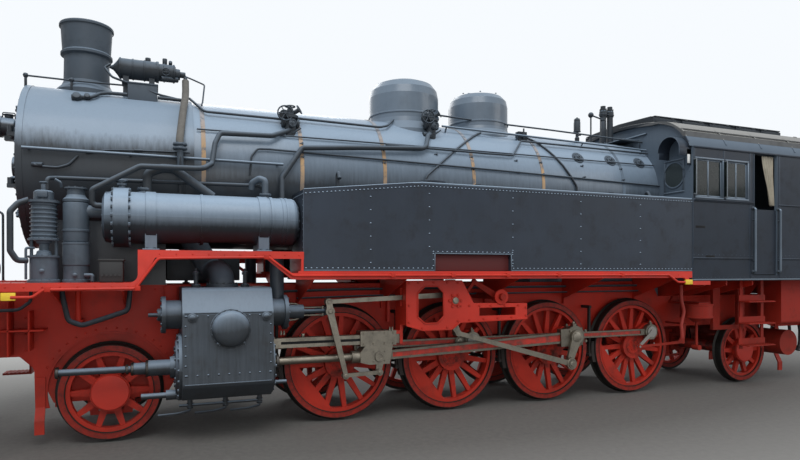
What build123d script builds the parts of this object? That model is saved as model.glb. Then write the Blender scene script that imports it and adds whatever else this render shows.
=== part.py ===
from build123d import *
import os
from math import atan2, cos, degrees, hypot, radians, sin, sqrt

# Tank steam locomotive with a leading axle, four coupled axles and a trailing axle.
# Millimetres. +X is forward, +Y the locomotive's left side, +Z up.
# The origin lies under the middle of the length, level with the lowest point of the flanges.

os.makedirs("parts", exist_ok=True)

# Overall
BUFFER_FACE_X = 6900
BEAM_FACE_X = 6262
RAIL_Z = 28
HALF_WIDTH = 1500
GAP = 0.3
PIN_CLEARANCE = 0.05

# Wheels
BACK_TO_BACK = 1360
TYRE_WIDTH = 140
FLANGE_HEIGHT = 28
TYRE_THICKNESS = 75
RIM_DEPTH = 45
COUPLED_TREAD_R = 675
CARRYING_TREAD_R = 500
COUPLED_SPOKES = 15
CARRYING_SPOKES = 10
COUPLED_HUB_R = 185
CARRYING_HUB_R = 196
AXLE_R = 90
HUB_OUTER_Y = 846
HUB_CAP = 20
CRANK_RADIUS = 330
CRANK_PIN_R = 60
CRANK_PIN_ANGLE = 142
QUARTER = -90

# Axle positions along X
LEAD_X = 4700
COUPLED_X = [2200, 700, -800, -2300]
DRIVING_X = COUPLED_X[2]
TRAIL_X = -4600
COUPLED_Z = COUPLED_TREAD_R + FLANGE_HEIGHT
CARRYING_Z = CARRYING_TREAD_R + FLANGE_HEIGHT

# Lateral planes of the motion, measured from the centre line
COUPLING_ROD_Y = (872, 938)
COUPLING_BAR_Y = (885, 925)
COUPLING_BAR_HEIGHT = 88
MAIN_ROD_Y = (1005, 1095)
MAIN_BAR_Y = (1022, 1078)
RETURN_CRANK_Y = (1100, 1138)
LINK_ROD_Y = (1150, 1190)
LINK_Y = (1200, 1250)
LEVER_Y = (1197, 1230)
LINK_BRACKET_Y = (1290, 1320)
BRACKET_X = (1500, 1535)
CYLINDER_Y = 1050
VALVE_Y = 1100

# Motion points in side view
PISTON_Z = 790
CROSSHEAD_X = 1800
VALVE_Z = 1345
ECCENTRIC_PIN = (-930, 556)
LINK_PIVOT = (892, 1444)
LINK_FOOT = (812, 1042)
LINK_CURVE_R = 1550
DIE_LIFT = 68
DIE_BLOCK = (LINK_PIVOT[0] + LINK_CURVE_R - sqrt(LINK_CURVE_R**2 - DIE_LIFT**2), LINK_PIVOT[1] + DIE_LIFT)
RADIUS_ROD_TAIL = (DIE_BLOCK[0] - 190, DIE_BLOCK[1] + 4)
LEVER_TOP = (2440, 1452)
LEVER_SPINDLE = (2425, VALVE_Z)
LEVER_FOOT = (2240, 600)
UNION_REAR = (1812, 612)
REVERSING_SHAFT = (250, 1480)
SMALL_PIN_R = 22

# Frame
PLATE_Y = (590, 615)
DOUBLER_Y = 640
FRAME_TOP_Z = 1650
FRAME_REAR_TOP_Z = 1420
FRAME_BOTTOM_Z = 940
HORN_HALF_WIDTH = 125
ARCH_R = 603
BEAM_BOTTOM_Z = 860
BEAM_TOP_Z = 1320
BEAM_THICKNESS = 40
BUFFER_Z = 1050 + RAIL_Z
BUFFER_Y = 875
COUPLING_EYE_X = 6420

# Cylinders
CYLINDER_FRONT_X = 4009
CYLINDER_REAR_X = 3100
CYLINDER_BOTTOM_Z = 465
CYLINDER_TOP_Z = 1630
CYLINDER_INNER_Y = PLATE_Y[1] + GAP
CYLINDER_OUTER_Y = HALF_WIDTH - 70
CYLINDER_COVER = (3540, 1205, 185)
TAIL_ROD_FRONT_X = 5174
VALVE_CHEST_FRONT_X = 4220
VALVE_CHEST_REAR_X = 2712
VALVE_CHEST_R = 150
STEAM_PIPE_X = 3582
STEAM_PIPE_Y = 1000
STEAM_PIPE_R = 132

# Boiler
BOILER_Z = 2960
BOILER_R = 880
SMOKEBOX_R = 892
SMOKEBOX_FRONT_X = 5550
SMOKEBOX_REAR_X = 3860
SMOKEBOX_WALL = 22
SADDLE_X = (4150, 5350)
DOOR_OPENING_R = 640
DOOR_R = 705
DOOR_HINGE = (5608, 762)
DOOR_HINGE_Z = (BOILER_Z - 260, BOILER_Z + 260)
BACKHEAD_X = -3080
FIREBOX_FRONT_X = -700
FIREBOX_HALF_WIDTH = 560
FIREBOX_BOTTOM_Z = 1250
BAND_WIDTH = 46
BAND_THICKNESS = 5
BAND_X = [3762, 2663, 1631, 388, -697, -2100]
CHIMNEY_X = 4985
DOME_X = 1021
SAND_DOME_X = -160
SAFETY_VALVE_X = (-2465, -2602)
GENERATOR_Y = 330
GENERATOR_Z = BOILER_Z + 1136
GENERATOR_REAR_X = 3985
DOOR_LAMP_Z = BOILER_Z + 440
DOOR_LAMP_FRONT_X = 5870
WHISTLE = (-1690, 330)
# boiler valve: x, y, body radius, foot and top heights over the boiler centre
BOILER_VALVES = [(2768, 700, 70, 400, 799), (884, 612, 62, 540, 960)]
RAIL_OFFSET = 48

# Tanks
CAB_FRONT_X = -2760
TANK_FRONT_X = 2790
TANK_REAR_X = CAB_FRONT_X + GAP
TANK_BOTTOM_Z = 1800
TANK_TOP_Z = 2823
TANK_NOSE_Z = 2676
TANK_SLOPE_END_X = 1410
TANK_INNER_Y = 915
FILLER_X = 1150
FILLER_Y = 1150
FILLER_R = 180
FILLER_HINGE_Y = FILLER_Y - FILLER_R - 40
FILLER_HINGE_Z = TANK_TOP_Z + 52

# Running boards
BOARD_LOW_Z = 1688
BOARD_HIGH_Z = 2005
BOARD_STEP_X = 4418
BOARD_CORNER_R = 80
BOARD_INNER_Y = 760
BOARD_THICKNESS = 12
VALANCE_DEPTH = 76
VALANCE_THICKNESS = 14
CONDUIT_R = 14

# Cab and bunker
CAB_REAR_X = -5400
CAB_BOTTOM_Z = 1665
CAB_FLOOR_Z = 1743
CAB_WALL = 40
CAB_EAVES_Z = 3560
ROOF_KNEE = (HALF_WIDTH - 210, 3872)
ROOF_SHOULDER = (HALF_WIDTH - 700, 4040)
ROOF_CROWN_Z = 4106
ROOF_THICKNESS = 34
ROOF_FRONT_X = -2700
ROOF_REAR_X = -5640
# window or doorway: x low, x high, z low, z high
SIDE_WINDOWS = [(-3327, -2823, 2858, 3391), (-3837, -3414, 2858, 3391)]
DOORWAY = (-4462, -3978, CAB_FLOOR_Z, 3560)
# end window: y low, y high, z low, z high
END_WINDOWS = [(1010, 1330, 2960, 3400), (-1330, -1010, 2960, 3400)]
GLASS_THICKNESS = 10
DOOR_AXIS = (-3990, HALF_WIDTH - 57)
DOOR_KNUCKLES = (1870, 2540)
DOOR_TOP_Z = 2721
GRAB_RAIL_R = 16
BUNKER_REAR_X = -6215
BUNKER_TOP_Z = 2900
BUNKER_RAVE_TOP_Z = 3240
BUNKER_RAVE_HALF_WIDTH = 1250
BUNKER_WALL = 30
BUNKER_FLOOR_Z = 2250

# Equipment
PUMP_Y = 1150
AIR_PUMP_X = 5258
FEED_PUMP_X = 4981
HEATER_Z = 2340
HEATER_R = 262
HEATER_FRONT_X = 4742
RESERVOIR_X = -5352
RESERVOIR_Z = 640
RESERVOIR_R = 205
BRAKE_CYLINDER = (-3340, 1040, 230)
SPEED_DRIVE_Y = (954, 968)
SPEED_SHAFT_R = 16


def box_at(x_low, x_high, y_low, y_high, z_low, z_high):
    """Box between the given limits."""
    centre = Pos((x_low + x_high) / 2, (y_low + y_high) / 2, (z_low + z_high) / 2)
    return centre * Box(x_high - x_low, y_high - y_low, z_high - z_low)


def round_x(x_low, x_high, y, z, radius):
    """Round bar along X."""
    return Pos((x_low + x_high) / 2, y, z) * Rot(0, 90, 0) * Cylinder(radius, x_high - x_low)


def round_y(y_low, y_high, x, z, radius):
    """Round bar along Y."""
    return Pos(x, (y_low + y_high) / 2, z) * Rot(90, 0, 0) * Cylinder(radius, y_high - y_low)


def round_z(z_low, z_high, x, y, radius):
    """Round bar along Z."""
    return Pos(x, y, (z_low + z_high) / 2) * Cylinder(radius, z_high - z_low)


def plate_y(points, y_low, y_high):
    """Side-view outline of (x, z) points, extruded across the locomotive."""
    wire = Polyline(*[(x, y_high, z) for x, z in points], close=True)
    return extrude(make_face(wire), amount=y_high - y_low, dir=(0, -1, 0))


def plate_x(points, x_low, x_high):
    """Cross-section outline of (y, z) points, extruded along the locomotive."""
    wire = Polyline(*[(x_low, y, z) for y, z in points], close=True)
    return extrude(make_face(wire), amount=x_high - x_low, dir=(1, 0, 0))


def plate_z(points, z_low, z_high):
    """Plan outline of (x, y) points, extruded upwards."""
    wire = Polyline(*[(x, y, z_low) for x, y in points], close=True)
    return extrude(make_face(wire), amount=z_high - z_low, dir=(0, 0, 1))


def outline_y(edges, y_low, y_high):
    """Side-view outline of lines and arcs in the plane y = y_high, extruded across the locomotive."""
    return extrude(make_face(Wire(edges)), amount=y_high - y_low, dir=(0, -1, 0))


def turned_x(profile, y, z):
    """Turned piece on an axis along X, from (x, radius) points."""
    wire = Polyline(*[(x, radius) for x, radius in profile], close=True)
    return Pos(0, y, z) * revolve(make_face(wire), axis=Axis.X)


def turned_z(profile, x, y):
    """Turned piece on an axis along Z, from (radius, z) points."""
    wire = Polyline(*[(radius, 0, z) for radius, z in profile], close=True)
    return Pos(x, y, 0) * revolve(make_face(wire), axis=Axis.Z)


def pipe(points, bend, radius):
    """Round pipe along straight runs joined by tangent bends."""
    path = FilletPolyline(*points, radius=bend)
    return sweep(Plane(origin=path @ 0, z_dir=path % 0) * Circle(radius), path=path)


def wrapped(x_start, angle_start, x_end, angle_end, radius, steps):
    """Points of a pipe laid round the boiler, at angles from the crown towards the left side."""
    points = []
    clear = radius / cos(radians((angle_end - angle_start) / steps / 2))
    for index in range(steps + 1):
        share = index / steps
        angle = radians(angle_start + share * (angle_end - angle_start))
        x = x_start + share * (x_end - x_start)
        points.append((x, clear * sin(angle), BOILER_Z + clear * cos(angle)))
    return points


def link_bar(start, end, start_width, end_width, y_low, y_high):
    """Flat tapering bar in side view between two pivot points."""
    length = hypot(end[0] - start[0], end[1] - start[1])
    along = ((end[0] - start[0]) / length, (end[1] - start[1]) / length)
    across = (-along[1], along[0])
    corners = []
    for point, half in ((start, start_width / 2), (end, end_width / 2)):
        corners.append((point[0] + across[0] * half, point[1] + across[1] * half))
        corners.append((point[0] - across[0] * half, point[1] - across[1] * half))
    return plate_y([corners[0], corners[1], corners[3], corners[2]], y_low, y_high)


def mirrored(shape):
    """The same piece on the locomotive's right side."""
    return mirror(shape, about=Plane.XZ)


def solids_of(*shapes):
    """All solids of the given shapes, in one list."""
    found = []
    for shape in shapes:
        found.extend(shape.solids())
    return found


def save(name, *shapes):
    """Write one node from the solids of its pieces."""
    solids = solids_of(*shapes)
    node = solids[0] if len(solids) == 1 else Compound(children=solids)
    node.label = name
    export_step(node, f"parts/{name}.step")


# Wheels

def wheel_point(angle, radius):
    """Point in the wheel's plane, at an angle from forwards towards up."""
    return radius * cos(radians(angle)), radius * sin(radians(angle))


def wheel(tread_r, spokes, hub_r, pin_angle, weight_angle):
    """Left wheel on the Y axis: tyre, rim, spokes and hub, with crank and balance weight if coupled."""
    inner_y = BACK_TO_BACK / 2
    outer_y = inner_y + TYRE_WIDTH
    rim_r = tread_r - TYRE_THICKNESS
    rim_inner_r = rim_r - RIM_DEPTH
    ring = [
        (rim_inner_r, inner_y + 18),
        (rim_r, inner_y + 18),
        (rim_r, inner_y),
        (tread_r + FLANGE_HEIGHT - 8, inner_y),
        (tread_r + FLANGE_HEIGHT, inner_y + 12),
        (tread_r + 3, inner_y + 34),
        (tread_r, outer_y - 8),
        (tread_r - 8, outer_y),
        (rim_r, outer_y),
        (rim_r, outer_y - 16),
        (rim_inner_r, outer_y - 16),
    ]
    body = revolve(make_face(Polyline(*ring, close=True)), axis=Axis.Y)
    spoke_end = rim_inner_r + 6
    first_spoke = 0 if pin_angle is None else pin_angle
    for index in range(spokes):
        spoke = plate_y([(hub_r - 20, -40), (hub_r - 20, 40), (spoke_end, 26), (spoke_end, -26)],
                        inner_y + 44, inner_y + 98)
        body += Rot(0, -(first_spoke + index * 360 / spokes), 0) * spoke
    body += round_y(inner_y - 8, HUB_OUTER_Y, 0, 0, hub_r)
    if pin_angle is not None:
        pin = wheel_point(pin_angle, CRANK_RADIUS)
        body += link_bar((0, 0), pin, 2 * hub_r - 10, 250, inner_y + 40, HUB_OUTER_Y)
        body += round_y(inner_y + 40, HUB_OUTER_Y, pin[0], pin[1], 125)
        body += round_y(HUB_OUTER_Y - 10, HUB_OUTER_Y + 8, pin[0], pin[1], 92)
        weight = round_y(inner_y + 30, outer_y - 12, 0, 0, spoke_end)
        chord_x = spoke_end * cos(radians(weight_angle))
        weight &= Rot(0, -(pin_angle + 180), 0) * box_at(chord_x, tread_r, inner_y, outer_y, -tread_r, tread_r)
        body += weight
    bore_end = HUB_OUTER_Y - HUB_CAP
    return body - round_y(inner_y - 20, bore_end, 0, 0, AXLE_R + PIN_CLEARANCE)


def crank_pin(pin_angle, end_y, cap):
    """Crank pin of the left wheel, with its retaining cap where the axle isn't the driving one."""
    x, z = wheel_point(pin_angle, CRANK_RADIUS)
    pin = round_y(HUB_OUTER_Y, end_y, x, z, CRANK_PIN_R)
    if cap:
        pin += round_y(end_y, end_y + 12, x, z, 80)
    return pin


def wheelset(x, tread_r, spokes, hub_r, coupled, weight_angle, cap):
    """Axle with a wheel pressed on each end. The right crank is a quarter turn from the left."""
    pin_end = COUPLING_ROD_Y[1] + 3
    left_angle = CRANK_PIN_ANGLE if coupled else None
    right_angle = CRANK_PIN_ANGLE + QUARTER if coupled else None
    left = wheel(tread_r, spokes, hub_r, left_angle, weight_angle)
    right = wheel(tread_r, spokes, hub_r, right_angle, weight_angle)
    if coupled:
        left += crank_pin(left_angle, pin_end, cap)
        right += crank_pin(right_angle, pin_end, cap)
    axle_end = HUB_OUTER_Y - HUB_CAP - GAP
    axle = round_y(-axle_end, axle_end, 0, 0, AXLE_R)
    place = Pos(x, 0, tread_r + FLANGE_HEIGHT)
    return [place * left, place * mirrored(right), place * axle]


def speed_drive_arm(x, angle):
    """Arm on a left crank pin that turns the speed drive's shaft in line with the axle."""
    pin = pin_place(x, angle)
    arm = link_bar(pin, (x, COUPLED_Z), 60, 44, *SPEED_DRIVE_Y)
    arm += eye(pin, 40, SPEED_DRIVE_Y[0] - 2, SPEED_DRIVE_Y[1])
    arm += eye((x, COUPLED_Z), 30, *SPEED_DRIVE_Y)
    return arm + eye((x, COUPLED_Z), SPEED_SHAFT_R, SPEED_DRIVE_Y[1] - 1, SPEED_DRIVE_Y[1] + 24)


def make_wheelsets():
    coupled = (COUPLED_TREAD_R, COUPLED_SPOKES, COUPLED_HUB_R, True)
    carrying = (CARRYING_TREAD_R, CARRYING_SPOKES, CARRYING_HUB_R, False)
    # node, axle x, wheel sizes, balance weight half angle, pin cap
    table = [
        ("wheelset_lead", LEAD_X, carrying, 0, False),
        ("wheelset_coupled_1", COUPLED_X[0], coupled, 43, True),
        ("wheelset_coupled_2", COUPLED_X[1], coupled, 43, True),
        ("wheelset_driving", DRIVING_X, coupled, 51, False),
        ("wheelset_coupled_4", COUPLED_X[3], coupled, 43, True),
        ("wheelset_trail", TRAIL_X, carrying, 0, False),
    ]
    for node, x, sizes, weight_angle, cap in table:
        pieces = wheelset(x, *sizes, weight_angle, cap)
        if x == COUPLED_X[-1]:
            pieces[0] += speed_drive_arm(x, CRANK_PIN_ANGLE)
        save(node, *pieces)


# Rods and valve gear

def eye(point, radius, y_low, y_high):
    """Boss round a pin in side view."""
    return round_y(y_low, y_high, point[0], point[1], radius)


def bore(point, pin_radius, y_low, y_high):
    """Bore that runs on a pin."""
    return round_y(y_low - 1, y_high + 1, point[0], point[1], pin_radius + PIN_CLEARANCE)


def pin_place(axle_x, angle):
    """Crank pin of a coupled axle in side view."""
    x, z = wheel_point(angle, CRANK_RADIUS)
    return axle_x + x, COUPLED_Z + z


def coupling_rods(angle):
    """Coupling rods of one side, with an eye on each crank pin and a knuckle beside it."""
    y_low, y_high = COUPLING_ROD_Y
    pins = [pin_place(x, angle) for x in COUPLED_X]
    rods = None
    for front, rear in zip(pins[:-1], pins[1:]):
        bar = link_bar(front, rear, COUPLING_BAR_HEIGHT, COUPLING_BAR_HEIGHT, *COUPLING_BAR_Y)
        flute_half = COUPLING_BAR_HEIGHT / 2 - 20
        bar -= box_at(rear[0] + 190, front[0] - 190, COUPLING_BAR_Y[1] - 12, COUPLING_BAR_Y[1] + 20,
                      front[1] - flute_half, front[1] + flute_half)
        rods = bar if rods is None else rods + bar
    for pin in pins:
        rods += eye(pin, 112, y_low, y_high)
        rods += box_at(pin[0] - 22, pin[0] + 22, y_low + 12, y_high - 12, pin[1] + 90, pin[1] + 138)
    for knuckle in (pins[1][0] + 190, pins[2][0] - 190):
        rods += eye((knuckle, pins[0][1]), 62, y_low + 6, y_high - 4)
    for pin in pins:
        rods -= bore(pin, CRANK_PIN_R, y_low, y_high)
    return rods


def main_rod(angle):
    """Connecting rod from the crosshead pin to the driving crank pin."""
    crank = pin_place(DRIVING_X, angle)
    small = (CROSSHEAD_X, PISTON_Z)
    rod = link_bar(small, crank, 105, 150, *MAIN_BAR_Y)
    length = hypot(crank[0] - small[0], crank[1] - small[1])
    flute = link_bar((0, 0), (length - 420, 0), 55, 88, MAIN_BAR_Y[1] - 14, MAIN_BAR_Y[1] + 20)
    turn = degrees(atan2(crank[1] - small[1], crank[0] - small[0]))
    rod -= Pos(small[0], 0, small[1]) * Rot(0, -turn, 0) * Pos(190, 0, 0) * flute
    rod += eye(small, 92, MAIN_BAR_Y[0], MAIN_BAR_Y[1])
    big_end = eye(crank, 150, *MAIN_ROD_Y)
    big_end += Pos(crank[0], 0, crank[1]) * Rot(0, -turn, 0) * box_at(-235, 120, *MAIN_ROD_Y, -118, 118)
    big_end += box_at(crank[0] - 28, crank[0] + 28, MAIN_ROD_Y[0] + 15, MAIN_ROD_Y[1] - 15,
                      crank[1] + 120, crank[1] + 178)
    rod += big_end
    rod -= bore(crank, CRANK_PIN_R + 10, *MAIN_ROD_Y)
    return rod - bore(small, 45, *MAIN_ROD_Y)


def crosshead():
    """Crosshead on its slide bar, with the piston rod and its tail."""
    y_low, y_high = CYLINDER_Y - 82, CYLINDER_Y + 82
    x, z = CROSSHEAD_X, PISTON_Z
    body = plate_y([(x - 215, z + 130), (x + 235, z + 130), (x + 235, z + 305), (x - 215, z + 305)],
                   y_low, y_high)
    body -= box_at(x - 300, x + 300, CYLINDER_Y - 62, CYLINDER_Y + 62, z + 148, z + 262)
    cheeks = plate_y([(x - 130, z - 90), (x + 130, z - 90), (x + 235, z - 60), (x + 235, z + 60),
                      (x + 170, z + 140), (x - 170, z + 140)], y_low, y_high)
    cheeks -= box_at(x - 400, x + 120, MAIN_BAR_Y[0] - 8, MAIN_BAR_Y[1] + 8, z - 200, z + 128)
    body += cheeks
    body += eye((x, z), 45, y_low, y_high + 12)
    arm = link_bar((x - 10, z - 60), UNION_REAR, 95, 62, CYLINDER_Y + 50, CYLINDER_Y + 82)
    arm += eye(UNION_REAR, 34, CYLINDER_Y + 50, CYLINDER_Y + 82)
    arm += eye(UNION_REAR, SMALL_PIN_R, CYLINDER_Y + 80, LINK_ROD_Y[1] + 4)
    body += arm
    body += round_x(x + 200, CYLINDER_REAR_X - 60 - GAP, CYLINDER_Y, z, 45)
    body += round_x(x + 220, x + 330, CYLINDER_Y, z, 74)
    return body


def union_link():
    """Short link from the crosshead's arm to the foot of the combination lever."""
    link = link_bar(UNION_REAR, LEVER_FOOT, 44, 44, LINK_ROD_Y[0] + 6, LINK_ROD_Y[1] - 4)
    for point in (UNION_REAR, LEVER_FOOT):
        link += eye(point, 38, LINK_ROD_Y[0] + 2, LINK_ROD_Y[1])
    for point in (UNION_REAR, LEVER_FOOT):
        link -= bore(point, SMALL_PIN_R, *LINK_ROD_Y)
    return link


def combination_lever():
    """Lever that joins the union link, the valve spindle and the radius rod."""
    y_low, y_high = LEVER_Y
    lever = link_bar(LEVER_FOOT, LEVER_SPINDLE, 52, 78, y_low, y_high)
    lever += link_bar(LEVER_SPINDLE, LEVER_TOP, 78, 66, y_low, y_high)
    lever += eye(LEVER_SPINDLE, 52, y_low, y_high)
    for point, radius in ((LEVER_FOOT, 36), (LEVER_TOP, 40)):
        lever += eye(point, radius, y_low, y_high)
        lever += eye(point, SMALL_PIN_R, LINK_ROD_Y[0] - 2, y_low + 2)
    return lever - bore(LEVER_SPINDLE, SMALL_PIN_R, y_low, y_high)


def radius_rod():
    """Radius rod from the combination lever through the link's die block to the lifting link."""
    y_low, y_high = LINK_ROD_Y
    rod = link_bar(LEVER_TOP, DIE_BLOCK, 46, 62, y_low + 4, y_high - 4)
    rod += link_bar(DIE_BLOCK, RADIUS_ROD_TAIL, 62, 44, y_low + 4, y_high - 4)
    for point, radius in ((LEVER_TOP, 40), (DIE_BLOCK, 52), (RADIUS_ROD_TAIL, 38)):
        rod += eye(point, radius, y_low, y_high)
    rod += eye(DIE_BLOCK, 24, y_high - 2, LINK_Y[1] + 6)
    rod += eye(RADIUS_ROD_TAIL, SMALL_PIN_R, y_high - 2, LINK_Y[1] + 6)
    return rod - bore(LEVER_TOP, SMALL_PIN_R, y_low, y_high)


def expansion_link():
    """Curved slotted link, hung on its trunnion and rocked at its foot."""
    y_low, y_high = LINK_Y
    curve = LINK_CURVE_R
    centre = (LINK_PIVOT[0] + curve, LINK_PIVOT[1])
    half = 255
    ring = round_y(y_low, y_high, *centre, curve + 58) - round_y(y_low - 1, y_high + 1, *centre, curve - 58)
    ring &= box_at(LINK_PIVOT[0] - 90, LINK_PIVOT[0] + 150, y_low, y_high,
                   LINK_PIVOT[1] - half, LINK_PIVOT[1] + half)
    slot = round_y(y_low - 1, y_high + 1, *centre, curve + 26) - round_y(y_low - 2, y_high + 2, *centre, curve - 26)
    slot &= box_at(LINK_PIVOT[0] - 90, LINK_PIVOT[0] + 150, y_low - 1, y_high + 1,
                   LINK_PIVOT[1] - half + 55, LINK_PIVOT[1] + half - 55)
    link = ring - slot
    foot_top = (LINK_PIVOT[0] + 14, LINK_PIVOT[1] - half + 20)
    link += link_bar(foot_top, LINK_FOOT, 120, 66, y_low, y_high)
    link += eye(LINK_FOOT, 40, y_low, y_high)
    link += eye(LINK_FOOT, SMALL_PIN_R, LINK_ROD_Y[0] - 2, y_low + 2)
    bridge = box_at(LINK_PIVOT[0] - 62, LINK_PIVOT[0] + 62, y_high + 8, y_high + 24,
                    LINK_PIVOT[1] - 60, LINK_PIVOT[1] + 60)
    for x in (LINK_PIVOT[0] - 48, LINK_PIVOT[0] + 48):
        bridge += box_at(x - 14, x + 14, y_high - 2, y_high + 12, LINK_PIVOT[1] - 60, LINK_PIVOT[1] + 60)
    link += bridge
    return link + eye(LINK_PIVOT, 40, y_high + 20, LINK_BRACKET_Y[1] + 14)


def eccentric_rod():
    """Rod from the return crank to the foot of the expansion link."""
    y_low, y_high = LINK_ROD_Y
    rod = link_bar(LINK_FOOT, ECCENTRIC_PIN, 52, 72, y_low + 4, y_high - 4)
    rod += eye(LINK_FOOT, 40, y_low, y_high)
    rod += eye(ECCENTRIC_PIN, 78, y_low - 4, y_high)
    rod -= bore(LINK_FOOT, SMALL_PIN_R, y_low, y_high)
    return rod - bore(ECCENTRIC_PIN, 35, y_low - 4, y_high)


def return_crank(angle):
    """Return crank with the outer stretch of the driving crank pin."""
    crank = pin_place(DRIVING_X, angle)
    y_low, y_high = RETURN_CRANK_Y
    arm = link_bar(crank, ECCENTRIC_PIN, 150, 92, y_low, y_high)
    arm += eye(crank, 92, y_low, y_high)
    arm += eye(ECCENTRIC_PIN, 58, y_low, y_high)
    arm += eye(ECCENTRIC_PIN, 35, y_high, LINK_ROD_Y[1] + 4)
    arm += eye(ECCENTRIC_PIN, 52, LINK_ROD_Y[1] + 2, LINK_ROD_Y[1] + 14)
    return arm + eye(crank, CRANK_PIN_R + 10, COUPLING_ROD_Y[1] + 9, y_low)


def both_sides(shape):
    """The piece on the left and its twin on the right."""
    return solids_of(shape, mirrored(shape))


def make_motion():
    left = coupling_rods(CRANK_PIN_ANGLE)
    right = coupling_rods(CRANK_PIN_ANGLE + QUARTER)
    save("coupling_rods_left", left)
    save("coupling_rods_right", mirrored(right))
    save("main_rods", *both_sides(main_rod(CRANK_PIN_ANGLE)))
    save("crossheads", *both_sides(crosshead()))
    save("union_links", *both_sides(union_link()))
    save("combination_levers", *both_sides(combination_lever()))
    save("radius_rods", *both_sides(radius_rod()))
    save("expansion_links", *both_sides(expansion_link()))
    save("eccentric_rods", *both_sides(eccentric_rod()))
    save("return_cranks", *both_sides(return_crank(CRANK_PIN_ANGLE)))


def make_slide_bars():
    """Slide bars, their brackets and the plates that carry the links and the reversing shaft."""
    rear, front = BRACKET_X
    bar = box_at(front + 1 + GAP, CYLINDER_REAR_X - 28 - GAP, CYLINDER_Y - 60, CYLINDER_Y + 60,
                 PISTON_Z + 150, PISTON_Z + 260)
    save("slide_bars", *both_sides(bar))

    bracket = box_at(rear, front, PLATE_Y[1] + GAP, LINK_BRACKET_Y[1], 1165, 1690)
    bracket -= box_at(rear - 10, front + 10, LINK_ROD_Y[0] - 14, LINK_ROD_Y[1] + 14, 1380, 1600)
    bracket -= box_at(rear - 10, front + 10, 700, 970, 1160, 1560)
    bracket += box_at(rear, front + 1, CYLINDER_Y - 75, CYLINDER_Y + 75, PISTON_Z + 140, 1170)
    bracket += box_at(rear, front + 50, CYLINDER_Y - 75, CYLINDER_Y + 75, PISTON_Z + 260 + GAP, PISTON_Z + 300)
    side = plate_y([(front, 1690), (front, 1165), (1330, 1100), (940, 1100), (830, 1180), (-130, 1200),
                    (-130, 1395), (640, 1410), (800, 1690)], *LINK_BRACKET_Y)
    hole = plate_y([(1390, 1540), (1390, 1260), (1300, 1180), (1130, 1180), (1050, 1260), (1050, 1540),
                    (1130, 1620), (1300, 1620)], LINK_BRACKET_Y[0] - 5, LINK_BRACKET_Y[1] + 5)
    side -= hole
    side -= box_at(40, 560, LINK_BRACKET_Y[0] - 5, LINK_BRACKET_Y[1] + 5, 1250, 1350)
    side -= bore(LINK_PIVOT, 40, *LINK_BRACKET_Y)
    bracket += side
    bracket += box_at(-130, -100, PLATE_Y[1] + GAP, LINK_BRACKET_Y[1], 1200, 1395)
    save("motion_brackets", *both_sides(bracket))


def reversing_gear():
    """Reversing shaft across the frames, with arms that lift the radius rods."""
    x, z = REVERSING_SHAFT
    shaft = round_y(-LINK_BRACKET_Y[0] - 90, LINK_BRACKET_Y[0] + 90, x, z, 40)
    arm_end = (x + 330, z + 190)
    for side in (1, -1):
        low, high = sorted((side * (LINK_Y[0] + 4), side * (LINK_Y[0] + 34)))
        shaft += link_bar((x, z), arm_end, 84, 54, low, high)
        shaft += eye((x, z), 68, low, high)
        shaft += eye(arm_end, 34, low, high)
        shaft += link_bar(arm_end, RADIUS_ROD_TAIL, 40, 40, low, high)
        shaft += eye(RADIUS_ROD_TAIL, 34, low, high)
        shaft -= round_y(low - 1, high + 1, *RADIUS_ROD_TAIL, SMALL_PIN_R + PIN_CLEARANCE)
    return shaft


# Frame

def axle_places():
    """Axle x, axle height and wheel size of every wheelset."""
    places = [(LEAD_X, CARRYING_Z)]
    places += [(x, COUPLED_Z) for x in COUPLED_X]
    places.append((TRAIL_X, CARRYING_Z))
    return places


def frame_plate():
    """Left frame plate with horn gaps, and the thicker front part that arches over the leading wheel."""
    end_x = BEAM_FACE_X - BEAM_THICKNESS
    plate = plate_y([(-end_x, FRAME_REAR_TOP_Z), (-end_x, BEAM_BOTTOM_Z), (-5600, BEAM_BOTTOM_Z),
                     (-5300, FRAME_BOTTOM_Z), (-2900, FRAME_BOTTOM_Z), (2900, FRAME_BOTTOM_Z),
                     (3950, 760), (4150, 420), (5250, 420), (5400, 760), (5560, BEAM_BOTTOM_Z + 60),
                     (end_x, BEAM_BOTTOM_Z + 60), (end_x, FRAME_TOP_Z), (-2860, FRAME_TOP_Z),
                     (-3000, FRAME_REAR_TOP_Z)], *PLATE_Y)
    for x, centre in axle_places():
        foot = centre - 270
        plate += plate_y([(x - 330, FRAME_BOTTOM_Z + 5), (x - 205, foot), (x + 205, foot),
                          (x + 330, FRAME_BOTTOM_Z + 5)], *PLATE_Y)
    doubler = plate_y([(4020, FRAME_TOP_Z), (4020, 620), (5200, 620), (5200, 372), (5415, 372), (5422, 768),
                       (5468, 877), (5560, 920), (end_x, 920), (end_x, FRAME_TOP_Z)], PLATE_Y[1] - 1, DOUBLER_Y)
    doubler -= round_y(PLATE_Y[1] - 5, DOUBLER_Y + 5, LEAD_X, CARRYING_Z, ARCH_R)
    arch = round_y(PLATE_Y[1] - 1, DOUBLER_Y + 15, LEAD_X, CARRYING_Z, ARCH_R + 18)
    arch -= round_y(PLATE_Y[1] - 5, DOUBLER_Y + 20, LEAD_X, CARRYING_Z, ARCH_R)
    arch &= box_at(4020, 5415, 600, 700, 630, 1300)
    plate = plate + doubler + arch
    for x, centre in axle_places():
        plate -= box_at(x - HORN_HALF_WIDTH, x + HORN_HALF_WIDTH, PLATE_Y[0] - 5, PLATE_Y[1] + 5,
                        centre - 230, centre + 175)
    return plate - round_y(PLATE_Y[0] - 5, PLATE_Y[1] + 5, *REVERSING_SHAFT, 40 + GAP)


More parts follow.
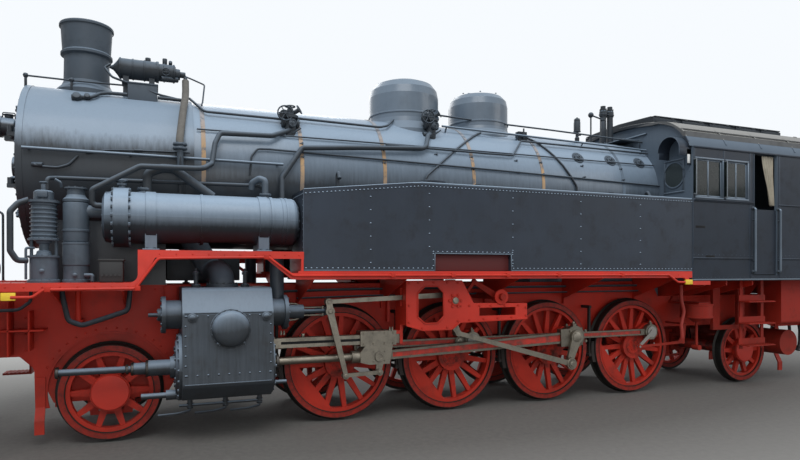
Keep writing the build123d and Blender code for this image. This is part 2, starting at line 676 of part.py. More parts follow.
def make_frame():
    save("main_frame", *both_sides(frame_plate()))
    half = PLATE_Y[0] - GAP
    stays = []
    # stay x, thickness, bottom z, top z
    for x, thickness, bottom, top in [
        (5700, 40, 960, 1640), (4150, 60, 1150, 1640), (3120, 40, 980, 1640), (1450, 60, 980, 1415),
        (-60, 40, 1060, 1240), (-1560, 40, 960, 1240), (-3130, 40, 980, 1415), (-3800, 60, 980, 1415),
        (-5450, 60, 900, 1415),
    ]:
        stays.append(box_at(x - thickness / 2, x + thickness / 2, -half, half, bottom, top))
    top = CAB_BOTTOM_Z - GAP
    # cab bearer x, half length
    for x, reach in [(-3130, 1380), (-3560, 1380), (-4100, 1380), (-4900, 850), (-5450, 850), (-6050, 850)]:
        stays.append(plate_x([(-reach, top), (reach, top), (reach, top - 70), (700, FRAME_REAR_TOP_Z + GAP),
                              (-700, FRAME_REAR_TOP_Z + GAP), (-reach, top - 70)], x - 12, x + 12))
    for bracket in board_brackets():
        stays += both_sides(bracket)
    save("frame_stays", *stays)

    boxes = []
    springs = []
    for x, centre in axle_places():
        width = HORN_HALF_WIDTH - GAP
        block = box_at(x - width, x + width, 540, 660, centre - 150, centre + 150)
        block -= round_y(535, 665, x, centre, AXLE_R + PIN_CLEARANCE)
        boxes += both_sides(block)
        spring = box_at(x - 45, x + 45, 500, 587, centre + 150 + GAP, centre + 345)
        for leaf in range(7):
            reach = 420 - leaf * 48
            top = centre + 245 + leaf * 13
            spring += box_at(x - reach, x + reach, 505, 583, top - 13, top)
        springs += both_sides(spring)
    save("axle_boxes", *boxes)
    save("springs", *springs)


def draw_hook():
    """Front draw hook."""
    z = BUFFER_Z
    hook = plate_y([(6180, z - 30), (6440, z - 30), (6480, z - 62), (6570, z - 52), (6600, z + 20),
                    (6575, z + 95), (6535, z + 95), (6545, z + 25), (6500, z - 5), (6462, z + 40),
                    (6400, z + 46), (6300, z + 30), (6180, z + 30)], -28, 28)
    return hook - round_y(-30, 30, COUPLING_EYE_X, z, 20)


def screw_coupling():
    """Screw coupling that hangs from the front draw hook."""
    foot_x, foot_z = COUPLING_EYE_X + 32, BUFFER_Z - 330
    coupling = round_y(-60, 60, COUPLING_EYE_X, BUFFER_Z, 20 - PIN_CLEARANCE)
    for y in (-50, 50):
        coupling += link_bar((COUPLING_EYE_X, BUFFER_Z), (foot_x, foot_z), 40, 40, y - 14, y + 14)
        coupling += eye((COUPLING_EYE_X, BUFFER_Z), 34, y - 14, y + 14)
    coupling += round_y(-62, 62, foot_x, foot_z, 32)
    return coupling + round_z(foot_z - 230, foot_z + 10, foot_x, 0, 21)


def buffer(y):
    """Front buffer with its round head."""
    base = BEAM_FACE_X + GAP
    face = BUFFER_FACE_X
    return turned_x([(base, 0), (base, 165), (base + 25, 165), (base + 25, 118), (base + 330, 104),
                     (base + 330, 82), (face - 60, 82), (face - 34, 120), (face - 26, 225), (face - 12, 225),
                     (face, 120), (face, 0)], y, BUFFER_Z)


def make_ends():
    beam = box_at(BEAM_FACE_X - BEAM_THICKNESS + GAP, BEAM_FACE_X, 20 - HALF_WIDTH, HALF_WIDTH - 20,
                  BEAM_BOTTOM_Z, BEAM_TOP_Z)
    opening = 30 + GAP
    beam -= box_at(BEAM_FACE_X - 100, BEAM_FACE_X + 5, 2 - opening, opening - 2, BUFFER_Z - opening,
                   BUFFER_Z + opening)
    uprights = box_at(BEAM_FACE_X - BEAM_THICKNESS + GAP, BEAM_FACE_X - 20, 1080, 1320,
                      BEAM_TOP_Z - 1, BOARD_LOW_Z - BOARD_THICKNESS - GAP)
    turn = Rot(0, 0, 180)
    save("buffer_beams", beam + uprights + mirrored(uprights), turn * beam)
    buffers = [buffer(BUFFER_Y), buffer(-BUFFER_Y)]
    save("buffers", *buffers, *[turn * piece for piece in buffers])
    hooks = [draw_hook(), screw_coupling()]
    save("draw_gear", *hooks, *[turn * piece for piece in hooks])


def lamp(x, y, z):
    """Head lamp on its foot, with the front of the glass at x."""
    body = turned_x([(x - 190, 0), (x - 190, 70), (x - 170, 96), (x - 50, 104), (x - 50, 118), (x, 118),
                     (x, 96), (x - 22, 92), (x - 22, 0)], y, z)
    return body + box_at(x - 150, x - 70, y - 35, y + 35, z - 150, z - 80)


def wall_lamp(x, y, z):
    """Lamp that stands out from an upright wall at x."""
    return turned_x([(x, 0), (x, 45), (x + 25, 45), (x + 25, 70), (x + 45, 96), (x + 165, 104), (x + 165, 118),
                     (x + 205, 118), (x + 205, 96), (x + 183, 92), (x + 183, 0)], y, z)


def make_lamps():
    """Two lamps on the front running boards and three on the bunker's back wall."""
    lamps = [lamp(BEAM_FACE_X, y, BOARD_LOW_Z + GAP + 150) for y in (1100, -1100)]
    wall_x = GAP - BUNKER_REAR_X
    for y, z in ((1100, BUNKER_TOP_Z - 700), (-1100, BUNKER_TOP_Z - 700), (0, BUNKER_TOP_Z - 150)):
        lamps.append(Rot(0, 0, 180) * wall_lamp(wall_x, y, z))
    save("lamps", *lamps)


def make_guards():
    """Guard irons ahead of the outer axles."""
    guards = []
    # iron x, half width, inner y, top z
    for x, half, inner, top in [(5365, 45, DOUBLER_Y + GAP, 700), (-5640, 45, PLATE_Y[1] + GAP, 1250)]:
        iron = box_at(x - half, x + half, inner, inner + 22, 380, top)
        iron += plate_x([(inner, 390), (inner + 22, 390), (inner + 90, 260), (inner + 90, 120),
                         (inner + 66, 120), (inner + 66, 254)], x - half, x + half)
        guards += both_sides(iron)
    save("guard_irons", *guards)


def make_brakes():
    """Brake blocks on their hangers ahead of each coupled wheel, with the beams and the pull rod."""
    gear = []
    pull_z = COUPLED_Z - 103
    for x in COUPLED_X:
        hang_x = x + COUPLED_TREAD_R + 70
        ring = round_y(728, 806, x, COUPLED_Z, COUPLED_TREAD_R + 58)
        ring -= round_y(727, 807, x, COUPLED_Z, COUPLED_TREAD_R + 8)
        hanger = ring & box_at(x + 400, hang_x + 60, 700, 820, COUPLED_Z - 210, COUPLED_Z + 90)
        hanger += box_at(hang_x - 15, hang_x + 15, 748, 786, COUPLED_Z - 120, 1310)
        hanger += round_y(PLATE_Y[1] + GAP, 800, hang_x, 1290, 22)
        hanger -= round_y(700, 820, hang_x, pull_z, 24 + PIN_CLEARANCE)
        gear += both_sides(hanger)
        gear.append(round_y(-800, 800, hang_x, pull_z, 24))
    front, rear = COUPLED_X[0] + 745, COUPLED_X[-1] + 745
    gear.append(box_at(rear - 60, front + 60, -22, 22, pull_z - 50, pull_z - 24 - GAP))
    save("brake_gear", *gear)


def brake_cylinder():
    """Left upright brake cylinder on its frame bracket, with the rod below."""
    x, y, radius = BRAKE_CYLINDER
    drum = turned_z([(0, 1036), (40, 1036), (62, 1044), (120, 1096), (radius, 1104), (radius, 1126),
                     (radius - 8, 1132), (radius - 8, 1284), (radius, 1290), (radius, 1310), (0, 1310)], x, y)
    drum += round_z(640, 1060, x, y, 20)
    drum += round_y(y - 60, y + 60, x, 652, 40)
    drum += box_at(x - 120, x + 120, PLATE_Y[1] + GAP, y + 150, 1308, 1336)
    drum += plate_y([(x - 120, 1330), (x + 120, 1330), (x + 60, 1410), (x - 60, 1410)], PLATE_Y[1] + GAP, 640)
    return drum


def cylinder():
    """Left cylinder in its casing, with valve chest, covers, rod sleeves and drain cocks."""
    y_low, y_high = CYLINDER_INNER_Y, CYLINDER_OUTER_Y
    rear, front = CYLINDER_REAR_X, CYLINDER_FRONT_X
    block = plate_x([(y_low, CYLINDER_BOTTOM_Z + 60), (y_high - 150, CYLINDER_BOTTOM_Z),
                     (y_high, CYLINDER_BOTTOM_Z + 160), (y_high, CYLINDER_TOP_Z - 260),
                     (y_high - 130, CYLINDER_TOP_Z), (y_low, CYLINDER_TOP_Z)], rear, front)
    along = block.edges().filter_by(Axis.X).filter_by(lambda edge: edge.center().Y > y_low + 100)
    block = fillet(along, 70)
    block += turned_x([(front - 5, 0), (front - 5, 352), (front + 30, 352), (front + 30, 300),
                       (front + 58, 270), (front + 58, 118), (front + 110, 110), (front + 110, 0)],
                      CYLINDER_Y, PISTON_Z)
    block += turned_x([(rear + 5, 0), (rear + 5, 340), (rear - 28, 340), (rear - 28, 130),
                       (rear - 60, 120), (rear - 60, 0)], CYLINDER_Y, PISTON_Z)
    block += round_x(front + 100, 4330, CYLINDER_Y, PISTON_Z, 82)
    block += round_x(4320, 4468, CYLINDER_Y, PISTON_Z, 62)
    block += round_x(4460, TAIL_ROD_FRONT_X, CYLINDER_Y, PISTON_Z, 34)
    block += round_x(VALVE_CHEST_REAR_X + 200, VALVE_CHEST_FRONT_X - 40, VALVE_Y, VALVE_Z, VALVE_CHEST_R)
    block += round_x(VALVE_CHEST_REAR_X, VALVE_CHEST_REAR_X + 210, VALVE_Y, VALVE_Z, 78)
    for x in (VALVE_CHEST_REAR_X + 190, VALVE_CHEST_FRONT_X - 60):
        block += round_x(x, x + 40, VALVE_Y, VALVE_Z, VALVE_CHEST_R + 42)
    block += round_x(VALVE_CHEST_FRONT_X - 30, VALVE_CHEST_FRONT_X + 20, VALVE_Y, VALVE_Z, 66)
    block += round_x(VALVE_CHEST_FRONT_X, VALVE_CHEST_FRONT_X + 110, VALVE_Y, VALVE_Z, 20)
    block += round_x(LEVER_SPINDLE[0] - 30, VALVE_CHEST_REAR_X + 5, VALVE_Y, VALVE_Z, 26)
    block += box_at(LEVER_SPINDLE[0] - 40, LEVER_SPINDLE[0] + 40, VALVE_Y - 40, LEVER_Y[0] - 5,
                    VALVE_Z - 42, VALVE_Z + 42)
    block += eye(LEVER_SPINDLE, SMALL_PIN_R, LEVER_Y[0] - 6, LEVER_Y[1] + 6)
    cover_x, cover_z, cover_r = CYLINDER_COVER
    # the domed cover turns about Y: (radius, y) rings
    rings = [(0, y_high - 4), (cover_r + 14, y_high - 4), (cover_r + 14, y_high + 8), (cover_r, y_high + 10)]
    rings += [(cover_r * cos(radians(turn)), y_high + 10 + 56 * sin(radians(turn))) for turn in (20, 42, 66)]
    rings.append((0, y_high + 66))
    cover = revolve(make_face(Polyline(*[(radius, y, 0) for radius, y in rings], close=True)), axis=Axis.Y)
    block += Pos(cover_x, 0, cover_z) * cover
    # small fittings along X: x low, x high, y, z, radius
    for x_low, x_high, y, z, radius in [
        (front + 20, front + 150, CYLINDER_Y, 497, 52), (front + 140, front + 390, CYLINDER_Y, 497, 30),
        (rear - 60, rear - 20, CYLINDER_Y + 90, 575, 36), (rear - 190, rear - 50, CYLINDER_Y + 90, 575, 22),
    ]:
        block += round_x(x_low, x_high, y, z, radius)
    for x in (rear + 244, front - 153):
        block += turned_z([(0, CYLINDER_TOP_Z - 5), (48, CYLINDER_TOP_Z - 5), (48, CYLINDER_TOP_Z + 22),
                           (24, CYLINDER_TOP_Z + 34), (24, 1760), (34, 1764), (34, 1790), (14, 1800),
                           (14, 1830), (0, 1830)], x, CYLINDER_Y)
    for x in (rear + 90, (rear + front) / 2, front - 90):
        block += round_z(CYLINDER_BOTTOM_Z - 110, CYLINDER_BOTTOM_Z + 60, x, CYLINDER_Y, 26)
    block += round_x(rear + 60, front + 20, CYLINDER_Y, CYLINDER_BOTTOM_Z - 92, 15)
    return block


def make_cylinders():
    save("cylinders", *both_sides(cylinder()))


def make_boiler():
    inner = SMOKEBOX_R - SMOKEBOX_WALL
    barrel = round_x(BACKHEAD_X, SMOKEBOX_REAR_X + GAP, 0, BOILER_Z, BOILER_R)
    barrel += box_at(BACKHEAD_X + 20, FIREBOX_FRONT_X, -FIREBOX_HALF_WIDTH, FIREBOX_HALF_WIDTH,
                     FIREBOX_BOTTOM_Z, BOILER_Z)
    save("boiler", barrel)
    bands = []
    for x in BAND_X:
        ring = round_x(x - BAND_WIDTH / 2, x + BAND_WIDTH / 2, 0, BOILER_Z, BOILER_R + BAND_THICKNESS)
        ring -= round_x(x - BAND_WIDTH, x + BAND_WIDTH, 0, BOILER_Z, BOILER_R + GAP)
        if x < FIREBOX_FRONT_X + BAND_WIDTH:
            ring -= box_at(BACKHEAD_X, FIREBOX_FRONT_X + BAND_WIDTH, -FIREBOX_HALF_WIDTH - GAP,
                           FIREBOX_HALF_WIDTH + GAP, FIREBOX_BOTTOM_Z, BOILER_Z)
        bands.append(ring)
    save("boiler_bands", *bands)

    shell = round_x(SMOKEBOX_REAR_X + 2 * GAP, SMOKEBOX_FRONT_X, 0, BOILER_Z, SMOKEBOX_R)
    shell -= round_x(SMOKEBOX_REAR_X - 10, SMOKEBOX_FRONT_X - 24, 0, BOILER_Z, inner)
    shell -= round_x(SMOKEBOX_FRONT_X - 40, SMOKEBOX_FRONT_X + 10, 0, BOILER_Z, DOOR_OPENING_R)
    shell -= round_z(BOILER_Z, BOILER_Z + 2000, CHIMNEY_X, 0, 190)
    for z in DOOR_HINGE_Z:
        shell += box_at(SMOKEBOX_FRONT_X - 2, DOOR_HINGE[0] + 26, DOOR_HINGE[1] - 26, DOOR_HINGE[1] + 26,
                        z - 60, z - 22)
        shell -= round_z(z - 62, z - 20, *DOOR_HINGE, 14 + PIN_CLEARANCE)
    saddle = box_at(*SADDLE_X, -DOUBLER_Y, DOUBLER_Y, FRAME_TOP_Z + GAP, BOILER_Z - 500)
    saddle -= round_x(SADDLE_X[0] - 50, SADDLE_X[1] + 50, 0, BOILER_Z, SMOKEBOX_R + GAP)
    save("smokebox", shell, saddle)

    front = SMOKEBOX_FRONT_X
    door = turned_x([(front + GAP, 0), (front + GAP, DOOR_R), (front + 24, DOOR_R), (front + 34, DOOR_R - 16),
                     (front + 78, 420), (front + 96, 160), (front + 98, 0)], 0, BOILER_Z)
    door += round_x(front + 90, front + 150, 0, BOILER_Z, 46)
    for z in DOOR_HINGE_Z:
        door += plate_z([(front + 20, DOOR_HINGE[1] - 470), (front + 100, DOOR_HINGE[1] - 470),
                         (DOOR_HINGE[0] + 24, DOOR_HINGE[1]), (DOOR_HINGE[0] - 24, DOOR_HINGE[1])],
                        z - 20, z + 28)
        door += round_z(z - 20, z + 40, *DOOR_HINGE, 26)
        door += round_z(z - 58, z - 18, *DOOR_HINGE, 14)
    for turn in range(10):
        angle = radians(turn * 36 + 18)
        clamp_y, clamp_z = (DOOR_R - 34) * cos(angle), (DOOR_R - 34) * sin(angle)
        door += round_x(front + 20, front + 62, clamp_y, BOILER_Z + clamp_z, 20)
    pad_x = front + 112
    pad_z = DOOR_LAMP_Z - 115
    door += round_x(front + 40, pad_x, 0, pad_z, 62)
    door_lamp = lamp(DOOR_LAMP_FRONT_X, 0, DOOR_LAMP_Z)
    door_lamp += box_at(pad_x + GAP, DOOR_LAMP_FRONT_X - 80, -35, 35, pad_z - 35, pad_z + 35)
    save("smokebox_door", door, door_lamp)


def seat_on_boiler(shape, radius):
    """A piece that stands on the boiler, cut to the curve of the barrel or smokebox."""
    return shape - round_x(BACKHEAD_X, SMOKEBOX_FRONT_X, 0, BOILER_Z, radius + GAP)


def make_boiler_top():
    base = BOILER_Z + SMOKEBOX_R
    chimney = turned_z([(200, base - 90), (330, base - 90), (330, base - 10), (262, base + 60),
                        (240, base + 110), (234, base + 400), (262, base + 412), (262, base + 450),
                        (252, base + 458), (268, base + 728), (278, base + 750), (278, base + 768),
                        (225, base + 768), (200, base + 300)], CHIMNEY_X, 0)
    save("chimney", seat_on_boiler(chimney, SMOKEBOX_R))
    base = BOILER_Z + BOILER_R
    dome = turned_z([(0, base - 250), (560, base - 250), (560, base - 150), (490, base - 40),
                     (482, base + 20), (482, base + 350), (462, base + 450), (400, base + 532),
                     (300, base + 572), (0, base + 584)], DOME_X, 0)
    save("steam_dome", seat_on_boiler(dome, BOILER_R))
    sand = turned_z([(0, base - 200), (500, base - 200), (500, base - 120), (438, base - 20),
                     (431, base + 20), (431, base + 340), (412, base + 430), (352, base + 495),
                     (250, base + 520), (150, base + 526), (150, base + 550), (0, base + 552)], SAND_DOME_X, 0)
    save("sand_dome", seat_on_boiler(sand, BOILER_R))
    pops = []
    for x in SAFETY_VALVE_X:
        pop = turned_z([(0, base - 140), (75, base - 140), (75, base + 20), (52, base + 40), (48, base + 460),
                        (60, base + 470), (60, base + 540), (40, base + 560), (40, base + 631), (0, base + 631)],
                       x, 0)
        pops.append(seat_on_boiler(pop, BOILER_R))
    save("safety_valves", *pops)
    z = GENERATOR_Z
    generator = turned_x([(GENERATOR_REAR_X, 0), (GENERATOR_REAR_X, 60), (4040, 64), (4040, 98), (4215, 98),
                          (4215, 120), (4240, 120), (4240, 112), (4630, 112), (4645, 84), (4690, 30), (4730, 12),
                          (4730, 0)], GENERATOR_Y, z)
    for x in (4290, 4560):
        generator += box_at(x - 30, x + 30, GENERATOR_Y - 60, GENERATOR_Y + 60, z - 450, z - 60)
    save("turbo_generator", seat_on_boiler(generator, SMOKEBOX_R))


def make_boiler_fittings():
    """Clack and steam valves, whistle, sanding valve boxes and washout covers."""
    fittings = []
    # valve x, y, body radius, base height over the boiler centre, top height
    for x, y, radius, low, high in BOILER_VALVES:
        body = turned_z([(0, BOILER_Z + low), (radius, BOILER_Z + low), (radius, BOILER_Z + high - 150),
                         (radius + 26, BOILER_Z + high - 146), (radius + 26, BOILER_Z + high - 118),
                         (radius * 0.7, BOILER_Z + high - 110), (radius * 0.5, BOILER_Z + high - 30),
                         (18, BOILER_Z + high - 26), (18, BOILER_Z + high), (0, BOILER_Z + high)], x, y)
        body += round_x(x - 1.1 * radius, x + 1.1 * radius, y, BOILER_Z + high - 200, 0.6 * radius)
        fittings += both_sides(seat_on_boiler(body, BOILER_R))
    x, y = WHISTLE
    whistle = turned_z([(0, BOILER_Z + 780), (34, BOILER_Z + 780), (34, BOILER_Z + 870), (22, BOILER_Z + 880),
                        (22, BOILER_Z + 950), (46, BOILER_Z + 958), (46, BOILER_Z + 1140),
                        (38, BOILER_Z + 1160), (12, BOILER_Z + 1166), (12, BOILER_Z + 1178),
                        (0, BOILER_Z + 1178)], x, y)
    fittings.append(seat_on_boiler(whistle, BOILER_R))
    valve_box = box_at(-645, -505, 470, 552, BOILER_Z + 580, BOILER_Z + 820)
    fittings += both_sides(seat_on_boiler(valve_box, BOILER_R))
    for x in (-1379, -1960, -2504):
        cover = Pos(x, 0, BOILER_Z) * Rot(-57.5, 0, 0) * Pos(0, 0, BOILER_R) * Cylinder(72, 40)
        fittings += both_sides(seat_on_boiler(cover, BOILER_R))
    save("boiler_fittings", *fittings)


def tank():
    """Left side tank with its filler neck, hinge lugs and the recess over the motion."""
    side = plate_y([(TANK_FRONT_X, TANK_BOTTOM_Z), (TANK_FRONT_X, TANK_NOSE_Z), (TANK_SLOPE_END_X, TANK_TOP_Z),
                    (TANK_REAR_X, TANK_TOP_Z), (TANK_REAR_X, TANK_BOTTOM_Z)], TANK_INNER_Y, HALF_WIDTH - 4)
    side = fillet(side.edges().filter_by(Axis.X).sort_by(Axis.Y)[-2:], 22)
    side -= box_at(220, 1242, HALF_WIDTH - 260, HALF_WIDTH + 10, TANK_BOTTOM_Z - 10, 2000)
    side += round_z(TANK_TOP_Z - 5, TANK_TOP_Z + 40, FILLER_X, FILLER_Y, FILLER_R)
    side -= round_z(TANK_TOP_Z - 200, TANK_TOP_Z + 60, FILLER_X, FILLER_Y, FILLER_R - 20)
    for x in (FILLER_X - 60, FILLER_X + 60):
        side += box_at(x - 12, x + 12, FILLER_HINGE_Y - 13, FILLER_HINGE_Y + 13, TANK_TOP_Z - 5,
                       FILLER_HINGE_Z + 12)
        side -= round_x(x - 14, x + 14, FILLER_HINGE_Y, FILLER_HINGE_Z, 8 + PIN_CLEARANCE)
    return side


def tank_lid():
    """Lid of the left tank's filler, with its hinge pin."""
    lid = round_z(TANK_TOP_Z + 40 + GAP, TANK_TOP_Z + 58, FILLER_X, FILLER_Y, FILLER_R + 10)
    lid += box_at(FILLER_X - 44, FILLER_X + 44, FILLER_HINGE_Y - 10, FILLER_Y, TANK_TOP_Z + 44,
                  TANK_TOP_Z + 62)
    lid += round_x(FILLER_X - 72, FILLER_X + 72, FILLER_HINGE_Y, FILLER_HINGE_Z, 8)
    return lid + round_z(TANK_TOP_Z + 50, TANK_TOP_Z + 72, FILLER_X, FILLER_Y, 50)


def make_tanks():
    save("side_tanks", *both_sides(tank()))
    save("tank_lid_left", tank_lid())
    save("tank_lid_right", mirrored(tank_lid()))


def running_board():
    """Left running board: the low front part, the rounded riser, the high part and the red valance."""
    outer = HALF_WIDTH
    low, high, step = BOARD_LOW_Z, BOARD_HIGH_Z, BOARD_STEP_X
    corner, t = BOARD_CORNER_R, BOARD_THICKNESS
    front = BEAM_FACE_X + 30
    rear = TANK_FRONT_X + 1
    bend = (step + corner, low + corner)
    slant = (cos(radians(225)), sin(radians(225)))
    upper_mid = (bend[0] + corner * slant[0], bend[1] + corner * slant[1])
    lower_mid = (bend[0] + (corner + t) * slant[0], bend[1] + (corner + t) * slant[1])

    def line(start, end):
        return Line((start[0], outer, start[1]), (end[0], outer, end[1]))

    def arc(start, middle, end):
        return ThreePointArc((start[0], outer, start[1]), (middle[0], outer, middle[1]), (end[0], outer, end[1]))

    top_arc = arc((step + corner, low), upper_mid, (step, low + corner))
    board = outline_y([
        line((front, low), (step + corner, low)), top_arc, line((step, low + corner), (step, high)),
        line((step, high), (rear, high)), line((rear, high), (rear, high - t)),
        line((rear, high - t), (step - t, high - t)), line((step - t, high - t), (step - t, low + corner)),
        arc((step - t, low + corner), lower_mid, (step + corner, low - t)),
        line((step + corner, low - t), (front, low - t)), line((front, low - t), (front, low)),
    ], BOARD_INNER_Y, outer)
    depth = VALANCE_DEPTH
    board += outline_y([
        line((front, low), (step + corner, low)), top_arc, line((step, low + corner), (step, high)),
        line((step, high), (rear, high)), line((rear, high), (rear, high - depth)),
        line((rear, high - depth), (step - 156, high - depth)),
        line((step - 156, high - depth), (step + 8, low - depth)),
        line((step + 8, low - depth), (front, low - depth)), line((front, low - depth), (front, low)),
    ], outer - VALANCE_THICKNESS, outer)
    under = TANK_BOTTOM_Z - GAP
    board += plate_y([(3190, high - 20), (3190, high - depth), (2920, under - 90), (TANK_FRONT_X, under - 90),
                      (TANK_FRONT_X, under - 20), (2960, under - 20)], outer - VALANCE_THICKNESS, outer)
    board += box_at(TANK_REAR_X + 10, TANK_FRONT_X + 60, TANK_INNER_Y, outer, under - 26, under)
    board += box_at(TANK_REAR_X + 10, TANK_FRONT_X + 60, outer - VALANCE_THICKNESS, outer, under - 90, under)
    board += box_at(TANK_FRONT_X + 4, TANK_FRONT_X + 30, TANK_INNER_Y, outer, under - 20, high - 2)
    cab = CAB_BOTTOM_Z - GAP
    board += plate_y([(-2560, under - 20), (-2660, under - 50), (-2720, cab - 10), (-2790, cab), (-3100, cab),
                      (-3100, cab - 56), (-2770, cab - 56), (-2680, cab - 20), (-2600, under - 88),
                      (-2560, under - 88)], outer - 40, outer)
    return board


def board_brackets():
    """Brackets on the left frame plate that carry the running board and the tank."""
    brackets = []
    outer = HALF_WIDTH - VALANCE_THICKNESS - GAP
    under_tank = TANK_BOTTOM_Z - 26 - 2 * GAP
    for x in (5900, 5150, 4560, 2680, 1600, 100, -1200, -2500):
        top = under_tank if x < BOARD_STEP_X else BOARD_LOW_Z - BOARD_THICKNESS - GAP
        inner = (DOUBLER_Y if x > SADDLE_X[0] else PLATE_Y[1]) + GAP
        brackets.append(plate_x([(inner, top), (outer, top), (outer, top - 70), (inner + 120, 1440),
                                 (inner + 45, 1420), (inner + 45, 1340), (inner, 1340)], x - 6, x + 6))
    return brackets


def side_conduit():
    """Thin pipe along the left valance, between its two end boxes."""
    y = HALF_WIDTH + GAP + CONDUIT_R
    route = [(5470, y, 1560), (5300, y, 1560), (5210, y, 1628), (4440, y, 1632), (4235, y, 1925),
             (3170, y, 1945), (2910, y, 1752), (-2300, y, 1752), (-2470, y, 1650), (-2600, y, 1650)]
    return pipe(route, 60, CONDUIT_R)


def make_boards():
    save("running_boards", *both_sides(running_board()))
    save("side_conduits", *both_sides(side_conduit()))


def cab_section(inset, x):
    """Closed cross-section of the cab from the floor to the roof, inset by a wall."""
    half = HALF_WIDTH - inset
    bottom = CAB_BOTTOM_Z
    knee = (ROOF_KNEE[0] - 0.72 * inset, ROOF_KNEE[1] - 0.7 * inset)
    shoulder = (ROOF_SHOULDER[0] - 0.2 * inset, ROOF_SHOULDER[1] - inset)
    crown = ROOF_CROWN_Z - inset
    eaves = CAB_EAVES_Z - 0.02 * inset
    lines = [
        Line((x, -half, bottom), (x, half, bottom)),
        Line((x, half, bottom), (x, half, eaves)),
        ThreePointArc((x, half, eaves), (x, knee[0], knee[1]), (x, shoulder[0], shoulder[1])),
        ThreePointArc((x, shoulder[0], shoulder[1]), (x, 0, crown), (x, -shoulder[0], shoulder[1])),
        ThreePointArc((x, -shoulder[0], shoulder[1]), (x, -knee[0], knee[1]), (x, -half, eaves)),
        Line((x, -half, eaves), (x, -half, bottom)),
    ]
    return make_face(Wire(lines))


def cab_prism(inset, x_low, x_high):
    return extrude(cab_section(inset, x_low), amount=x_high - x_low, dir=(1, 0, 0))


def make_cab():
    walls = cab_prism(ROOF_THICKNESS + GAP, CAB_REAR_X, CAB_FRONT_X)
    upper = box_at(CAB_REAR_X - 10, CAB_FRONT_X + 10, -2000, 2000, CAB_EAVES_Z + 5, 5000)
    shell = extrude(cab_section(0, CAB_REAR_X), amount=CAB_FRONT_X - CAB_REAR_X, dir=(1, 0, 0))
    shell = (shell - upper) + (walls & upper)
    hollow = extrude(cab_section(CAB_WALL + ROOF_THICKNESS, CAB_REAR_X + CAB_WALL),
                     amount=CAB_FRONT_X - CAB_REAR_X - 2 * CAB_WALL, dir=(1, 0, 0))
    room = box_at(CAB_REAR_X + CAB_WALL, CAB_FRONT_X - CAB_WALL, -HALF_WIDTH + CAB_WALL, HALF_WIDTH - CAB_WALL,
                  CAB_FLOOR_Z, CAB_EAVES_Z - 60)
    above = box_at(CAB_REAR_X + CAB_WALL, CAB_FRONT_X - CAB_WALL, -2000, 2000, CAB_EAVES_Z - 70, 5000)
    shell = shell - room - (hollow & above)
    shell -= round_x(BACKHEAD_X - 10, CAB_FRONT_X + 20, 0, BOILER_Z, BOILER_R + GAP)
    shell -= box_at(BACKHEAD_X - 10, CAB_FRONT_X + 20, -FIREBOX_HALF_WIDTH - 1, FIREBOX_HALF_WIDTH + 1,
                    CAB_BOTTOM_Z - 10, BOILER_Z)
    cut = HALF_WIDTH + 20
    for x_low, x_high, z_low, z_high in SIDE_WINDOWS + [DOORWAY]:
        shell -= box_at(x_low, x_high, -cut, cut, z_low, z_high)
    for y_low, y_high, z_low, z_high in END_WINDOWS:
        shell -= box_at(CAB_REAR_X - 20, CAB_REAR_X + CAB_WALL + 20, y_low, y_high, z_low, z_high)
        shell -= box_at(CAB_FRONT_X - CAB_WALL - 20, CAB_FRONT_X + 20, y_low, y_high, z_low, z_high)
    for side in (1, -1):
        x, y = DOOR_AXIS[0], side * DOOR_AXIS[1]
        for z in DOOR_KNUCKLES:
            low, high = sorted((y, side * (HALF_WIDTH - CAB_WALL + 4)))
            shell += box_at(x, x + 70, low, high, z, z + 40)
            shell += round_z(z, z + 40, x, y, 15)
            shell -= round_z(z - 1, z + 41, x, y, 8 + PIN_CLEARANCE)
    save("cab", shell)

    roof = cab_prism(0, ROOF_REAR_X, ROOF_FRONT_X) - cab_prism(ROOF_THICKNESS, ROOF_REAR_X - 5, ROOF_FRONT_X + 5)
    roof &= box_at(ROOF_REAR_X - 10, ROOF_FRONT_X + 10, -2000, 2000, CAB_EAVES_Z + 6, 5000)
    clerestory = plate_x([(-780, 4010), (-760, 4150), (-700, 4176), (0, 4206), (700, 4176), (760, 4150),
                          (780, 4010)], -5500, CAB_FRONT_X - 20)
    clerestory -= cab_prism(ROOF_THICKNESS - 8, ROOF_REAR_X - 5, ROOF_FRONT_X + 5)
    roof += clerestory
    for side in (1, -1):
        low, high = sorted((side * 1385, side * 1425))
        roof += box_at(ROOF_REAR_X, ROOF_FRONT_X, low, high, 3668, 3790) - cab_prism(
            ROOF_THICKNESS - 8, ROOF_REAR_X - 5, ROOF_FRONT_X + 5)
    save("cab_roof", roof)

    panes = []
    half = GLASS_THICKNESS / 2
    for x_low, x_high, z_low, z_high in SIDE_WINDOWS:
        pane = box_at(x_low + GAP, x_high - GAP, HALF_WIDTH - CAB_WALL / 2 - half, HALF_WIDTH - CAB_WALL / 2 + half,
                      z_low + GAP, z_high - GAP)
        panes += both_sides(pane)
    for y_low, y_high, z_low, z_high in END_WINDOWS:
        for x in (CAB_REAR_X + CAB_WALL / 2, CAB_FRONT_X - CAB_WALL / 2):
            panes.append(box_at(x - half, x + half, y_low + GAP, y_high - GAP, z_low + GAP, z_high - GAP))
    save("cab_glass", *panes)


def cab_door():
    """Half-height door of the left doorway, with its hinge pins."""
    leaf = box_at(DOORWAY[0] + 12, DOORWAY[1] - 14, HALF_WIDTH - CAB_WALL + 4, HALF_WIDTH - 8,
                  CAB_FLOOR_Z + 10, DOOR_TOP_Z)
    x, y = DOOR_AXIS
    for z in DOOR_KNUCKLES:
        leaf += box_at(x - 60, x, y - 6, HALF_WIDTH - CAB_WALL + 6, z + 40 + GAP, z + 80)
        leaf += round_z(z + 40 + GAP, z + 80, x, y, 15)
        leaf += round_z(z + 2, z + 60, x, y, 8)
    return leaf


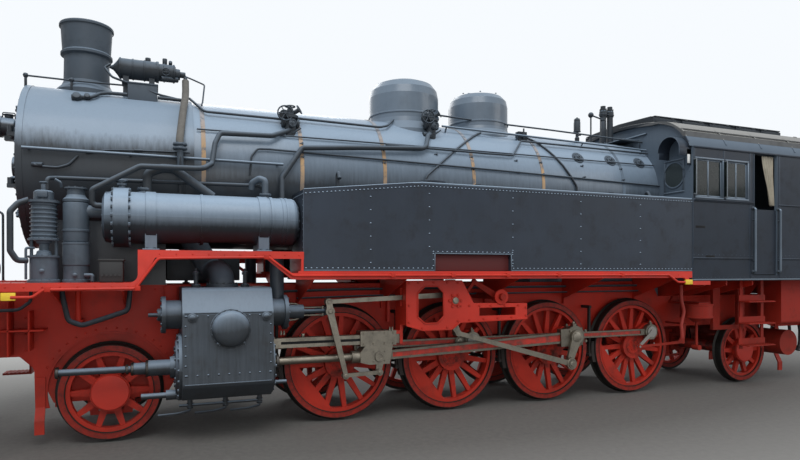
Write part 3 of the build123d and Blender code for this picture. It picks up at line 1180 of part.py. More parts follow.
def make_bunker():
    rear, front = BUNKER_REAR_X, CAB_REAR_X - GAP
    half = BUNKER_RAVE_HALF_WIDTH
    tub = box_at(rear, front, -HALF_WIDTH, HALF_WIDTH, CAB_BOTTOM_Z, BUNKER_TOP_Z)
    tub += box_at(rear, front, -half, half, BUNKER_TOP_Z - 5, BUNKER_RAVE_TOP_Z)
    tub -= box_at(rear + BUNKER_WALL, front - BUNKER_WALL, BUNKER_WALL - half, half - BUNKER_WALL,
                  BUNKER_FLOOR_Z, BUNKER_RAVE_TOP_Z + 50)
    save("coal_bunker", tub)


def make_under_cab_gear():
    """Brake cylinders, injector hangers and side boxes under the cab, and the speed drive on the left."""
    gear = both_sides(brake_cylinder())
    top = CAB_BOTTOM_Z - GAP
    hanger = box_at(-3845, -3700, 975, 1025, 900, top) + box_at(-4376, -4230, 975, 1025, 900, top)
    hanger += box_at(-4376, -3700, 975, 1025, 900, 965)
    gear += both_sides(hanger)
    side_box = box_at(-5900, -4850, 880, 1290, 965, top)
    gear += both_sides(fillet(side_box.edges().filter_by(Axis.X).sort_by(Axis.Z)[:2], 60))
    drive_y = (SPEED_DRIVE_Y[1] + GAP, SPEED_DRIVE_Y[1] + 16)
    x, z = COUPLED_X[-1], COUPLED_Z
    rod_end = (x - 840, z + 35)
    rod = link_bar((x, z), rod_end, 34, 40, *drive_y)
    rod += eye((x, z), 34, *drive_y) - bore((x, z), SPEED_SHAFT_R, *drive_y)
    rod -= bore((x, z), SPEED_SHAFT_R, *drive_y)
    rod += eye(rod_end, 30, *drive_y)
    rod += link_bar(rod_end, (rod_end[0] - 30, 1010), 40, 52, *drive_y)
    rod += round_y(PLATE_Y[1] + GAP, drive_y[1], rod_end[0] - 30, 1010, 14)
    gear.append(rod)
    save("under_cab_gear", *gear)


def air_pump():
    """Upright air pump: a plain air cylinder below, a ribbed steam cylinder above and its valve chest."""
    foot = BOARD_LOW_Z + GAP
    rings = [(0, foot), (144, foot), (144, foot + 24), (122, foot + 28), (122, 1925), (138, 1930), (138, 1948),
             (70, 1952), (60, 1990), (42, 2000), (42, 2060), (60, 2066), (70, 2090), (138, 2094), (138, 2112)]
    for rib in range(8):
        z = 2118 + rib * 42
        rings += [(108, z), (108, z + 16), (120, z + 20), (120, z + 30), (108, z + 34)]
    rings += [(108, 2452), (140, 2456), (140, 2478), (88, 2482), (88, 2560), (66, 2578), (0, 2586)]
    pump = turned_z(rings, AIR_PUMP_X, PUMP_Y)
    for side in (-1, 1):
        pump += round_z(1940, 2100, AIR_PUMP_X + side * 105, PUMP_Y, 15)
    return pump


def feed_pump():
    """Upright boiler feed pump, with its elbow to the feedwater heater."""
    foot = BOARD_LOW_Z + GAP
    rings = [(0, foot), (124, foot), (124, foot + 24), (112, foot + 28), (112, 1850), (120, 1860), (120, 2056),
             (124, 2060), (124, 2078), (96, 2084), (70, 2110), (70, 2170), (124, 2186), (124, 2204), (106, 2210),
             (106, 2470), (118, 2476), (118, 2500), (96, 2520), (80, 2545), (80, 2600), (104, 2603), (104, 2617),
             (0, 2617)]
    pump = turned_z(rings, FEED_PUMP_X, PUMP_Y)
    return pump + round_x(HEATER_FRONT_X + GAP, FEED_PUMP_X, PUMP_Y, 2390, 62)


def heater():
    """Feedwater heater: a lying drum on two feet, with a bolted flange near its front end."""
    drum = turned_x([(2812, 0), (2812, 220), (2836, 252), (2860, 262), (4505, 262), (4505, 300), (4642, 300),
                     (4642, 262), (4720, 250), (HEATER_FRONT_X, 200), (HEATER_FRONT_X, 0)], PUMP_Y, HEATER_Z)
    drum += turned_x([(3082, 250), (3082, 272), (3112, 272), (3112, 250)], PUMP_Y, HEATER_Z)
    for x in (3187, 4300):
        drum += box_at(x - 55, x + 55, PUMP_Y - 200, PUMP_Y + 200, BOARD_HIGH_Z + GAP, HEATER_Z - 140)
    return drum


def steam_pipes():
    """Main steam pipe from the smokebox to the left cylinder, and the exhaust pipe behind it."""
    x, y, top = STEAM_PIPE_X, STEAM_PIPE_Y, CYLINDER_TOP_Z + GAP
    main = pipe([(x, y, top), (x, y, top + 160), (x + 68, y - 440, top + 160), (x + 378, y - 500, top + 700)],
                150, STEAM_PIPE_R)
    main -= round_x(x - 400, x + 800, 0, BOILER_Z, SMOKEBOX_R + GAP)
    main += round_z(top, top + 32, x, y, STEAM_PIPE_R + 36)
    exhaust = round_z(VALVE_Z, BOARD_HIGH_Z - BOARD_THICKNESS - GAP, 2985, y, 78)
    exhaust -= round_x(2890, 2942 + GAP, VALVE_Y, VALVE_Z, VALVE_CHEST_R + 42 + GAP)
    exhaust -= round_x(2890, 3090, VALVE_Y, VALVE_Z, VALVE_CHEST_R + GAP)
    return [main, exhaust]


def pipework():
    """Pipes of the left side: those of the pumps and heater, and the feed and sand pipes on the boiler."""
    drum = round_x(2700, 4900, PUMP_Y, HEATER_Z, HEATER_R + GAP)
    valve_front, valve_rear = [round_z(BOILER_Z, BOILER_Z + 900, x, y, radius + GAP)
                               for x, y, radius, low, high in BOILER_VALVES]
    feed = pipe([(4730, 1270, 2440), (4830, 1270, 2440), (4830, 1290, 2590), (4400, 1262, 2850),
                 (3800, 1250, 2865), (3690, 1050, 2960), (3650, 965, 3200), (3590, 895, 3330),
                 (3020, 885, 3350), (2768, 740, 3470)], [45, 45, 90, 120, 60, 90, 60, 90], 28)
    feed -= box_at(4600, HEATER_FRONT_X + GAP, 1100, 1400, 2300, 2600)
    feed -= valve_front
    loop = pipe([(4340, 1150, 2580), (4330, 1150, 2800), (4200, 1150, 2860), (4080, 1150, 2860),
                 (3690, 1150, 2590)], 60, 45) - drum
    exhaust = pipe([(GENERATOR_REAR_X - GAP, GENERATOR_Y, GENERATOR_Z), (3925, GENERATOR_Y, GENERATOR_Z),
                    (3925, GENERATOR_Y + 40, BOILER_Z + 930)] + wrapped(3930, 27, 3985, 60, 950, 3)
                   + [(4015, 985, 3200), (4010, 1002, 3020), (4010, 978, 2800), (4010, 975, 2500)],
                   [50, 40, 60, 90, 90, 90, 90, 60, 60], 22) - drum
    steam = pipe([(5230, PUMP_Y, 2590), (5230, PUMP_Y, 2700), (5150, 1060, 2720), (3260, 1060, 2745),
                  (3150, 1060, 2745), (3150, 1060, 2560)], [40, 40, 40, 60], 20) - drum
    air = pipe([(5290, 1170, 2520), (5460, 1225, 2440), (5520, 1250, 2360), (5520, 1250, 1990),
                (5470, 1230, 1900), (5290, 1165, 1900)], [50, 50, 50, 50], 28)
    air -= round_z(2400, 2600, AIR_PUMP_X, PUMP_Y, 140 + GAP)
    air -= round_z(1800, 2000, AIR_PUMP_X, PUMP_Y, 138 + GAP)
    rear = pipe([(2925, 1000, 2540), (2915, 945, 2866), (2798, 936, 3044), (2673, 905, 3234), (1956, 892, 3294),
                 (1079, 870, 3355), (985, 735, 3550), (884, 612, 3620)], [80, 80, 60, 120, 120, 60], 30)
    rear -= drum
    rear -= valve_rear
    laid = BOILER_R + BAND_THICKNESS + GAP + 14
    sand_front = pipe(wrapped(57, 31, 1091, 88, laid - 0.7, 6) + [(1095, 899, 2790)], 120, 14)
    sand_rear = pipe(wrapped(-665, 31, -1238, 88, laid, 6) + [(-1240, 899, 2790)], 120, 14)
    return [feed, loop, exhaust, steam, air, rear, sand_front, sand_rear]


def hand_rails():
    """Rails of the left side: on the smokebox, along the boiler top and beside the cab doorway."""
    rails = []
    y, z = SMOKEBOX_R + RAIL_OFFSET, BOILER_Z + 60
    rail = round_x(2900, 5480, y, z, 16)
    for x in (2960, 3700, 4500, 5420):
        seat = SMOKEBOX_R if x > SMOKEBOX_REAR_X else BOILER_R
        rail += round_y(SMOKEBOX_R - 25, y, x, z, 12) - round_x(x - 40, x + 40, 0, BOILER_Z, seat + GAP)
    rails.append(rail)
    front, rear = (700, 562, BOILER_Z + 782), (-2740, 640, BOILER_Z + 700)
    top_rail = pipe([front, ((front[0] + rear[0]) / 2, 603, BOILER_Z + 743), rear], 4000, 14)
    for share in (0.02, 0.34, 0.66, 0.98):
        x, y, z = [low + share * (high - low) for low, high in zip(front, rear)]
        foot = Pos(x, 0, BOILER_Z) * Rot(-degrees(atan2(y, z - BOILER_Z)), 0, 0)
        reach = hypot(y, z - BOILER_Z)
        top_rail += foot * round_z(BOILER_R - 20, reach, 0, 0, 11)
    rails.append(seat_on_boiler(top_rail, BOILER_R))
    wall = HALF_WIDTH + GAP
    for x in (DOORWAY[1] + 24, DOORWAY[0] - 24):
        rails.append(pipe([(x, wall, 1790), (x, wall + 42, 1790), (x, wall + 42, 2730), (x, wall, 2730)],
                          22, GRAB_RAIL_R))
    return rails


def steps():
    """Left cab steps under the doorway, and the shunter's step behind the front beam."""
    frame = None
    for z in (690, 1020, 1350):
        tread = box_at(-4520, -3960, 1262, 1440, z - 14, z) + box_at(-4520, -3960, 1252, 1266, z - 14, z + 90)
        frame = tread if frame is None else frame + tread
    for x in (-4500, -4050):
        frame += box_at(x, x + 60, 1238, 1256, 620, CAB_BOTTOM_Z - GAP)
    shunter = plate_y([(5740, 480), (6060, 480), (6060, 504), (5764, 504), (5764, BEAM_BOTTOM_Z + 200),
                       (5740, BEAM_BOTTOM_Z + 200)], 1180, 1440)
    shunter -= box_at(5700, 5800, 1250, 1370, 560, BEAM_BOTTOM_Z + 60)
    shunter += box_at(5750, BEAM_FACE_X - BEAM_THICKNESS, 1200, 1230, BEAM_BOTTOM_Z + 100, BEAM_BOTTOM_Z + 200)
    return [frame, shunter]


def make_equipment():
    save("feedwater_heater", heater())
    save("air_pump", air_pump())
    save("feed_pump", feed_pump())
    pipes = []
    for piece in steam_pipes():
        pipes += both_sides(piece)
    save("steam_pipes", *pipes)
    save("pipework", *pipework())
    rails = []
    for piece in hand_rails():
        rails += both_sides(piece)
    save("handrails", *rails)
    treads = []
    for piece in steps():
        treads += both_sides(piece)
    save("cab_steps", *treads)
    reservoir = round_y(-1050, 1050, RESERVOIR_X, RESERVOIR_Z, RESERVOIR_R)
    for y in (-400, 400):
        reservoir += box_at(RESERVOIR_X - 100, RESERVOIR_X - 50, y - 25, y + 25, RESERVOIR_Z + 150, 900 - GAP)
    save("air_reservoir", reservoir)


make_frame()
make_wheelsets()
make_motion()
make_slide_bars()
save("reversing_shaft", reversing_gear())
make_ends()
make_lamps()
make_guards()
make_brakes()
make_cylinders()
make_boiler()
make_boiler_top()
make_boiler_fittings()
make_tanks()
make_boards()
make_cab()
save("cab_door_left", cab_door())
save("cab_door_right", mirrored(cab_door()))
make_bunker()
make_under_cab_gear()
make_equipment()
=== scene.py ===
import math
import random

import bmesh
import bpy
from bpy.props import FloatProperty, FloatVectorProperty, PointerProperty
from mathutils import Matrix, Vector


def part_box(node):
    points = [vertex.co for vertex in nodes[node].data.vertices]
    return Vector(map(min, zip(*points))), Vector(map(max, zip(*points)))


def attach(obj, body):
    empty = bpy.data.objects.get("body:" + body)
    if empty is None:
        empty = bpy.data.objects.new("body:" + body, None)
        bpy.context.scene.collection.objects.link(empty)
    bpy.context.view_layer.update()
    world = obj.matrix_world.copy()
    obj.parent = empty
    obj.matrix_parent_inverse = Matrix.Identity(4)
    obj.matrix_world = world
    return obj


bl_info = {
    "name": "Tank Locomotive Dress",
    "version": (1, 0, 0),
    "blender": (4, 5, 0),
    "location": "View3D > Sidebar > Locomotive",
    "description": "Finishes and fittings for a tank steam locomotive built round a packed CAD frame",
    "category": "Object",
}

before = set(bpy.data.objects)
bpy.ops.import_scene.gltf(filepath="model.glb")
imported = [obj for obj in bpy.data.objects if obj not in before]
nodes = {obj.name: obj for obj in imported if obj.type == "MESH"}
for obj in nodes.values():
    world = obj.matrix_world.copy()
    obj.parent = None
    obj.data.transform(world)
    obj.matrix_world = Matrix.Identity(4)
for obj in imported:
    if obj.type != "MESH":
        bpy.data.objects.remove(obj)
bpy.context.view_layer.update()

# Shapes are written in millimetres, in the CAD's axes, and scaled when a piece is finished
MM = 0.001
LEFT, RIGHT = 1, -1
SIDES = (LEFT, RIGHT)
UP, DOWN, AHEAD, ASTERN, OUT = (0, 0, 1), (0, 0, -1), (1, 0, 0), (-1, 0, 0), (0, 1, 0)


def node_mm(name):
    """Lowest and highest corners of a CAD node in millimetres."""
    low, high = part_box(name)
    return low / MM, high / MM


TANK_LOW, TANK_HIGH = node_mm("side_tanks")
CAB_LOW, CAB_HIGH = node_mm("cab")
DOOR_LOW, DOOR_HIGH = node_mm("smokebox_door")
BEAM_LOW, BEAM_HIGH = node_mm("buffer_beams")
SMOKEBOX_REAR = node_mm("smokebox")[0].x

HALF_WIDTH = CAB_HIGH.y
TANK_SIDE = TANK_HIGH.y
TANK_NOSE = (2790, 2676)
TANK_SHOULDER = (1410, 2823)
TANK_RECESS = (220, 1242)
BOILER_Z = (DOOR_LOW.z + DOOR_HIGH.z) / 2
BOILER_R = 880
SMOKEBOX_R = 892
COUPLED_X = (2200, 700, -800, -2300)
COUPLED_Z = 703
COUPLED_RIM = 600
CARRYING_X = (4700, -4600)
CARRYING_Z = 528
CARRYING_RIM = 425
WHEELSETS = {
    "wheelset_lead": (CARRYING_X[0], CARRYING_Z, CARRYING_RIM),
    "wheelset_coupled_1": (COUPLED_X[0], COUPLED_Z, COUPLED_RIM),
    "wheelset_coupled_2": (COUPLED_X[1], COUPLED_Z, COUPLED_RIM),
    "wheelset_driving": (COUPLED_X[2], COUPLED_Z, COUPLED_RIM),
    "wheelset_coupled_4": (COUPLED_X[3], COUPLED_Z, COUPLED_RIM),
    "wheelset_trail": (CARRYING_X[1], CARRYING_Z, CARRYING_RIM),
}
HUB_FACE = 855.5
CRANK_RADIUS = 330
CRANK_ANGLE = math.radians(142)
RIGHT_CRANK_ANGLE = CRANK_ANGLE - math.pi / 2
COUPLING_FLUTE_Y = 913
MAIN_FLUTE_Y = 1064
PUMP_Y = 1150
HEATER_Z = 2340
HEATER_FEET = (3187, 4300)
CYLINDER_Y, PISTON_Z = 1050, 790
VALVE_Y, VALVE_Z = 1100, 1345
CYLINDER_SIDE = 1430
BRACKET_Y = 1320
WINDOWS = ((-3327, -2823, 2858, 3391), (-3837, -3414, 2858, 3391))
END_WINDOWS = ((1010, 1330, 2960, 3400), (-1330, -1010, 2960, 3400))
DOORWAY = (-4462, -3978)
FLOOR_Z = 1743
BACK_HEAD_X = -3090
BUNKER_REAR = -6215
GAUGES = ((-320, 3420, 80), (320, 3420, 80), (-560, 3300, 62), (560, 3300, 62), (0, 3560, 70))


# Shapes

def placed(bm, matrix):
    bmesh.ops.transform(bm, matrix=matrix, verts=bm.verts)
    return bm


def towards(direction):
    """Turn that brings +Z to a direction."""
    return Vector(direction).to_track_quat("Z", "Y").to_matrix().to_4x4()


def eased(bm, edges, width):
    """Round the edges of a mesh."""
    bmesh.ops.bevel(bm, geom=edges, offset=width, segments=2, profile=0.5, affect="EDGES", material=-1,
                    clamp_overlap=True)


def block(low, high, edge=0.0):
    """Box between two corners, with rounded edges."""
    low, high = Vector(low), Vector(high)
    bm = bmesh.new()
    bmesh.ops.create_cube(bm, size=1.0)
    bmesh.ops.scale(bm, vec=high - low, verts=bm.verts)
    bmesh.ops.translate(bm, vec=(low + high) / 2, verts=bm.verts)
    if edge:
        eased(bm, list(bm.edges), edge)
    return bm


def bar(start, end, radius, sides=20, edge=0.0):
    """Round bar from one point to another."""
    start, end = Vector(start), Vector(end)
    run = end - start
    bm = bmesh.new()
    bmesh.ops.create_cone(bm, cap_ends=True, segments=sides, radius1=radius, radius2=radius, depth=run.length)
    if edge:
        eased(bm, [e for e in bm.edges if abs(e.verts[0].co.z - e.verts[1].co.z) < 1e-6], edge)
    return placed(bm, Matrix.Translation((start + end) / 2) @ towards(run))


def turned(rings, origin, direction, steps=48):
    """Turned piece from (radius, height) rings along a direction."""
    bm = bmesh.new()
    verts = [bm.verts.new((radius, 0, height)) for radius, height in rings]
    edges = [bm.edges.new(pair) for pair in runs(verts)]
    bmesh.ops.spin(bm, geom=verts + edges, cent=(0, 0, 0), axis=UP, dvec=(0, 0, 0), angle=2 * math.pi,
                   steps=steps, use_merge=True, use_duplicate=False)
    bmesh.ops.remove_doubles(bm, verts=bm.verts, dist=0.01)
    bmesh.ops.dissolve_degenerate(bm, edges=bm.edges, dist=0.01)
    bmesh.ops.recalc_face_normals(bm, faces=bm.faces)
    return placed(bm, Matrix.Translation(Vector(origin)) @ towards(direction))


def ring(outer, inner, height, origin, direction, steps=48, edge=0.0):
    """Flat ring that stands up from its origin."""
    rings = [(inner, 0), (outer, 0), (outer, height - edge), (outer - edge, height), (inner + edge, height),
             (inner, height - edge), (inner, 0)]
    return turned(rings, origin, direction, steps)


def slab(outline, y_low, y_high, edge=0.0):
    """Side-view outline of (x, z) points, with its thickness across the locomotive."""
    bm = bmesh.new()
    face = bm.faces.new([bm.verts.new((x, y_low, z)) for x, z in outline])
    made = bmesh.ops.extrude_face_region(bm, geom=[face])["geom"]
    moved = [g for g in made if isinstance(g, bmesh.types.BMVert)]
    bmesh.ops.translate(bm, vec=(0, y_high - y_low, 0), verts=moved)
    bmesh.ops.recalc_face_normals(bm, faces=bm.faces)
    if edge:
        eased(bm, list(bm.edges), edge)
    return bm


def link(start, end, start_width, end_width, y_low, y_high, edge=0.0):
    """Flat tapering bar in side view between two points."""
    run = Vector((end[0] - start[0], end[1] - start[1])).normalized()
    outline = []
    for point, half, signs in ((start, start_width / 2, (1, -1)), (end, end_width / 2, (-1, 1))):
        outline += [(point[0] - sign * run.y * half, point[1] + sign * run.x * half) for sign in signs]
    return slab(outline, y_low, y_high, edge)


def pipe(points, radius, bend=60, sides=4):
    """Round pipe along straight runs with eased corners."""
    points = [Vector(p) for p in points]
    route = [points[0]]
    for before, corner, after in zip(points[:-2], points[1:-1], points[2:]):
        near, far = [corner + (other - corner).normalized() * min(bend, (other - corner).length * 0.45)
                     for other in (before, after)]
        route += [near, corner, far]
    route.append(points[-1])
    curve = bpy.data.curves.new("route", "CURVE")
    curve.dimensions = "3D"
    curve.bevel_depth = radius
    curve.bevel_resolution = sides
    curve.resolution_u = 3
    curve.use_fill_caps = True
    spline = curve.splines.new("NURBS")
    spline.points.add(len(route) - 1)
    for point, place in zip(spline.points, route):
        point.co = (*place, 1)
    spline.order_u = 3
    spline.use_endpoint_u = True
    holder = bpy.data.objects.new("route", curve)
    mesh = bpy.data.meshes.new_from_object(holder)
    bm = bmesh.new()
    bm.from_mesh(mesh)
    bmesh.ops.remove_doubles(bm, verts=bm.verts, dist=0.02)
    bmesh.ops.recalc_face_normals(bm, faces=bm.faces)
    bpy.data.objects.remove(holder)
    bpy.data.curves.remove(curve)
    bpy.data.meshes.remove(mesh)
    return bm


def rivet_head(radius):
    """Low domed head on the plane z = 0."""
    bm = bmesh.new()
    bmesh.ops.create_cone(bm, cap_ends=True, segments=8, radius1=radius, radius2=radius * 0.78,
                          depth=radius * 0.36)
    bmesh.ops.translate(bm, vec=(0, 0, radius * 0.18), verts=bm.verts)
    top = max(bm.faces, key=lambda f: f.calc_center_median().z)
    bmesh.ops.inset_region(bm, faces=[top], thickness=radius * 0.38, depth=radius * 0.2)
    return bm


def bolt_head(radius):
    """Hexagon head on a washer, on the plane z = 0."""
    bm = bmesh.new()
    for sides, width, depth, height in ((12, 1.35, 0.2, 0.1), (6, 1.0, 0.8, 0.55)):
        bmesh.ops.create_cone(bm, cap_ends=True, segments=sides, radius1=radius * width, radius2=radius * width,
                              depth=radius * depth, matrix=Matrix.Translation((0, 0, radius * height)))
    return bm


def take_in(bm, shape, both=False):
    """Move a shape into a mesh, with its mirror image on the other side if both."""
    mesh = bpy.data.meshes.new("stock")
    shape.to_mesh(mesh)
    shape.free()
    bm.from_mesh(mesh)
    if both:
        mesh.transform(Matrix.Scale(-1, 4, OUT))
        mesh.flip_normals()
        bm.from_mesh(mesh)
    bpy.data.meshes.remove(mesh)


def handwheel(centre, direction, radius, thick=7, spokes=4):
    """Small valve wheel with spokes and hub."""
    bm = ring(radius, radius - 2 * thick, 2 * thick, centre, direction, 28, thick * 0.7)
    direction = Vector(direction).normalized()
    centre = Vector(centre) + direction * thick
    take_in(bm, bar(centre - direction * 3 * thick, centre + direction * 1.6 * thick, thick * 1.6, 14))
    for point in around(centre, direction, radius - thick, spokes):
        take_in(bm, bar(centre, point, thick * 0.7, 8))
    return bm


def make_object(name, bm, finish, body):
    """Object from a mesh in metres, with its finish, that rides on a body."""
    mesh = bpy.data.meshes.new(name)
    bm.to_mesh(mesh)
    bm.free()
    mesh.materials.append(finish)
    for face in mesh.polygons:
        face.use_smooth = True
    piece = bpy.data.objects.new(name, mesh)
    bpy.context.scene.collection.objects.link(piece)
    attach(piece, body)
    return piece


class Piece:
    """A piece in the making: shapes are added to it, in millimetres, and it is finished as one object."""

    def __init__(self, name):
        self.name = name
        self.bm = bmesh.new()

    def add(self, shape, both=False):
        take_in(self.bm, shape, both)
        return self

    def blocks(self, rows, both=False):
        """Add boxes from rows of low corner, high corner and rounding."""
        for row in rows:
            self.add(block(*row), both)
        return self

    def bars(self, rows, both=False):
        """Add round bars from rows of start, end, radius, sides and, where it is rounded, its edge."""
        for row in rows:
            self.add(bar(*row), both)
        return self

    def pipes(self, rows, both=False):
        """Add pipes from rows of radius, bend, sides and the points they pass."""
        for radius, bend, sides, *points in rows:
            self.add(pipe(points, radius, bend, sides), both)
        return self

    def repeat(self, shape, places, normal):
        """Set copies of a shape at places, standing along a normal, or each along its own."""
        mesh = bpy.data.meshes.new("stock")
        shape.to_mesh(mesh)
        shape.free()
        for index, place in enumerate(places):
            own = normal[index] if isinstance(normal, list) else normal
            copy = mesh.copy()
            copy.transform(Matrix.Translation(Vector(place)) @ towards(own))
            self.bm.from_mesh(copy)
            bpy.data.meshes.remove(copy)
        bpy.data.meshes.remove(mesh)
        return self

    def bolt_circle(self, size, centre, direction, radius, count, first=0.0):
        """Set bolt heads in a circle."""
        return self.repeat(bolt_head(size), around(centre, direction, radius, count, first), direction)

    def finish(self, finish, body="root", slot="black_paint", smooth=38):
        """Make the object, with edges sharper than the angle smooth left sharp."""
        bmesh.ops.scale(self.bm, vec=(MM, MM, MM), verts=self.bm.verts)
        piece = make_object(self.name, self.bm, finish, body)
        piece.data.set_sharp_from_angle(angle=math.radians(smooth))


def runs(points):
    """Neighbouring points in pairs."""
    return zip(points[:-1], points[1:])


def on_side(points, side):
    """Points of the left side brought to a side."""
    return [(p[0], side * p[1], p[2]) for p in points]


def spaced(start, end, spacing):
    """Points in a row from start to end, evenly spaced."""
    start, end = Vector(start), Vector(end)
    count = max(1, round((end - start).length / spacing))
    return [start.lerp(end, index / count) for index in range(count + 1)]


def spaced_numbers(low, high, count):
    """Evenly spaced numbers from low to high."""
    return [low + (high - low) * index / (count - 1) for index in range(count)]


def around(centre, direction, radius, count, first=0.0):
    """Points in a circle round a centre."""
    turn = towards(direction)
    angles = [first + 2 * math.pi * index / count for index in range(count)]
    return [Vector(centre) + turn @ Vector((radius * math.cos(a), radius * math.sin(a), 0)) for a in angles]


def surround(low, high, z_low, z_high, width):
    """Corners of the four bars that frame an opening."""
    return (
        ((low - width, z_low - width), (high + width, z_low)),
        ((low - width, z_high), (high + width, z_high + width)),
        ((low - width, z_low), (low, z_high)), ((high, z_low), (high + width, z_high)),
    )


def on_boiler(x, angle, radius=BOILER_R, side=LEFT):
    """Point on the boiler at an angle in degrees from the crown towards a side, and its normal."""
    angle = math.radians(angle)
    normal = Vector((0, side * math.sin(angle), math.cos(angle)))
    return Vector((x, 0, BOILER_Z)) + normal * radius, normal


# Finishes

class Wire:
    """A shader socket on which plain arithmetic can be written."""

    def __init__(self, tree, socket):
        self.tree = tree
        self.socket = socket

    def calc(self, operation, other=None, reflected=False):
        node = self.tree.nodes.new("ShaderNodeMath")
        node.operation = operation
        pair = (other, self) if reflected else (self, other)
        for slot, value in zip(node.inputs, pair):
            if isinstance(value, Wire):
                self.tree.links.new(value.socket, slot)
            elif value is not None:
                slot.default_value = value
        return Wire(self.tree, node.outputs[0])

    def __add__(self, other):
        return self.calc("ADD", other)

    __radd__ = __add__

    def __sub__(self, other):
        return self.calc("SUBTRACT", other)

    def __rsub__(self, other):
        return self.calc("SUBTRACT", other, True)

    def __mul__(self, other):
        return self.calc("MULTIPLY", other)

    __rmul__ = __mul__

    def __pow__(self, other):
        return self.calc("POWER", other)

    def over(self, limit):
        return self.calc("GREATER_THAN", limit)

    def least(self, other):
        return self.calc("MINIMUM", other)

    def most(self, other):
        return self.calc("MAXIMUM", other)


class Finish:
    """A node material in the making."""

    def __init__(self, name):
        self.material = bpy.data.materials.new(name)
        self.material.use_nodes = True
        self.tree = self.material.node_tree
        self.shader = self.tree.nodes["Principled BSDF"]
        self.place = self.node("ShaderNodeTexCoord", out="Object")

    def supply(self, socket, value):
        """Link a wire to a socket, or set a number or colour on it."""
        if isinstance(value, Wire):
            self.tree.links.new(value.socket, socket)
        elif socket.type == "RGBA":
            socket.default_value = (*value, 1)
        else:
            socket.default_value = value

    def node(self, kind, settings=None, out=0, **values):
        """Add a node: its settings first, then the values or links of its sockets, spaces written as _."""
        node = self.tree.nodes.new(kind)
        for key, value in (settings or {}).items():
            setattr(node, key, value)
        for key, value in values.items():
            self.supply(node.inputs[key.replace("_", " ")], value)
        return Wire(self.tree, node.outputs[out])

    def split(self):
        """The three object coordinates, as wires."""
        node = self.tree.nodes.new("ShaderNodeSeparateXYZ")
        self.tree.links.new(self.place.socket, node.inputs[0])
        return [Wire(self.tree, output) for output in node.outputs]

    def noise(self, scale, detail=3.0, rough=0.55, stretch=None):
        """Noise from 0 to 1 on the object coordinates."""
        vector = self.place
        if stretch:
            vector = self.node("ShaderNodeMapping", Vector=self.place, Scale=stretch)
        return self.node("ShaderNodeTexNoise", Vector=vector, Scale=scale, Detail=detail, Roughness=rough)

    def ramp(self, value, low, high):
        """A value brought from low..high to 0..1, held at the ends."""
        return self.node("ShaderNodeMapRange", {"clamp": True}, Value=value, From_Min=low, From_Max=high)

    def mix(self, share, first, second):
        """Mix of two colours, as values or wires."""
        node = self.tree.nodes.new("ShaderNodeMix")
        node.data_type = "RGBA"
        for key, value in (("Factor", share), ("A", first), ("B", second)):
            self.supply(next(s for s in node.inputs if s.name == key and s.enabled), value)
        return Wire(self.tree, next(s for s in node.outputs if s.enabled))

    def feed(self, **values):
        """Set or link the shader's sockets."""
        for key, value in values.items():
            self.supply(self.shader.inputs[key.replace("_", " ")], value)

    def fed(self, name="Base Color"):
        """The wire that feeds a socket of the shader so far."""
        return Wire(self.tree, self.shader.inputs[name].links[0].from_socket)

    def facing(self, direction):
        """How far the surface faces a direction, from -1 to 1."""
        normal = self.node("ShaderNodeTexCoord", out="Normal")
        share = self.node("ShaderNodeVectorMath", {"operation": "DOT_PRODUCT"}, "Value", Vector=normal)
        share.socket.node.inputs[1].default_value = Vector(direction).normalized()
        return share

    def bump(self, height, strength, distance):
        self.feed(Normal=self.node("ShaderNodeBump", Height=height, Strength=strength, Distance=distance))


def scaled(colour, share):
    """A colour made darker or lighter."""
    return tuple(min(1, share * c) for c in colour)


def enamel(name, colour, grime, dust, shine, dust_share, low, high, coat=0.0, sheen_tint=None, sky=UP,
           turn=(0.0, 0.45), gloss=0.28):
    """Old enamel: uneven colour, rain streaks, grime in patches, dust that grows from the height high down to
    low, and a painted blue-grey sky sheen, a painted reflection and highlight where the paint faces the sky."""
    f = Finish(name)
    z = f.split()[2]
    wide = f.noise(1.3, 4.0, 0.6)
    streak = f.noise(6.0, 3.0, 0.6, stretch=(5.0, 5.0, 0.35))
    grain = f.noise(90.0, 3.0, 0.6)
    patch = f.ramp(f.noise(4.5, 5.0, 0.65), 0.52, 0.72)
    shade = f.mix(f.ramp(wide, 0.3, 0.7), scaled(colour, 0.8), scaled(colour, 1.2))
    shade = f.mix(patch * 0.55, shade, grime)
    # painted sky sheen: the colour turns towards the sheen tint where the surface faces the sky direction, a painted
    # reflection
    if sheen_tint:
        up = f.ramp(f.facing(sky) + 0.16 * (streak - 0.5) + 0.14 * (wide - 0.5), *turn)
        shade = f.mix(up * (0.8 + 0.2 * grain), shade, sheen_tint)
    ground = 1 - f.ramp(z, low, high)
    dusty = (ground * 0.65 + f.ramp(streak, 0.5, 0.75) * 0.35) * dust_share * (0.45 + grain)
    shade = f.mix(dusty.least(0.85), shade, dust)
    rough = shine + 0.16 * f.ramp(wide, 0.25, 0.75) + 0.22 * dusty + 0.1 * patch
    f.feed(Base_Color=shade, Roughness=rough, Coat_Weight=coat, Coat_Roughness=0.2, Specular_IOR_Level=gloss)
    f.bump(grain * 0.35 + f.noise(2.2, 2.0) * 2.5, 0.16, 0.003)
    return f


def metal(name, colour, stain, shine=0.34, share=0.45):
    """Machined steel with oil stains and dull spots."""
    f = Finish(name)
    blot = f.ramp(f.noise(7.0, 5.0, 0.65), 0.45, 0.7)
    fine = f.noise(140.0, 2.0, 0.5)
    shade = f.mix(blot * share, f.mix(fine, scaled(colour, 0.75), colour), stain)
    f.feed(Base_Color=shade, Metallic=1 - 0.5 * blot * share, Roughness=shine + 0.2 * blot + 0.12 * fine)
    f.bump(fine, 0.12, 0.001)
    return f


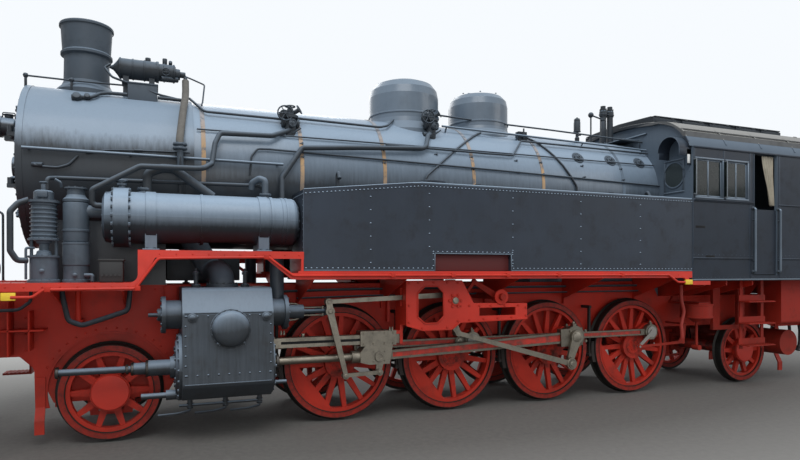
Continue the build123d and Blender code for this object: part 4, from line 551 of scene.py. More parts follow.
def plain(name, colour, rough=0.5, spread=0.18, scale=25.0):
    """A finish with a little variation and a fine grain."""
    f = Finish(name)
    cloud = f.noise(scale, 4.0, 0.6)
    shade = f.mix(cloud, scaled(colour, 1 - spread), scaled(colour, 1 + spread))
    f.feed(Base_Color=shade, Roughness=rough + 0.15 * cloud)
    f.bump(cloud, 0.15, 0.002)
    return f


def wheel_finish(name, axle_x, axle_z, rim_r, red):
    """Red wheel with a darker tyre, greasy hub and bright pins, told apart by the distance from the axle."""
    f = enamel(name, red, (0.12, 0.016, 0.012), (0.10, 0.045, 0.03), 0.42, 0.3, 0.0, 1.3, gloss=0.22)
    x, y, z = f.split()
    dx, dz = x - axle_x * MM, z - axle_z * MM
    distance = (dx * dx + dz * dz) ** 0.5
    rim = rim_r * MM
    pin = y.calc("ABSOLUTE").over(HUB_FACE * MM)
    tyre_red = f.mix(f.ramp(f.noise(18.0, 4.0, 0.6), 0.4, 0.7), (0.27, 0.022, 0.014), (0.12, 0.02, 0.016))
    grease = (1 - f.ramp(distance, 0.10, 0.34)) * f.ramp(f.noise(9.0, 4.0, 0.6), 0.42, 0.62) * 0.75
    joint = distance.over(rim - 0.004) * (1 - distance.over(rim + 0.007))
    worn = distance.over(rim + 0.064)
    shade = f.mix(grease, f.fed(), (0.035, 0.02, 0.016))
    for share, colour in ((distance.over(rim), tyre_red), (pin, (0.30, 0.29, 0.27)), (joint, (0.02, 0.012, 0.01)),
                          (worn, (0.03, 0.028, 0.026))):
        shade = f.mix(share, shade, colour)
    f.feed(Base_Color=shade, Metallic=(pin * 0.9).most(worn * 0.6))
    return f


def rod_finish(name, flute_y, steel, red):
    """Machined rod with the floor of its flutes painted red, found by its distance from the centre line."""
    f = metal(name, steel, (0.022, 0.018, 0.014))
    side = f.split()[1].calc("ABSOLUTE")
    floor = side.over(flute_y * MM - 0.0015) * (1 - side.over(flute_y * MM + 0.0015))
    paint = f.mix(f.ramp(f.noise(12.0, 4.0, 0.6), 0.4, 0.7), red, (0.12, 0.03, 0.02))
    f.feed(Base_Color=f.mix(floor, f.fed(), paint), Metallic=f.fed("Metallic") * (1 - floor))
    return f


def roof_finish(black, sheen_tint):
    """Black rounded eaves and a grey slope above the gutter, both with a painted sky sheen where they face up,
    and painted shade on the upright clerestory sides.
    """
    # the pale grey given to this enamel is the painted sky sheen of the upward-facing slope
    f = enamel("roof_grey", (0.10, 0.105, 0.11), (0.05, 0.05, 0.05), (0.16, 0.15, 0.14), 0.6, 0.15, 2.8, 5.5, 0.0,
               (0.30, 0.30, 0.29), UP, (0.12, 0.5))
    z = f.split()[2]
    up = f.facing(UP)
    # painted sky sheen on the black eaves below the gutter where they face up
    eaves_sheen = f.mix(f.ramp(up, 0.05, 0.75), black, scaled(sheen_tint, 0.9))
    shade = f.mix(1 - z.over(roof_height(1425) * MM), f.fed(), eaves_sheen)
    # painted shade: the upright clerestory sides are darkened
    clerestory = z.over(4.05) * (1 - f.ramp(up, 0.3, 0.6))
    f.feed(Base_Color=f.mix(clerestory, shade, (0.022, 0.028, 0.036)))
    return f


def band_finish(colour, sheen_tint):
    """Tan paint, worn through in patches, with a painted sky sheen towards the crown, painted shade on its
    underside, and faded behind the domes.
    """
    f = enamel("band_tan", colour, (0.10, 0.07, 0.05), (0.10, 0.09, 0.08), 0.45, 0.1, 1.5, 3.4)
    worn = f.ramp(f.noise(9.0, 5.0, 0.7), 0.50, 0.62) * 0.75
    # painted sky sheen: paler where the band faces up
    shade = f.mix(f.ramp(f.facing(UP), 0.25, 0.75) * 0.7, f.fed(), scaled(sheen_tint, 1.5))
    # painted shade on the downward-facing side, mixed into the same dark as the real worn patches
    underside_shade = 1 - f.ramp(f.facing(UP), -0.35, 0.1)
    shade = f.mix(worn.most(underside_shade * 0.8), shade, scaled(sheen_tint, 0.5))
    f.feed(Base_Color=f.mix(1 - f.ramp(f.split()[0], -2.0, -1.8), shade, scaled(sheen_tint, 0.75)))
    return f


def canvas_finish(colour):
    """Woven cloth with darker clouds of dirt."""
    f = Finish("canvas")
    threads = [f.node("ShaderNodeTexWave", {"bands_direction": axis}, Vector=f.place, Scale=180.0, Distortion=0.6)
               for axis in "XZ"]
    cloth = (threads[0] + threads[1]) * 0.5
    shade = f.mix(f.ramp(f.noise(5.0, 4.0, 0.6), 0.35, 0.7), colour, scaled(colour, 0.62))
    f.feed(Base_Color=f.mix(cloth * 0.3, shade, scaled(colour, 0.5)), Roughness=0.85 + 0.1 * cloth)
    f.bump(cloth, 0.25, 0.001)
    return f


def coal_finish():
    f = Finish("coal")
    cloud = f.noise(30.0, 4.0, 0.6)
    f.feed(Base_Color=f.mix(cloud, (0.006, 0.006, 0.007), (0.03, 0.03, 0.032)), Roughness=0.25 + 0.45 * cloud)
    f.bump(cloud, 0.4, 0.01)
    return f


def glass_finish():
    """Dark, nearly opaque panes with a film of dirt; the dark colour is painted shade of the cab behind them."""
    f = Finish("window_glass")
    dirt = f.ramp(f.noise(6.0, 4.0, 0.6), 0.45, 0.8)
    # near-black base and high alpha: painted shade of the cab interior seen through the panes
    f.feed(Base_Color=f.mix(dirt, (0.006, 0.010, 0.010), (0.018, 0.024, 0.023)), Roughness=0.08 + 0.1 * dirt,
           Alpha=0.975 + 0.02 * dirt, Specular_IOR_Level=0.12)
    return f


def lens_finish():
    f = Finish("lamp_glass")
    cloud = f.noise(20.0)
    f.feed(Base_Color=f.mix(cloud, (0.75, 0.76, 0.72), (0.85, 0.86, 0.83)), Roughness=0.12 + 0.1 * cloud,
           Metallic=0.3)
    return f


class FinishBook:
    """All finishes of the locomotive, made once."""

    def __init__(self, settings):
        black, red = tuple(settings.black), tuple(settings.red)
        sheen_tint, steel = tuple(settings.sheen_tint), tuple(settings.steel)
        oil = (0.014, 0.012, 0.010)
        dust = (0.10, 0.095, 0.09)
        soot = (0.012, 0.013, 0.016)
        mud = (0.10, 0.05, 0.035)
        weather = (0.0, 0.45)

        # scaled copies of the sheen tint: small shares give the blacks their own colour, large shares the painted
        # sky sheen
        def faded(share):
            return scaled(sheen_tint, share)

        # attribute, name, colour, grime, dust, roughness, share of dust, dust heights, coat, tint of the painted sky
        # sheen, the direction of the sky and the painted sheen's range, gloss
        for key, name, *look in (
            ("body", "body_black", faded(0.13), soot, dust, 0.36, 0.10, 1.2, 3.2, 0.3, faded(1.6), (0.2, 0, 1),
             (-0.15, 0.55)),
            ("dome", "dome_black", faded(0.5), faded(0.3), dust, 0.34, 0.10, 1.2, 3.2, 0.3, sheen_tint, (0.3, 0, 1),
             (-0.1, 0.6)),
            ("tank", "tank_black", black, soot, dust, 0.40, 0.10, 1.5, 3.0, 0.0, faded(0.75), UP, (0.1, 0.6), 0.25),
            # cab: the painted sheen faces forward and up, painted light on the front wall
            ("cab", "cab_black", scaled(black, 0.85), soot, dust, 0.38, 0.08, 1.5, 3.4, 0.05, faded(0.75),
             (0.9, 0, 0.6), (0.05, 1.0), 0.12),
            # rivets: painted sheen on their upper sides, a painted highlight on each head
            ("rivet", "rivet_black", faded(0.16), soot, dust, 0.35, 0.1, 1.2, 3.2, 0.2, faded(2.0), UP, (0.0, 0.5)),
            ("smoke", "smokebox_black", faded(0.13), soot, dust, 0.42, 0.12, 1.8, 4.6, 0.15, faded(1.4),
             (0.1, 0, 1), (0.10, 0.34)),
            ("chimney", "chimney_black", faded(0.30), faded(0.18), dust, 0.5, 0.12, 1.8, 4.6, 0.0, sheen_tint, UP,
             (0.2, 0.8)),
            ("cast", "cast_black", faded(0.15), oil, (0.09, 0.075, 0.06), 0.42, 0.22, 0.2, 2.2, 0.05, faded(1.4),
             (0.1, 0, 1), (-0.05, 0.6)),
            # heater: a darker black than the body, painted shade against its brightly lit feet
            ("heater", "heater_black", faded(0.10), oil, dust, 0.36, 0.1, 0.2, 2.2, 0.1, faded(1.9), (0.05, 0, 1),
             (-0.35, 0.75)),
            ("pump", "pump_black", faded(0.36), faded(0.15), dust, 0.42, 0.15, 0.8, 3.0, 0.05, faded(1.1), UP,
             (0.0, 0.8)),
            ("iron", "fitting_black", faded(0.12), oil, dust, 0.46, 0.15, 1.0, 4.5, 0.0, faded(0.7), UP, (0.0, 0.8)),
            ("rail", "rail_grey", faded(0.35), faded(0.2), dust, 0.35, 0.1, 1.0, 4.5, 0.1, faded(1.6), UP,
             (-0.1, 0.5)),
            ("red", "frame_red", red, (0.19, 0.030, 0.022), (0.17, 0.075, 0.055), 0.42, 0.28, 0.1, 1.7, 0.0, None,
             UP, weather, 0.22),
            ("edge_red", "edge_red", scaled(red, 1.12), red, mud, 0.36, 0.15, 0.1, 1.7, 0.1, None, UP, weather, 0.3),
            ("gear_red", "dirty_red", scaled(red, 0.62), (0.05, 0.012, 0.009), (0.09, 0.05, 0.035), 0.5, 0.45, 0.1,
             1.7, 0.0, None, UP, weather, 0.2),
            ("gear_dark", "gear_dark", (0.020, 0.019, 0.020), oil, (0.09, 0.06, 0.045), 0.5, 0.4, 0.1, 1.7, 0.0,
             None, UP, weather, 0.2),
        ):
            setattr(self, key, enamel(name, *look).material)

        # attribute, name, colour, roughness, spread of the colour, scale of the grain
        for key, name, *look in (
            # near-black for slots and gaps: painted shade
            ("void", "slot_dark", (0.004, 0.004, 0.005), 0.9),
            # opaque dark colour for the round front panes: painted shade of the windows inside their hoods
            ("dark_pane", "dark_pane", (0.026, 0.036, 0.038), 0.12),
            # deep red for the tank recess: painted shade
            ("deep_red", "deep_red", (0.07, 0.006, 0.006), 0.7),
            ("lagging", "pipe_lagging", (0.13, 0.125, 0.115), 0.85, 0.45, 22.0),
            ("grey", "grey_paint", (0.13, 0.15, 0.17), 0.5),
            ("yellow", "yellow_paint", (0.75, 0.52, 0.03), 0.45),
            ("pale", "pale_plate", (0.62, 0.63, 0.62), 0.4),
            ("wood", "footplate_wood", (0.12, 0.08, 0.05), 0.7, 0.35, 12.0),
            ("rubber", "hose_rubber", (0.02, 0.02, 0.021), 0.6),
            ("red_hose", "red_hose", (0.33, 0.03, 0.02), 0.55),
        ):
            setattr(self, key, plain(name, *look).material)

        self.steel = metal("rod_steel", scaled(steel, 1.35), oil).material
        self.dark_steel = metal("dark_steel", (0.09, 0.085, 0.08), oil, 0.4, 0.6).material
        self.buffer = metal("buffer_steel", (0.09, 0.088, 0.085), (0.02, 0.017, 0.014), 0.42, 0.5).material
        self.brass = metal("brass", (0.55, 0.38, 0.13), (0.08, 0.05, 0.02), 0.3, 0.4).material
        self.coupling_rod = rod_finish("coupling_rod_steel", COUPLING_FLUTE_Y, steel, red).material
        self.main_rod = rod_finish("main_rod_steel", MAIN_FLUTE_Y, steel, red).material
        self.roof = roof_finish(black, sheen_tint).material
        self.band = band_finish(tuple(settings.band), sheen_tint).material
        self.canvas = canvas_finish(tuple(settings.canvas)).material
        self.coal = coal_finish().material
        self.glass = glass_finish().material
        self.lens = lens_finish().material
        self.wheels = {name: wheel_finish(name.replace("wheelset", "wheel_finish"), *place, red).material
                       for name, place in WHEELSETS.items()}


book = None


# Pieces

def dress_frame():
    """Give every CAD node its finish."""
    finishes = {
        "body": ("boiler",),
        "cab": ("cab", "cab_door_left", "cab_door_right", "coal_bunker"),
        "dome": ("steam_dome", "sand_dome"),
        "chimney": ("chimney",),
        "pump": ("air_pump", "feed_pump", "steam_pipes"),
        "rail": ("handrails",),
        "tank": ("side_tanks", "tank_lid_left", "tank_lid_right"),
        "smoke": ("smokebox", "smokebox_door"),
        "cast": ("cylinders",),
        "heater": ("feedwater_heater",),
        "iron": ("boiler_fittings", "safety_valves", "turbo_generator", "pipework", "lamps"),
        "roof": ("cab_roof",),
        "gear_dark": ("brake_gear",),
        "edge_red": ("running_boards", "motion_brackets", "side_conduits"),
        "red": ("main_frame", "buffer_beams", "guard_irons", "frame_stays"),
        "gear_red": ("cab_steps", "under_cab_gear", "springs", "axle_boxes", "reversing_shaft",
                     "air_reservoir"),
        "buffer": ("buffers", "draw_gear"),
        "steel": ("crossheads", "union_links", "combination_levers", "radius_rods", "eccentric_rods",
                  "return_cranks", "slide_bars", "expansion_links"),
        "band": ("boiler_bands",),
        "glass": ("cab_glass",),
        "coupling_rod": ("coupling_rods_left", "coupling_rods_right"),
        "main_rod": ("main_rods",),
    }
    table = {name: getattr(book, key) for key, names in finishes.items() for name in names}
    table.update(book.wheels)
    for name, node in nodes.items():
        if not node.material_slots:
            node.data.materials.append(table[name])
        for slot in node.material_slots:
            slot.material = table[name]


def tank_edge(x):
    """Height of the tank's upper edge at a place along it."""
    if x <= TANK_SHOULDER[0]:
        return TANK_SHOULDER[1]
    share = (x - TANK_SHOULDER[0]) / (TANK_NOSE[0] - TANK_SHOULDER[0])
    return TANK_SHOULDER[1] + share * (TANK_NOSE[1] - TANK_SHOULDER[1])


def build_tank():
    """Rivets, edge lips and mouldings of both side tanks."""
    front, rear, bottom, top = TANK_HIGH.x, TANK_LOW.x, TANK_LOW.z, TANK_SHOULDER[1]
    y = TANK_SIDE
    recess_rear, recess_front = TANK_RECESS
    rivets = Piece("tank_rivets")
    places = []
    for start, end in runs(((front - 22, tank_edge(front)), TANK_SHOULDER, (rear + 20, top))):
        row = spaced((start[0], y, start[1] - 46), (end[0], y, end[1] - 46), 47)
        places += row[1:] if places else row
    for x_start, x_end in ((front - 22, recess_front + 40), (recess_rear - 40, rear + 20)):
        places += spaced((x_start, y, bottom + 30), (x_end, y, bottom + 30), 60)
    places += spaced((recess_front + 24, y, 2024), (recess_rear - 24, y, 2024), 60)
    for x in (recess_rear - 24, recess_front + 24):
        places += spaced((x, y, bottom + 60), (x, y, 2000), 60)
    for x in (2036, 1316, 190, -832, -1817):
        low = 2080 if recess_rear < x < recess_front + 80 else bottom + 90
        places += spaced((x, y, low), (x, y, tank_edge(x) - 130), 148)
    for side in SIDES:
        rivets.repeat(rivet_head(11), on_side(places, side), (0, side, 0))
        corner, nose_z = side * 1440, tank_edge(front)
        nose = spaced((front, side * 970, nose_z - 46), (front, corner, nose_z - 46), 60)
        nose += spaced((front, corner, bottom + 60), (front, corner, nose_z - 110), 62)
        rivets.repeat(rivet_head(8.5), nose, AHEAD)
        deck = spaced((TANK_SHOULDER[0] - 60, side * 1420, top), (rear + 60, side * 1420, top), 95)
        rivets.repeat(rivet_head(8.5), deck, UP)
    rivets.finish(book.rivet)

    lips = Piece("tank_edge_lips")
    nose_z, lip_y = tank_edge(front) - 6, y - 15
    for start, end in runs([(front - 4, nose_z), (TANK_SHOULDER[0], top - 6), (rear + 4, top - 6)]):
        lips.add(bar((start[0], lip_y, start[1]), (end[0], lip_y, end[1]), 14, 14), both=True)
    lips.add(bar((front - 5, lip_y, bottom + 6), (front - 5, lip_y, nose_z), 10, 14), both=True)
    for x_start, x_end in ((front, recess_front + 4), (recess_rear - 4, rear + 10)):
        lips.add(block((x_end, y - 4, bottom + 2), (x_start, y + 2.5, bottom + 14), 1.5), both=True)
    line = [(recess_rear - 6, 1800), (recess_rear - 6, 2006), (recess_front + 6, 2006), (recess_front + 6, 1800)]
    for (x0, z0), (x1, z1) in runs(line):
        lips.add(block((min(x0, x1) - 6, y - 6, min(z0, z1) - 6), (max(x0, x1) + 6, y + 4, max(z0, z1) + 6), 3),
                 both=True)
    # the lips take the paler rail grey and its sheen: a painted highlight along the tank's edges and mouldings
    lips.finish(book.rail)

    # dark red panel set back in each tank recess: painted shade of the space behind it
    panels = Piece("tank_recess_panels")
    panels.add(block((recess_rear + 4, y - 52, bottom + 4), (recess_front - 4, y - 48, 1998), 1), both=True)
    panels.finish(book.deep_red)
    # dark deck plates between the frames stand in for the shaded space under the boiler and close the gaps to the
    # background: painted shade
    deck = Piece("inner_frame_decks")
    deck.blocks([((-2400, -500, 1694), (2560, 500, 1790), 10), ((3330, -500, 1694), (4140, 500, 2040), 10)])
    deck.finish(book.iron)

    irons = Piece("tank_steps_and_vents")
    for x, foot in ((2300, top - 120), (-2300, top)):
        irons.add(pipe([(x, 1090, foot), (x, 1090, top + 90), (x, 1130, top + 110), (x, 1170, top + 40)], 24, 40),
                  both=True)
    vent = [(0, -4), (58, -4), (58, 14), (30, 18), (26, 44), (40, 50), (40, 66), (0, 72)]
    for x in (500, -1600):
        irons.add(turned(vent, (x, 1180, top), UP, 28), both=True)
        for side in SIDES:
            irons.bolt_circle(9, (x, side * 1180, top + 14), UP, 46, 6)
    irons.finish(book.iron)

    for side, body in ((LEFT, "tank_lid_left"), (RIGHT, "tank_lid_right")):
        knob = Piece(body + "_handle")
        y, low, high = side * 1150, top + 54, top + 82
        knob.add(pipe([(1080, y, low), (1080, y, high), (1220, y, high), (1220, y, low)], 8, 16))
        knob.add(ring(186, 160, 6, (1150, y, top + 57), UP, 48, 2))
        knob.finish(book.iron, body)


def roof_height(y):
    """Height of the cab roof's outside at a distance from the centre line."""
    y = abs(y)
    knee, shoulder, eaves = (HALF_WIDTH - 210, 3872), (HALF_WIDTH - 700, 4040), (HALF_WIDTH, 3560)
    if y > knee[0]:
        share = (y - knee[0]) / (eaves[0] - knee[0])
        return knee[1] + (eaves[1] - knee[1]) * share ** 1.6
    if y > shoulder[0]:
        share = (y - shoulder[0]) / (knee[0] - shoulder[0])
        return shoulder[1] + (knee[1] - shoulder[1]) * share ** 1.2
    return shoulder[1] + 66 * (1 - (y / shoulder[0]) ** 2)


def build_cab():
    """Window frames, panes, seams, rivets, grips and bare plates of the cab's outside."""
    wall = HALF_WIDTH
    front, rear = CAB_HIGH.x, CAB_LOW.x
    frames = Piece("cab_window_frames")
    for x_low, x_high, z_low, z_high in WINDOWS:
        for (x0, z0), (x1, z1) in surround(x_low, x_high, z_low, z_high, 26):
            frames.add(block((x0, wall - 2, z0), (x1, wall + 11, z1), 4), both=True)
        middle = x_low + 0.52 * (x_high - x_low)
        frames.add(block((middle - 14, wall - 32, z_low), (middle + 14, wall - 10, z_high), 4), both=True)
        for x in (x_low + 13, x_high - 13):
            frames.add(block((x - 13, wall - 32, z_low), (x + 13, wall - 12, z_high), 4), both=True)
        for z in (z_low + 12, z_high - 12):
            frames.add(block((x_low, wall - 32, z - 12), (x_high, wall - 12, z + 12), 4), both=True)
    for y_low, y_high, z_low, z_high in END_WINDOWS:
        for near, far in ((front - 2, front + 12), (rear - 12, rear + 2)):
            for (y0, z0), (y1, z1) in surround(y_low, y_high, z_low, z_high, 24):
                frames.add(block((near, y0, z0), (far, y1, z1), 4))
    frames.finish(book.rail)

    wings = Piece("cab_draught_panes")
    mounts = Piece("draught_pane_frames")
    for x, z_low, z_high in ((-2775, 2900, 3372), (-3369, 2872, 3376)):
        wings.add(block((x - 6, wall, z_low), (x + 6, wall + 50, z_high), 2), both=True)
        for z in (z_low - 8, z_high + 8):
            mounts.add(block((x - 9, wall - 2, z - 8), (x + 9, wall + 54, z + 8), 3), both=True)
        mounts.add(block((x - 9, wall + 46, z_low - 8), (x + 9, wall + 55, z_high + 8), 3), both=True)
    wings.finish(book.glass, slot="glass")
    mounts.finish(book.grey)

    seams = Piece("cab_seams_and_edges")
    for x, low in ((-2799, 2800), (-3369, 2800), (-3900, 1700), (-4520, 1700)):
        seams.add(block((x - 15, wall - 2, low), (x + 15, wall + 5, 3548), 2), both=True)
    for z in (1988, 2800):
        for x_low, x_high in ((-3960, front - 4), (rear + 4, -4500)):
            seams.add(block((x_low, wall - 2, z - 11), (x_high, wall + 12, z + 11), 5), both=True)
    seams.blocks([
        ((rear + 4, wall - 2, 3546), (front - 4, wall + 14, 3572), 5),
        ((DOORWAY[0] - 12, wall - 2, 1745), (DOORWAY[0], wall + 9, 3540), 3),
        ((DOORWAY[1], wall - 2, 1745), (DOORWAY[1] + 12, wall + 9, 3540), 3),
        ((front - 14, wall - 4, 1700), (front, wall + 6, 3548), 3),
        ((rear, wall - 4, 1700), (rear + 14, wall + 6, 3548), 3),
        ((-3960, wall - 2, 2806), (front - 4, wall + 26, 2824), 5),
    ], both=True)
    seams.finish(book.cab)

    rivets = Piece("cab_rivets")
    places = []
    for z in (1712, 2034):
        for x_low, x_high in ((-3940, front - 24), (rear + 20, -4500)):
            places += spaced((x_low, wall, z), (x_high, wall, z), 80)
    for side in SIDES:
        rivets.repeat(rivet_head(7), on_side(places, side), (0, side, 0))
        for x, normal in ((front, AHEAD), (rear, ASTERN)):
            column = spaced((x, side * 1440, 1720), (x, side * 1440, 3500), 92)
            column += spaced((x, side * 940, 3480), (x, side * 1420, 3480), 92)
            rivets.repeat(rivet_head(7), column, normal)
    rivets.finish(book.cab)

    rails = Piece("cab_grips_and_ledges")
    for x in (-3954, -4486):
        for z in (1790, 2730):
            rails.add(turned([(0, 0), (30, 0), (30, 8), (19, 12), (19, 34), (0, 34)], (x, wall, z), OUT, 20),
                      both=True)
        for z in (1960, 2560):
            rails.add(bar((x, wall, z), (x, wall + 40, z), 10, 12), both=True)
    rails.finish(book.iron)

    plates = Piece("blank_plates")
    plates.add(block((-2738, 1470, 3325), (-2688, 1475, 3450), 2), both=True)
    plates.finish(book.pale)
    # near-black strips in the foot slots: painted shade of the recesses
    slots = Piece("cab_foot_slots")
    for x_low, x_high, z in ((-2995, -2815, 2432), (-3180, -3010, 2012)):
        slots.add(block((x_low, wall - 2, z - 16), (x_high, wall + 2, z + 16), 1), both=True)
    slots.finish(book.void)


def build_roof():
    """Gutter, clerestory flaps, hatches and hoods of the cab roof."""
    roof_rear, roof_front = -5628, -2712
    gutter = Piece("roof_gutters_and_ribs")
    gutter_y = 1345
    z = roof_height(gutter_y) - 2
    outline = [(-2702, z), (-5638, z), (-5638, z + 16), (-2702, z + 16)]
    gutter.add(slab(outline, gutter_y - 10, gutter_y + 12, 5), both=True)
    for x in (roof_front, -3440, -4170, -4900, roof_rear):
        inner = 0 if x in (roof_front, roof_rear) else 800
        for side in (RIGHT, LEFT):
            heights = [side * step / 14 * 1470 for step in range(1, 15)]
            gutter.add(pipe([(x, y, roof_height(y) + 3) for y in heights if abs(y) > inner], 13, 60, 2))
    gutter.finish(book.roof)

    flaps = Piece("clerestory_flaps")
    for x in (-2980, -3560, -4140, -4720, -5300):
        flaps.blocks([((x - 230, 762, 4058), (x + 230, 784, 4142), 6),
                      ((x - 200, 782, 4078), (x + 200, 790, 4124), 4)], both=True)
        for hinge in (x - 150, x + 150):
            flaps.add(bar((hinge - 30, 784, 4144), (hinge + 30, 784, 4144), 8, 10), both=True)
    flaps.add(block((-5510, 700, 4150), (-2770, 792, 4166), 6), both=True)
    flaps.finish(book.roof)

    top = Piece("roof_vents_and_eyes")
    for x in (-3300, -4900):
        top.blocks([((x - 260, -420, 4186), (x + 260, 420, 4216), 10),
                    ((x - 220, -380, 4212), (x + 220, 380, 4226), 6)])
    for x in (-2850, -5430):
        for y in (-1100, 1100):
            low, high = roof_height(y) - 6, roof_height(y) + 44
            top.add(pipe([(x - 40, y, low), (x - 40, y, high), (x + 40, y, high), (x + 40, y, low)], 8, 20))
    top.finish(book.roof)

    hoods = Piece("front_window_hoods")
    hood_z, pane_z = 3520, 3200
    for side in SIDES:
        hood = ring(200, 191, 224, (-2764, side * 1270, hood_z), AHEAD, 56, 2)
        geom = list(hood.verts) + list(hood.edges) + list(hood.faces)
        bmesh.ops.bisect_plane(hood, geom=geom, plane_co=(0, 0, hood_z), plane_no=DOWN, clear_outer=True)
        hoods.add(hood)
        for y_low, y_high, x_low, x_high, z_low, z_high in (
            (1460, 1470, -2764, -2540, 3430, hood_z + 4), (1460, 1470, -2764, -2680, 3300, hood_z + 4),
            (1070, 1080, -2764, -2560, 3430, hood_z + 4), (1000, 1342, -2768, -2761, 2948, 3412),
        ):
            near, far = sorted((side * y_low, side * y_high))
            hoods.add(block((x_low, near, z_low), (x_high, far, z_high), 2))
        hoods.add(ring(196, 172, 16, (-2764, side * 1170, pane_z), AHEAD, 56, 3))
        hoods.bolt_circle(7, (-2762, side * 1170, pane_z), AHEAD, 184, 12)
    hoods.finish(book.cab)
    # opaque dark discs in the hoods: painted shade of the round front windows
    panes = Piece("front_round_panes")
    panes.add(turned([(0, 0), (176, 0), (176, 5), (0, 5)], (-2762, 1170, pane_z), AHEAD, 48), both=True)
    panes.finish(book.dark_pane)

    hatch = Piece("firebox_hatch")
    outline = [(-2440, 3840), (-2440, 3850), (-2756, 3850), (-2756, 3700), (-2740, 3700), (-2740, 3834)]
    hatch.add(slab(outline, -500, 500, 3))
    hatch.add(block((-2756, -640, 3906), (-2730, 640, 3930), 5))
    hatch.add(bar((-2752, -560, 4000), (-2700, -560, 4000), 24, 20))
    hatch.finish(book.body)


def spokes(x, y, z, reach, radius, sides, first=0.0):
    """Three bars across a wheel that faces astern."""
    bars = []
    for turn in range(3):
        angle = math.pi * turn / 3 + first
        dy, dz = reach * math.cos(angle), reach * math.sin(angle)
        bars.append(((x, y - dy, z - dz), (x, y + dy, z + dz), radius, sides))
    return bars


def build_cab_inside():
    """Back head, seats and controls that show through the windows and doorways."""
    x = BACK_HEAD_X
    head_z, door_z, valve_z = 2960, 2350, 2800
    head = Piece("back_head_fittings")
    head.add(turned([(0, 0), (840, 0), (840, 14), (800, 26), (0, 26)], (x + 10, 0, head_z), ASTERN, 64))
    head.bolt_circle(11, (x - 16, 0, head_z), ASTERN, 815, 44)
    stays = [(x - 16, y, z) for y in range(-540, 541, 120) for z in range(2440, 3500, 120)
             if math.hypot(y, z - head_z) < 760]
    head.repeat(rivet_head(9), stays, ASTERN)
    head.finish(book.iron)

    door = Piece("fire_door_and_regulator")
    door.add(ring(250, 200, 50, (x - 16, 0, door_z), ASTERN, 48, 8))
    door.add(turned([(0, 0), (196, 0), (196, 20), (160, 34), (0, 34)], (x - 16, 0, door_z), ASTERN, 48))
    door.bars([((x - 66, -260, door_z), (x - 66, 260, door_z), 16, 12),
               ((x - 16, 0, 3280), (x - 190, 0, 3280), 34),
               ((x - 182, -40, 3280), (x - 182, 130, 3280), 20, 16)])
    door.add(link((x - 180, 3280), (x - 190, 2920), 44, 30, 100, 124))
    faces = Piece("gauge_faces")
    for y, z, r in GAUGES:
        door.add(turned([(0, 0), (r, 0), (r, 44), (r - 8, 52), (r - 14, 44), (0, 44)], (x - 20, y, z), ASTERN, 28))
        faces.add(turned([(0, 0), (r - 15, 0), (r - 15, 3), (0, 3)], (x - 63, y, z), ASTERN, 28))
    door.finish(book.iron)
    faces.finish(book.pale)

    brass = Piece("water_gauges_and_cocks")
    for y in (-230, 230):
        brass.bars([((x - 70, y, 2760), (x - 70, y, 3160), 14, 14),
                    ((x - 10, y, 2760), (x - 100, y, 2760), 18, 14),
                    ((x - 10, y, 3160), (x - 100, y, 3160), 18, 14)])
    for y in (-480, 480):
        brass.add(ring(70, 56, 14, (x - 130, y, valve_z), ASTERN, 28, 4))
        brass.add(bar((x - 10, y, valve_z), (x - 140, y, valve_z), 12, 12))
        brass.bars(spokes(x - 136, y, valve_z, 62, 6, 8))
    brass.finish(book.brass)

    seats = Piece("cab_seats_and_reverser")
    for y in (1280, -1280):
        seats.add(block((-3700, y - 150, 2190), (-3420, y + 150, 2240), 14))
        seats.add(bar((-3560, y, FLOOR_Z), (-3560, y, 2200), 28, 16))
    seats.add(bar((-3130, -1180, 2560), (-3330, -1180, 2560), 24, 16))
    seats.add(ring(210, 186, 28, (-3330, -1180, 2560), ASTERN, 40, 9))
    seats.bars(spokes(-3343, -1180, 2560, 190, 11, 10, 0.3))
    seats.add(block((-3160, -1240, FLOOR_Z), (-3060, -1120, 2600), 14))
    seats.finish(book.gear_red, slot="red_paint")

    floor = Piece("cab_floor_boards")
    for index in range(17):
        y = -1436 + index * 170
        parts = ((-5350, -3100),) if abs(y + 81) < 860 else ((-5350, -4530), (-3960, -3100))
        floor.blocks([((x_low, y, FLOOR_Z + 1), (x_high, y + 162, FLOOR_Z + 21), 4) for x_low, x_high in parts])
    floor.finish(book.wood)


def build_curtain():
    """Canvas curtain gathered at the rear edge of each doorway."""
    width, length, folds = 0.30, 0.78, 4
    for side, name in ((LEFT, "doorway_curtain_left"), (RIGHT, "doorway_curtain_right")):
        bm = bmesh.new()
        bmesh.ops.create_grid(bm, x_segments=64, y_segments=30, size=0.5)
        for vert in bm.verts:
            u, v = vert.co.x + 0.5, vert.co.y + 0.5
            wave = math.sin(u * folds * 2 * math.pi + 0.5 * math.sin(5 * v)) * (0.006 + 0.012 * (1 - v))
            wave += 0.003 * math.sin(u * 19 + v * 7)
            x = -4.452 + u * (0.060 + 0.192 * v) + 0.006 * math.sin(3 * v)
            vert.co = Vector((x, side * (1.450 + wave), 2.79 + v * (length - 0.03)))
        bmesh.ops.recalc_face_normals(bm, faces=bm.faces)
        bmesh.ops.solidify(bm, geom=list(bm.faces), thickness=0.002)
        bmesh.ops.recalc_face_normals(bm, faces=bm.faces)
        piece = make_object(name, bm, book.canvas, "root")
    rods = Piece("curtain_rods")
    rods.add(bar((DOORWAY[0] + 2, 1450, 3545), (DOORWAY[1] - 2, 1450, 3545), 9, 12), both=True)
    for index in range(7):
        rods.add(ring(17, 13, 5, (-4425 + index * 38, 1450, 3540), AHEAD, 14), both=True)
    rods.finish(book.iron)


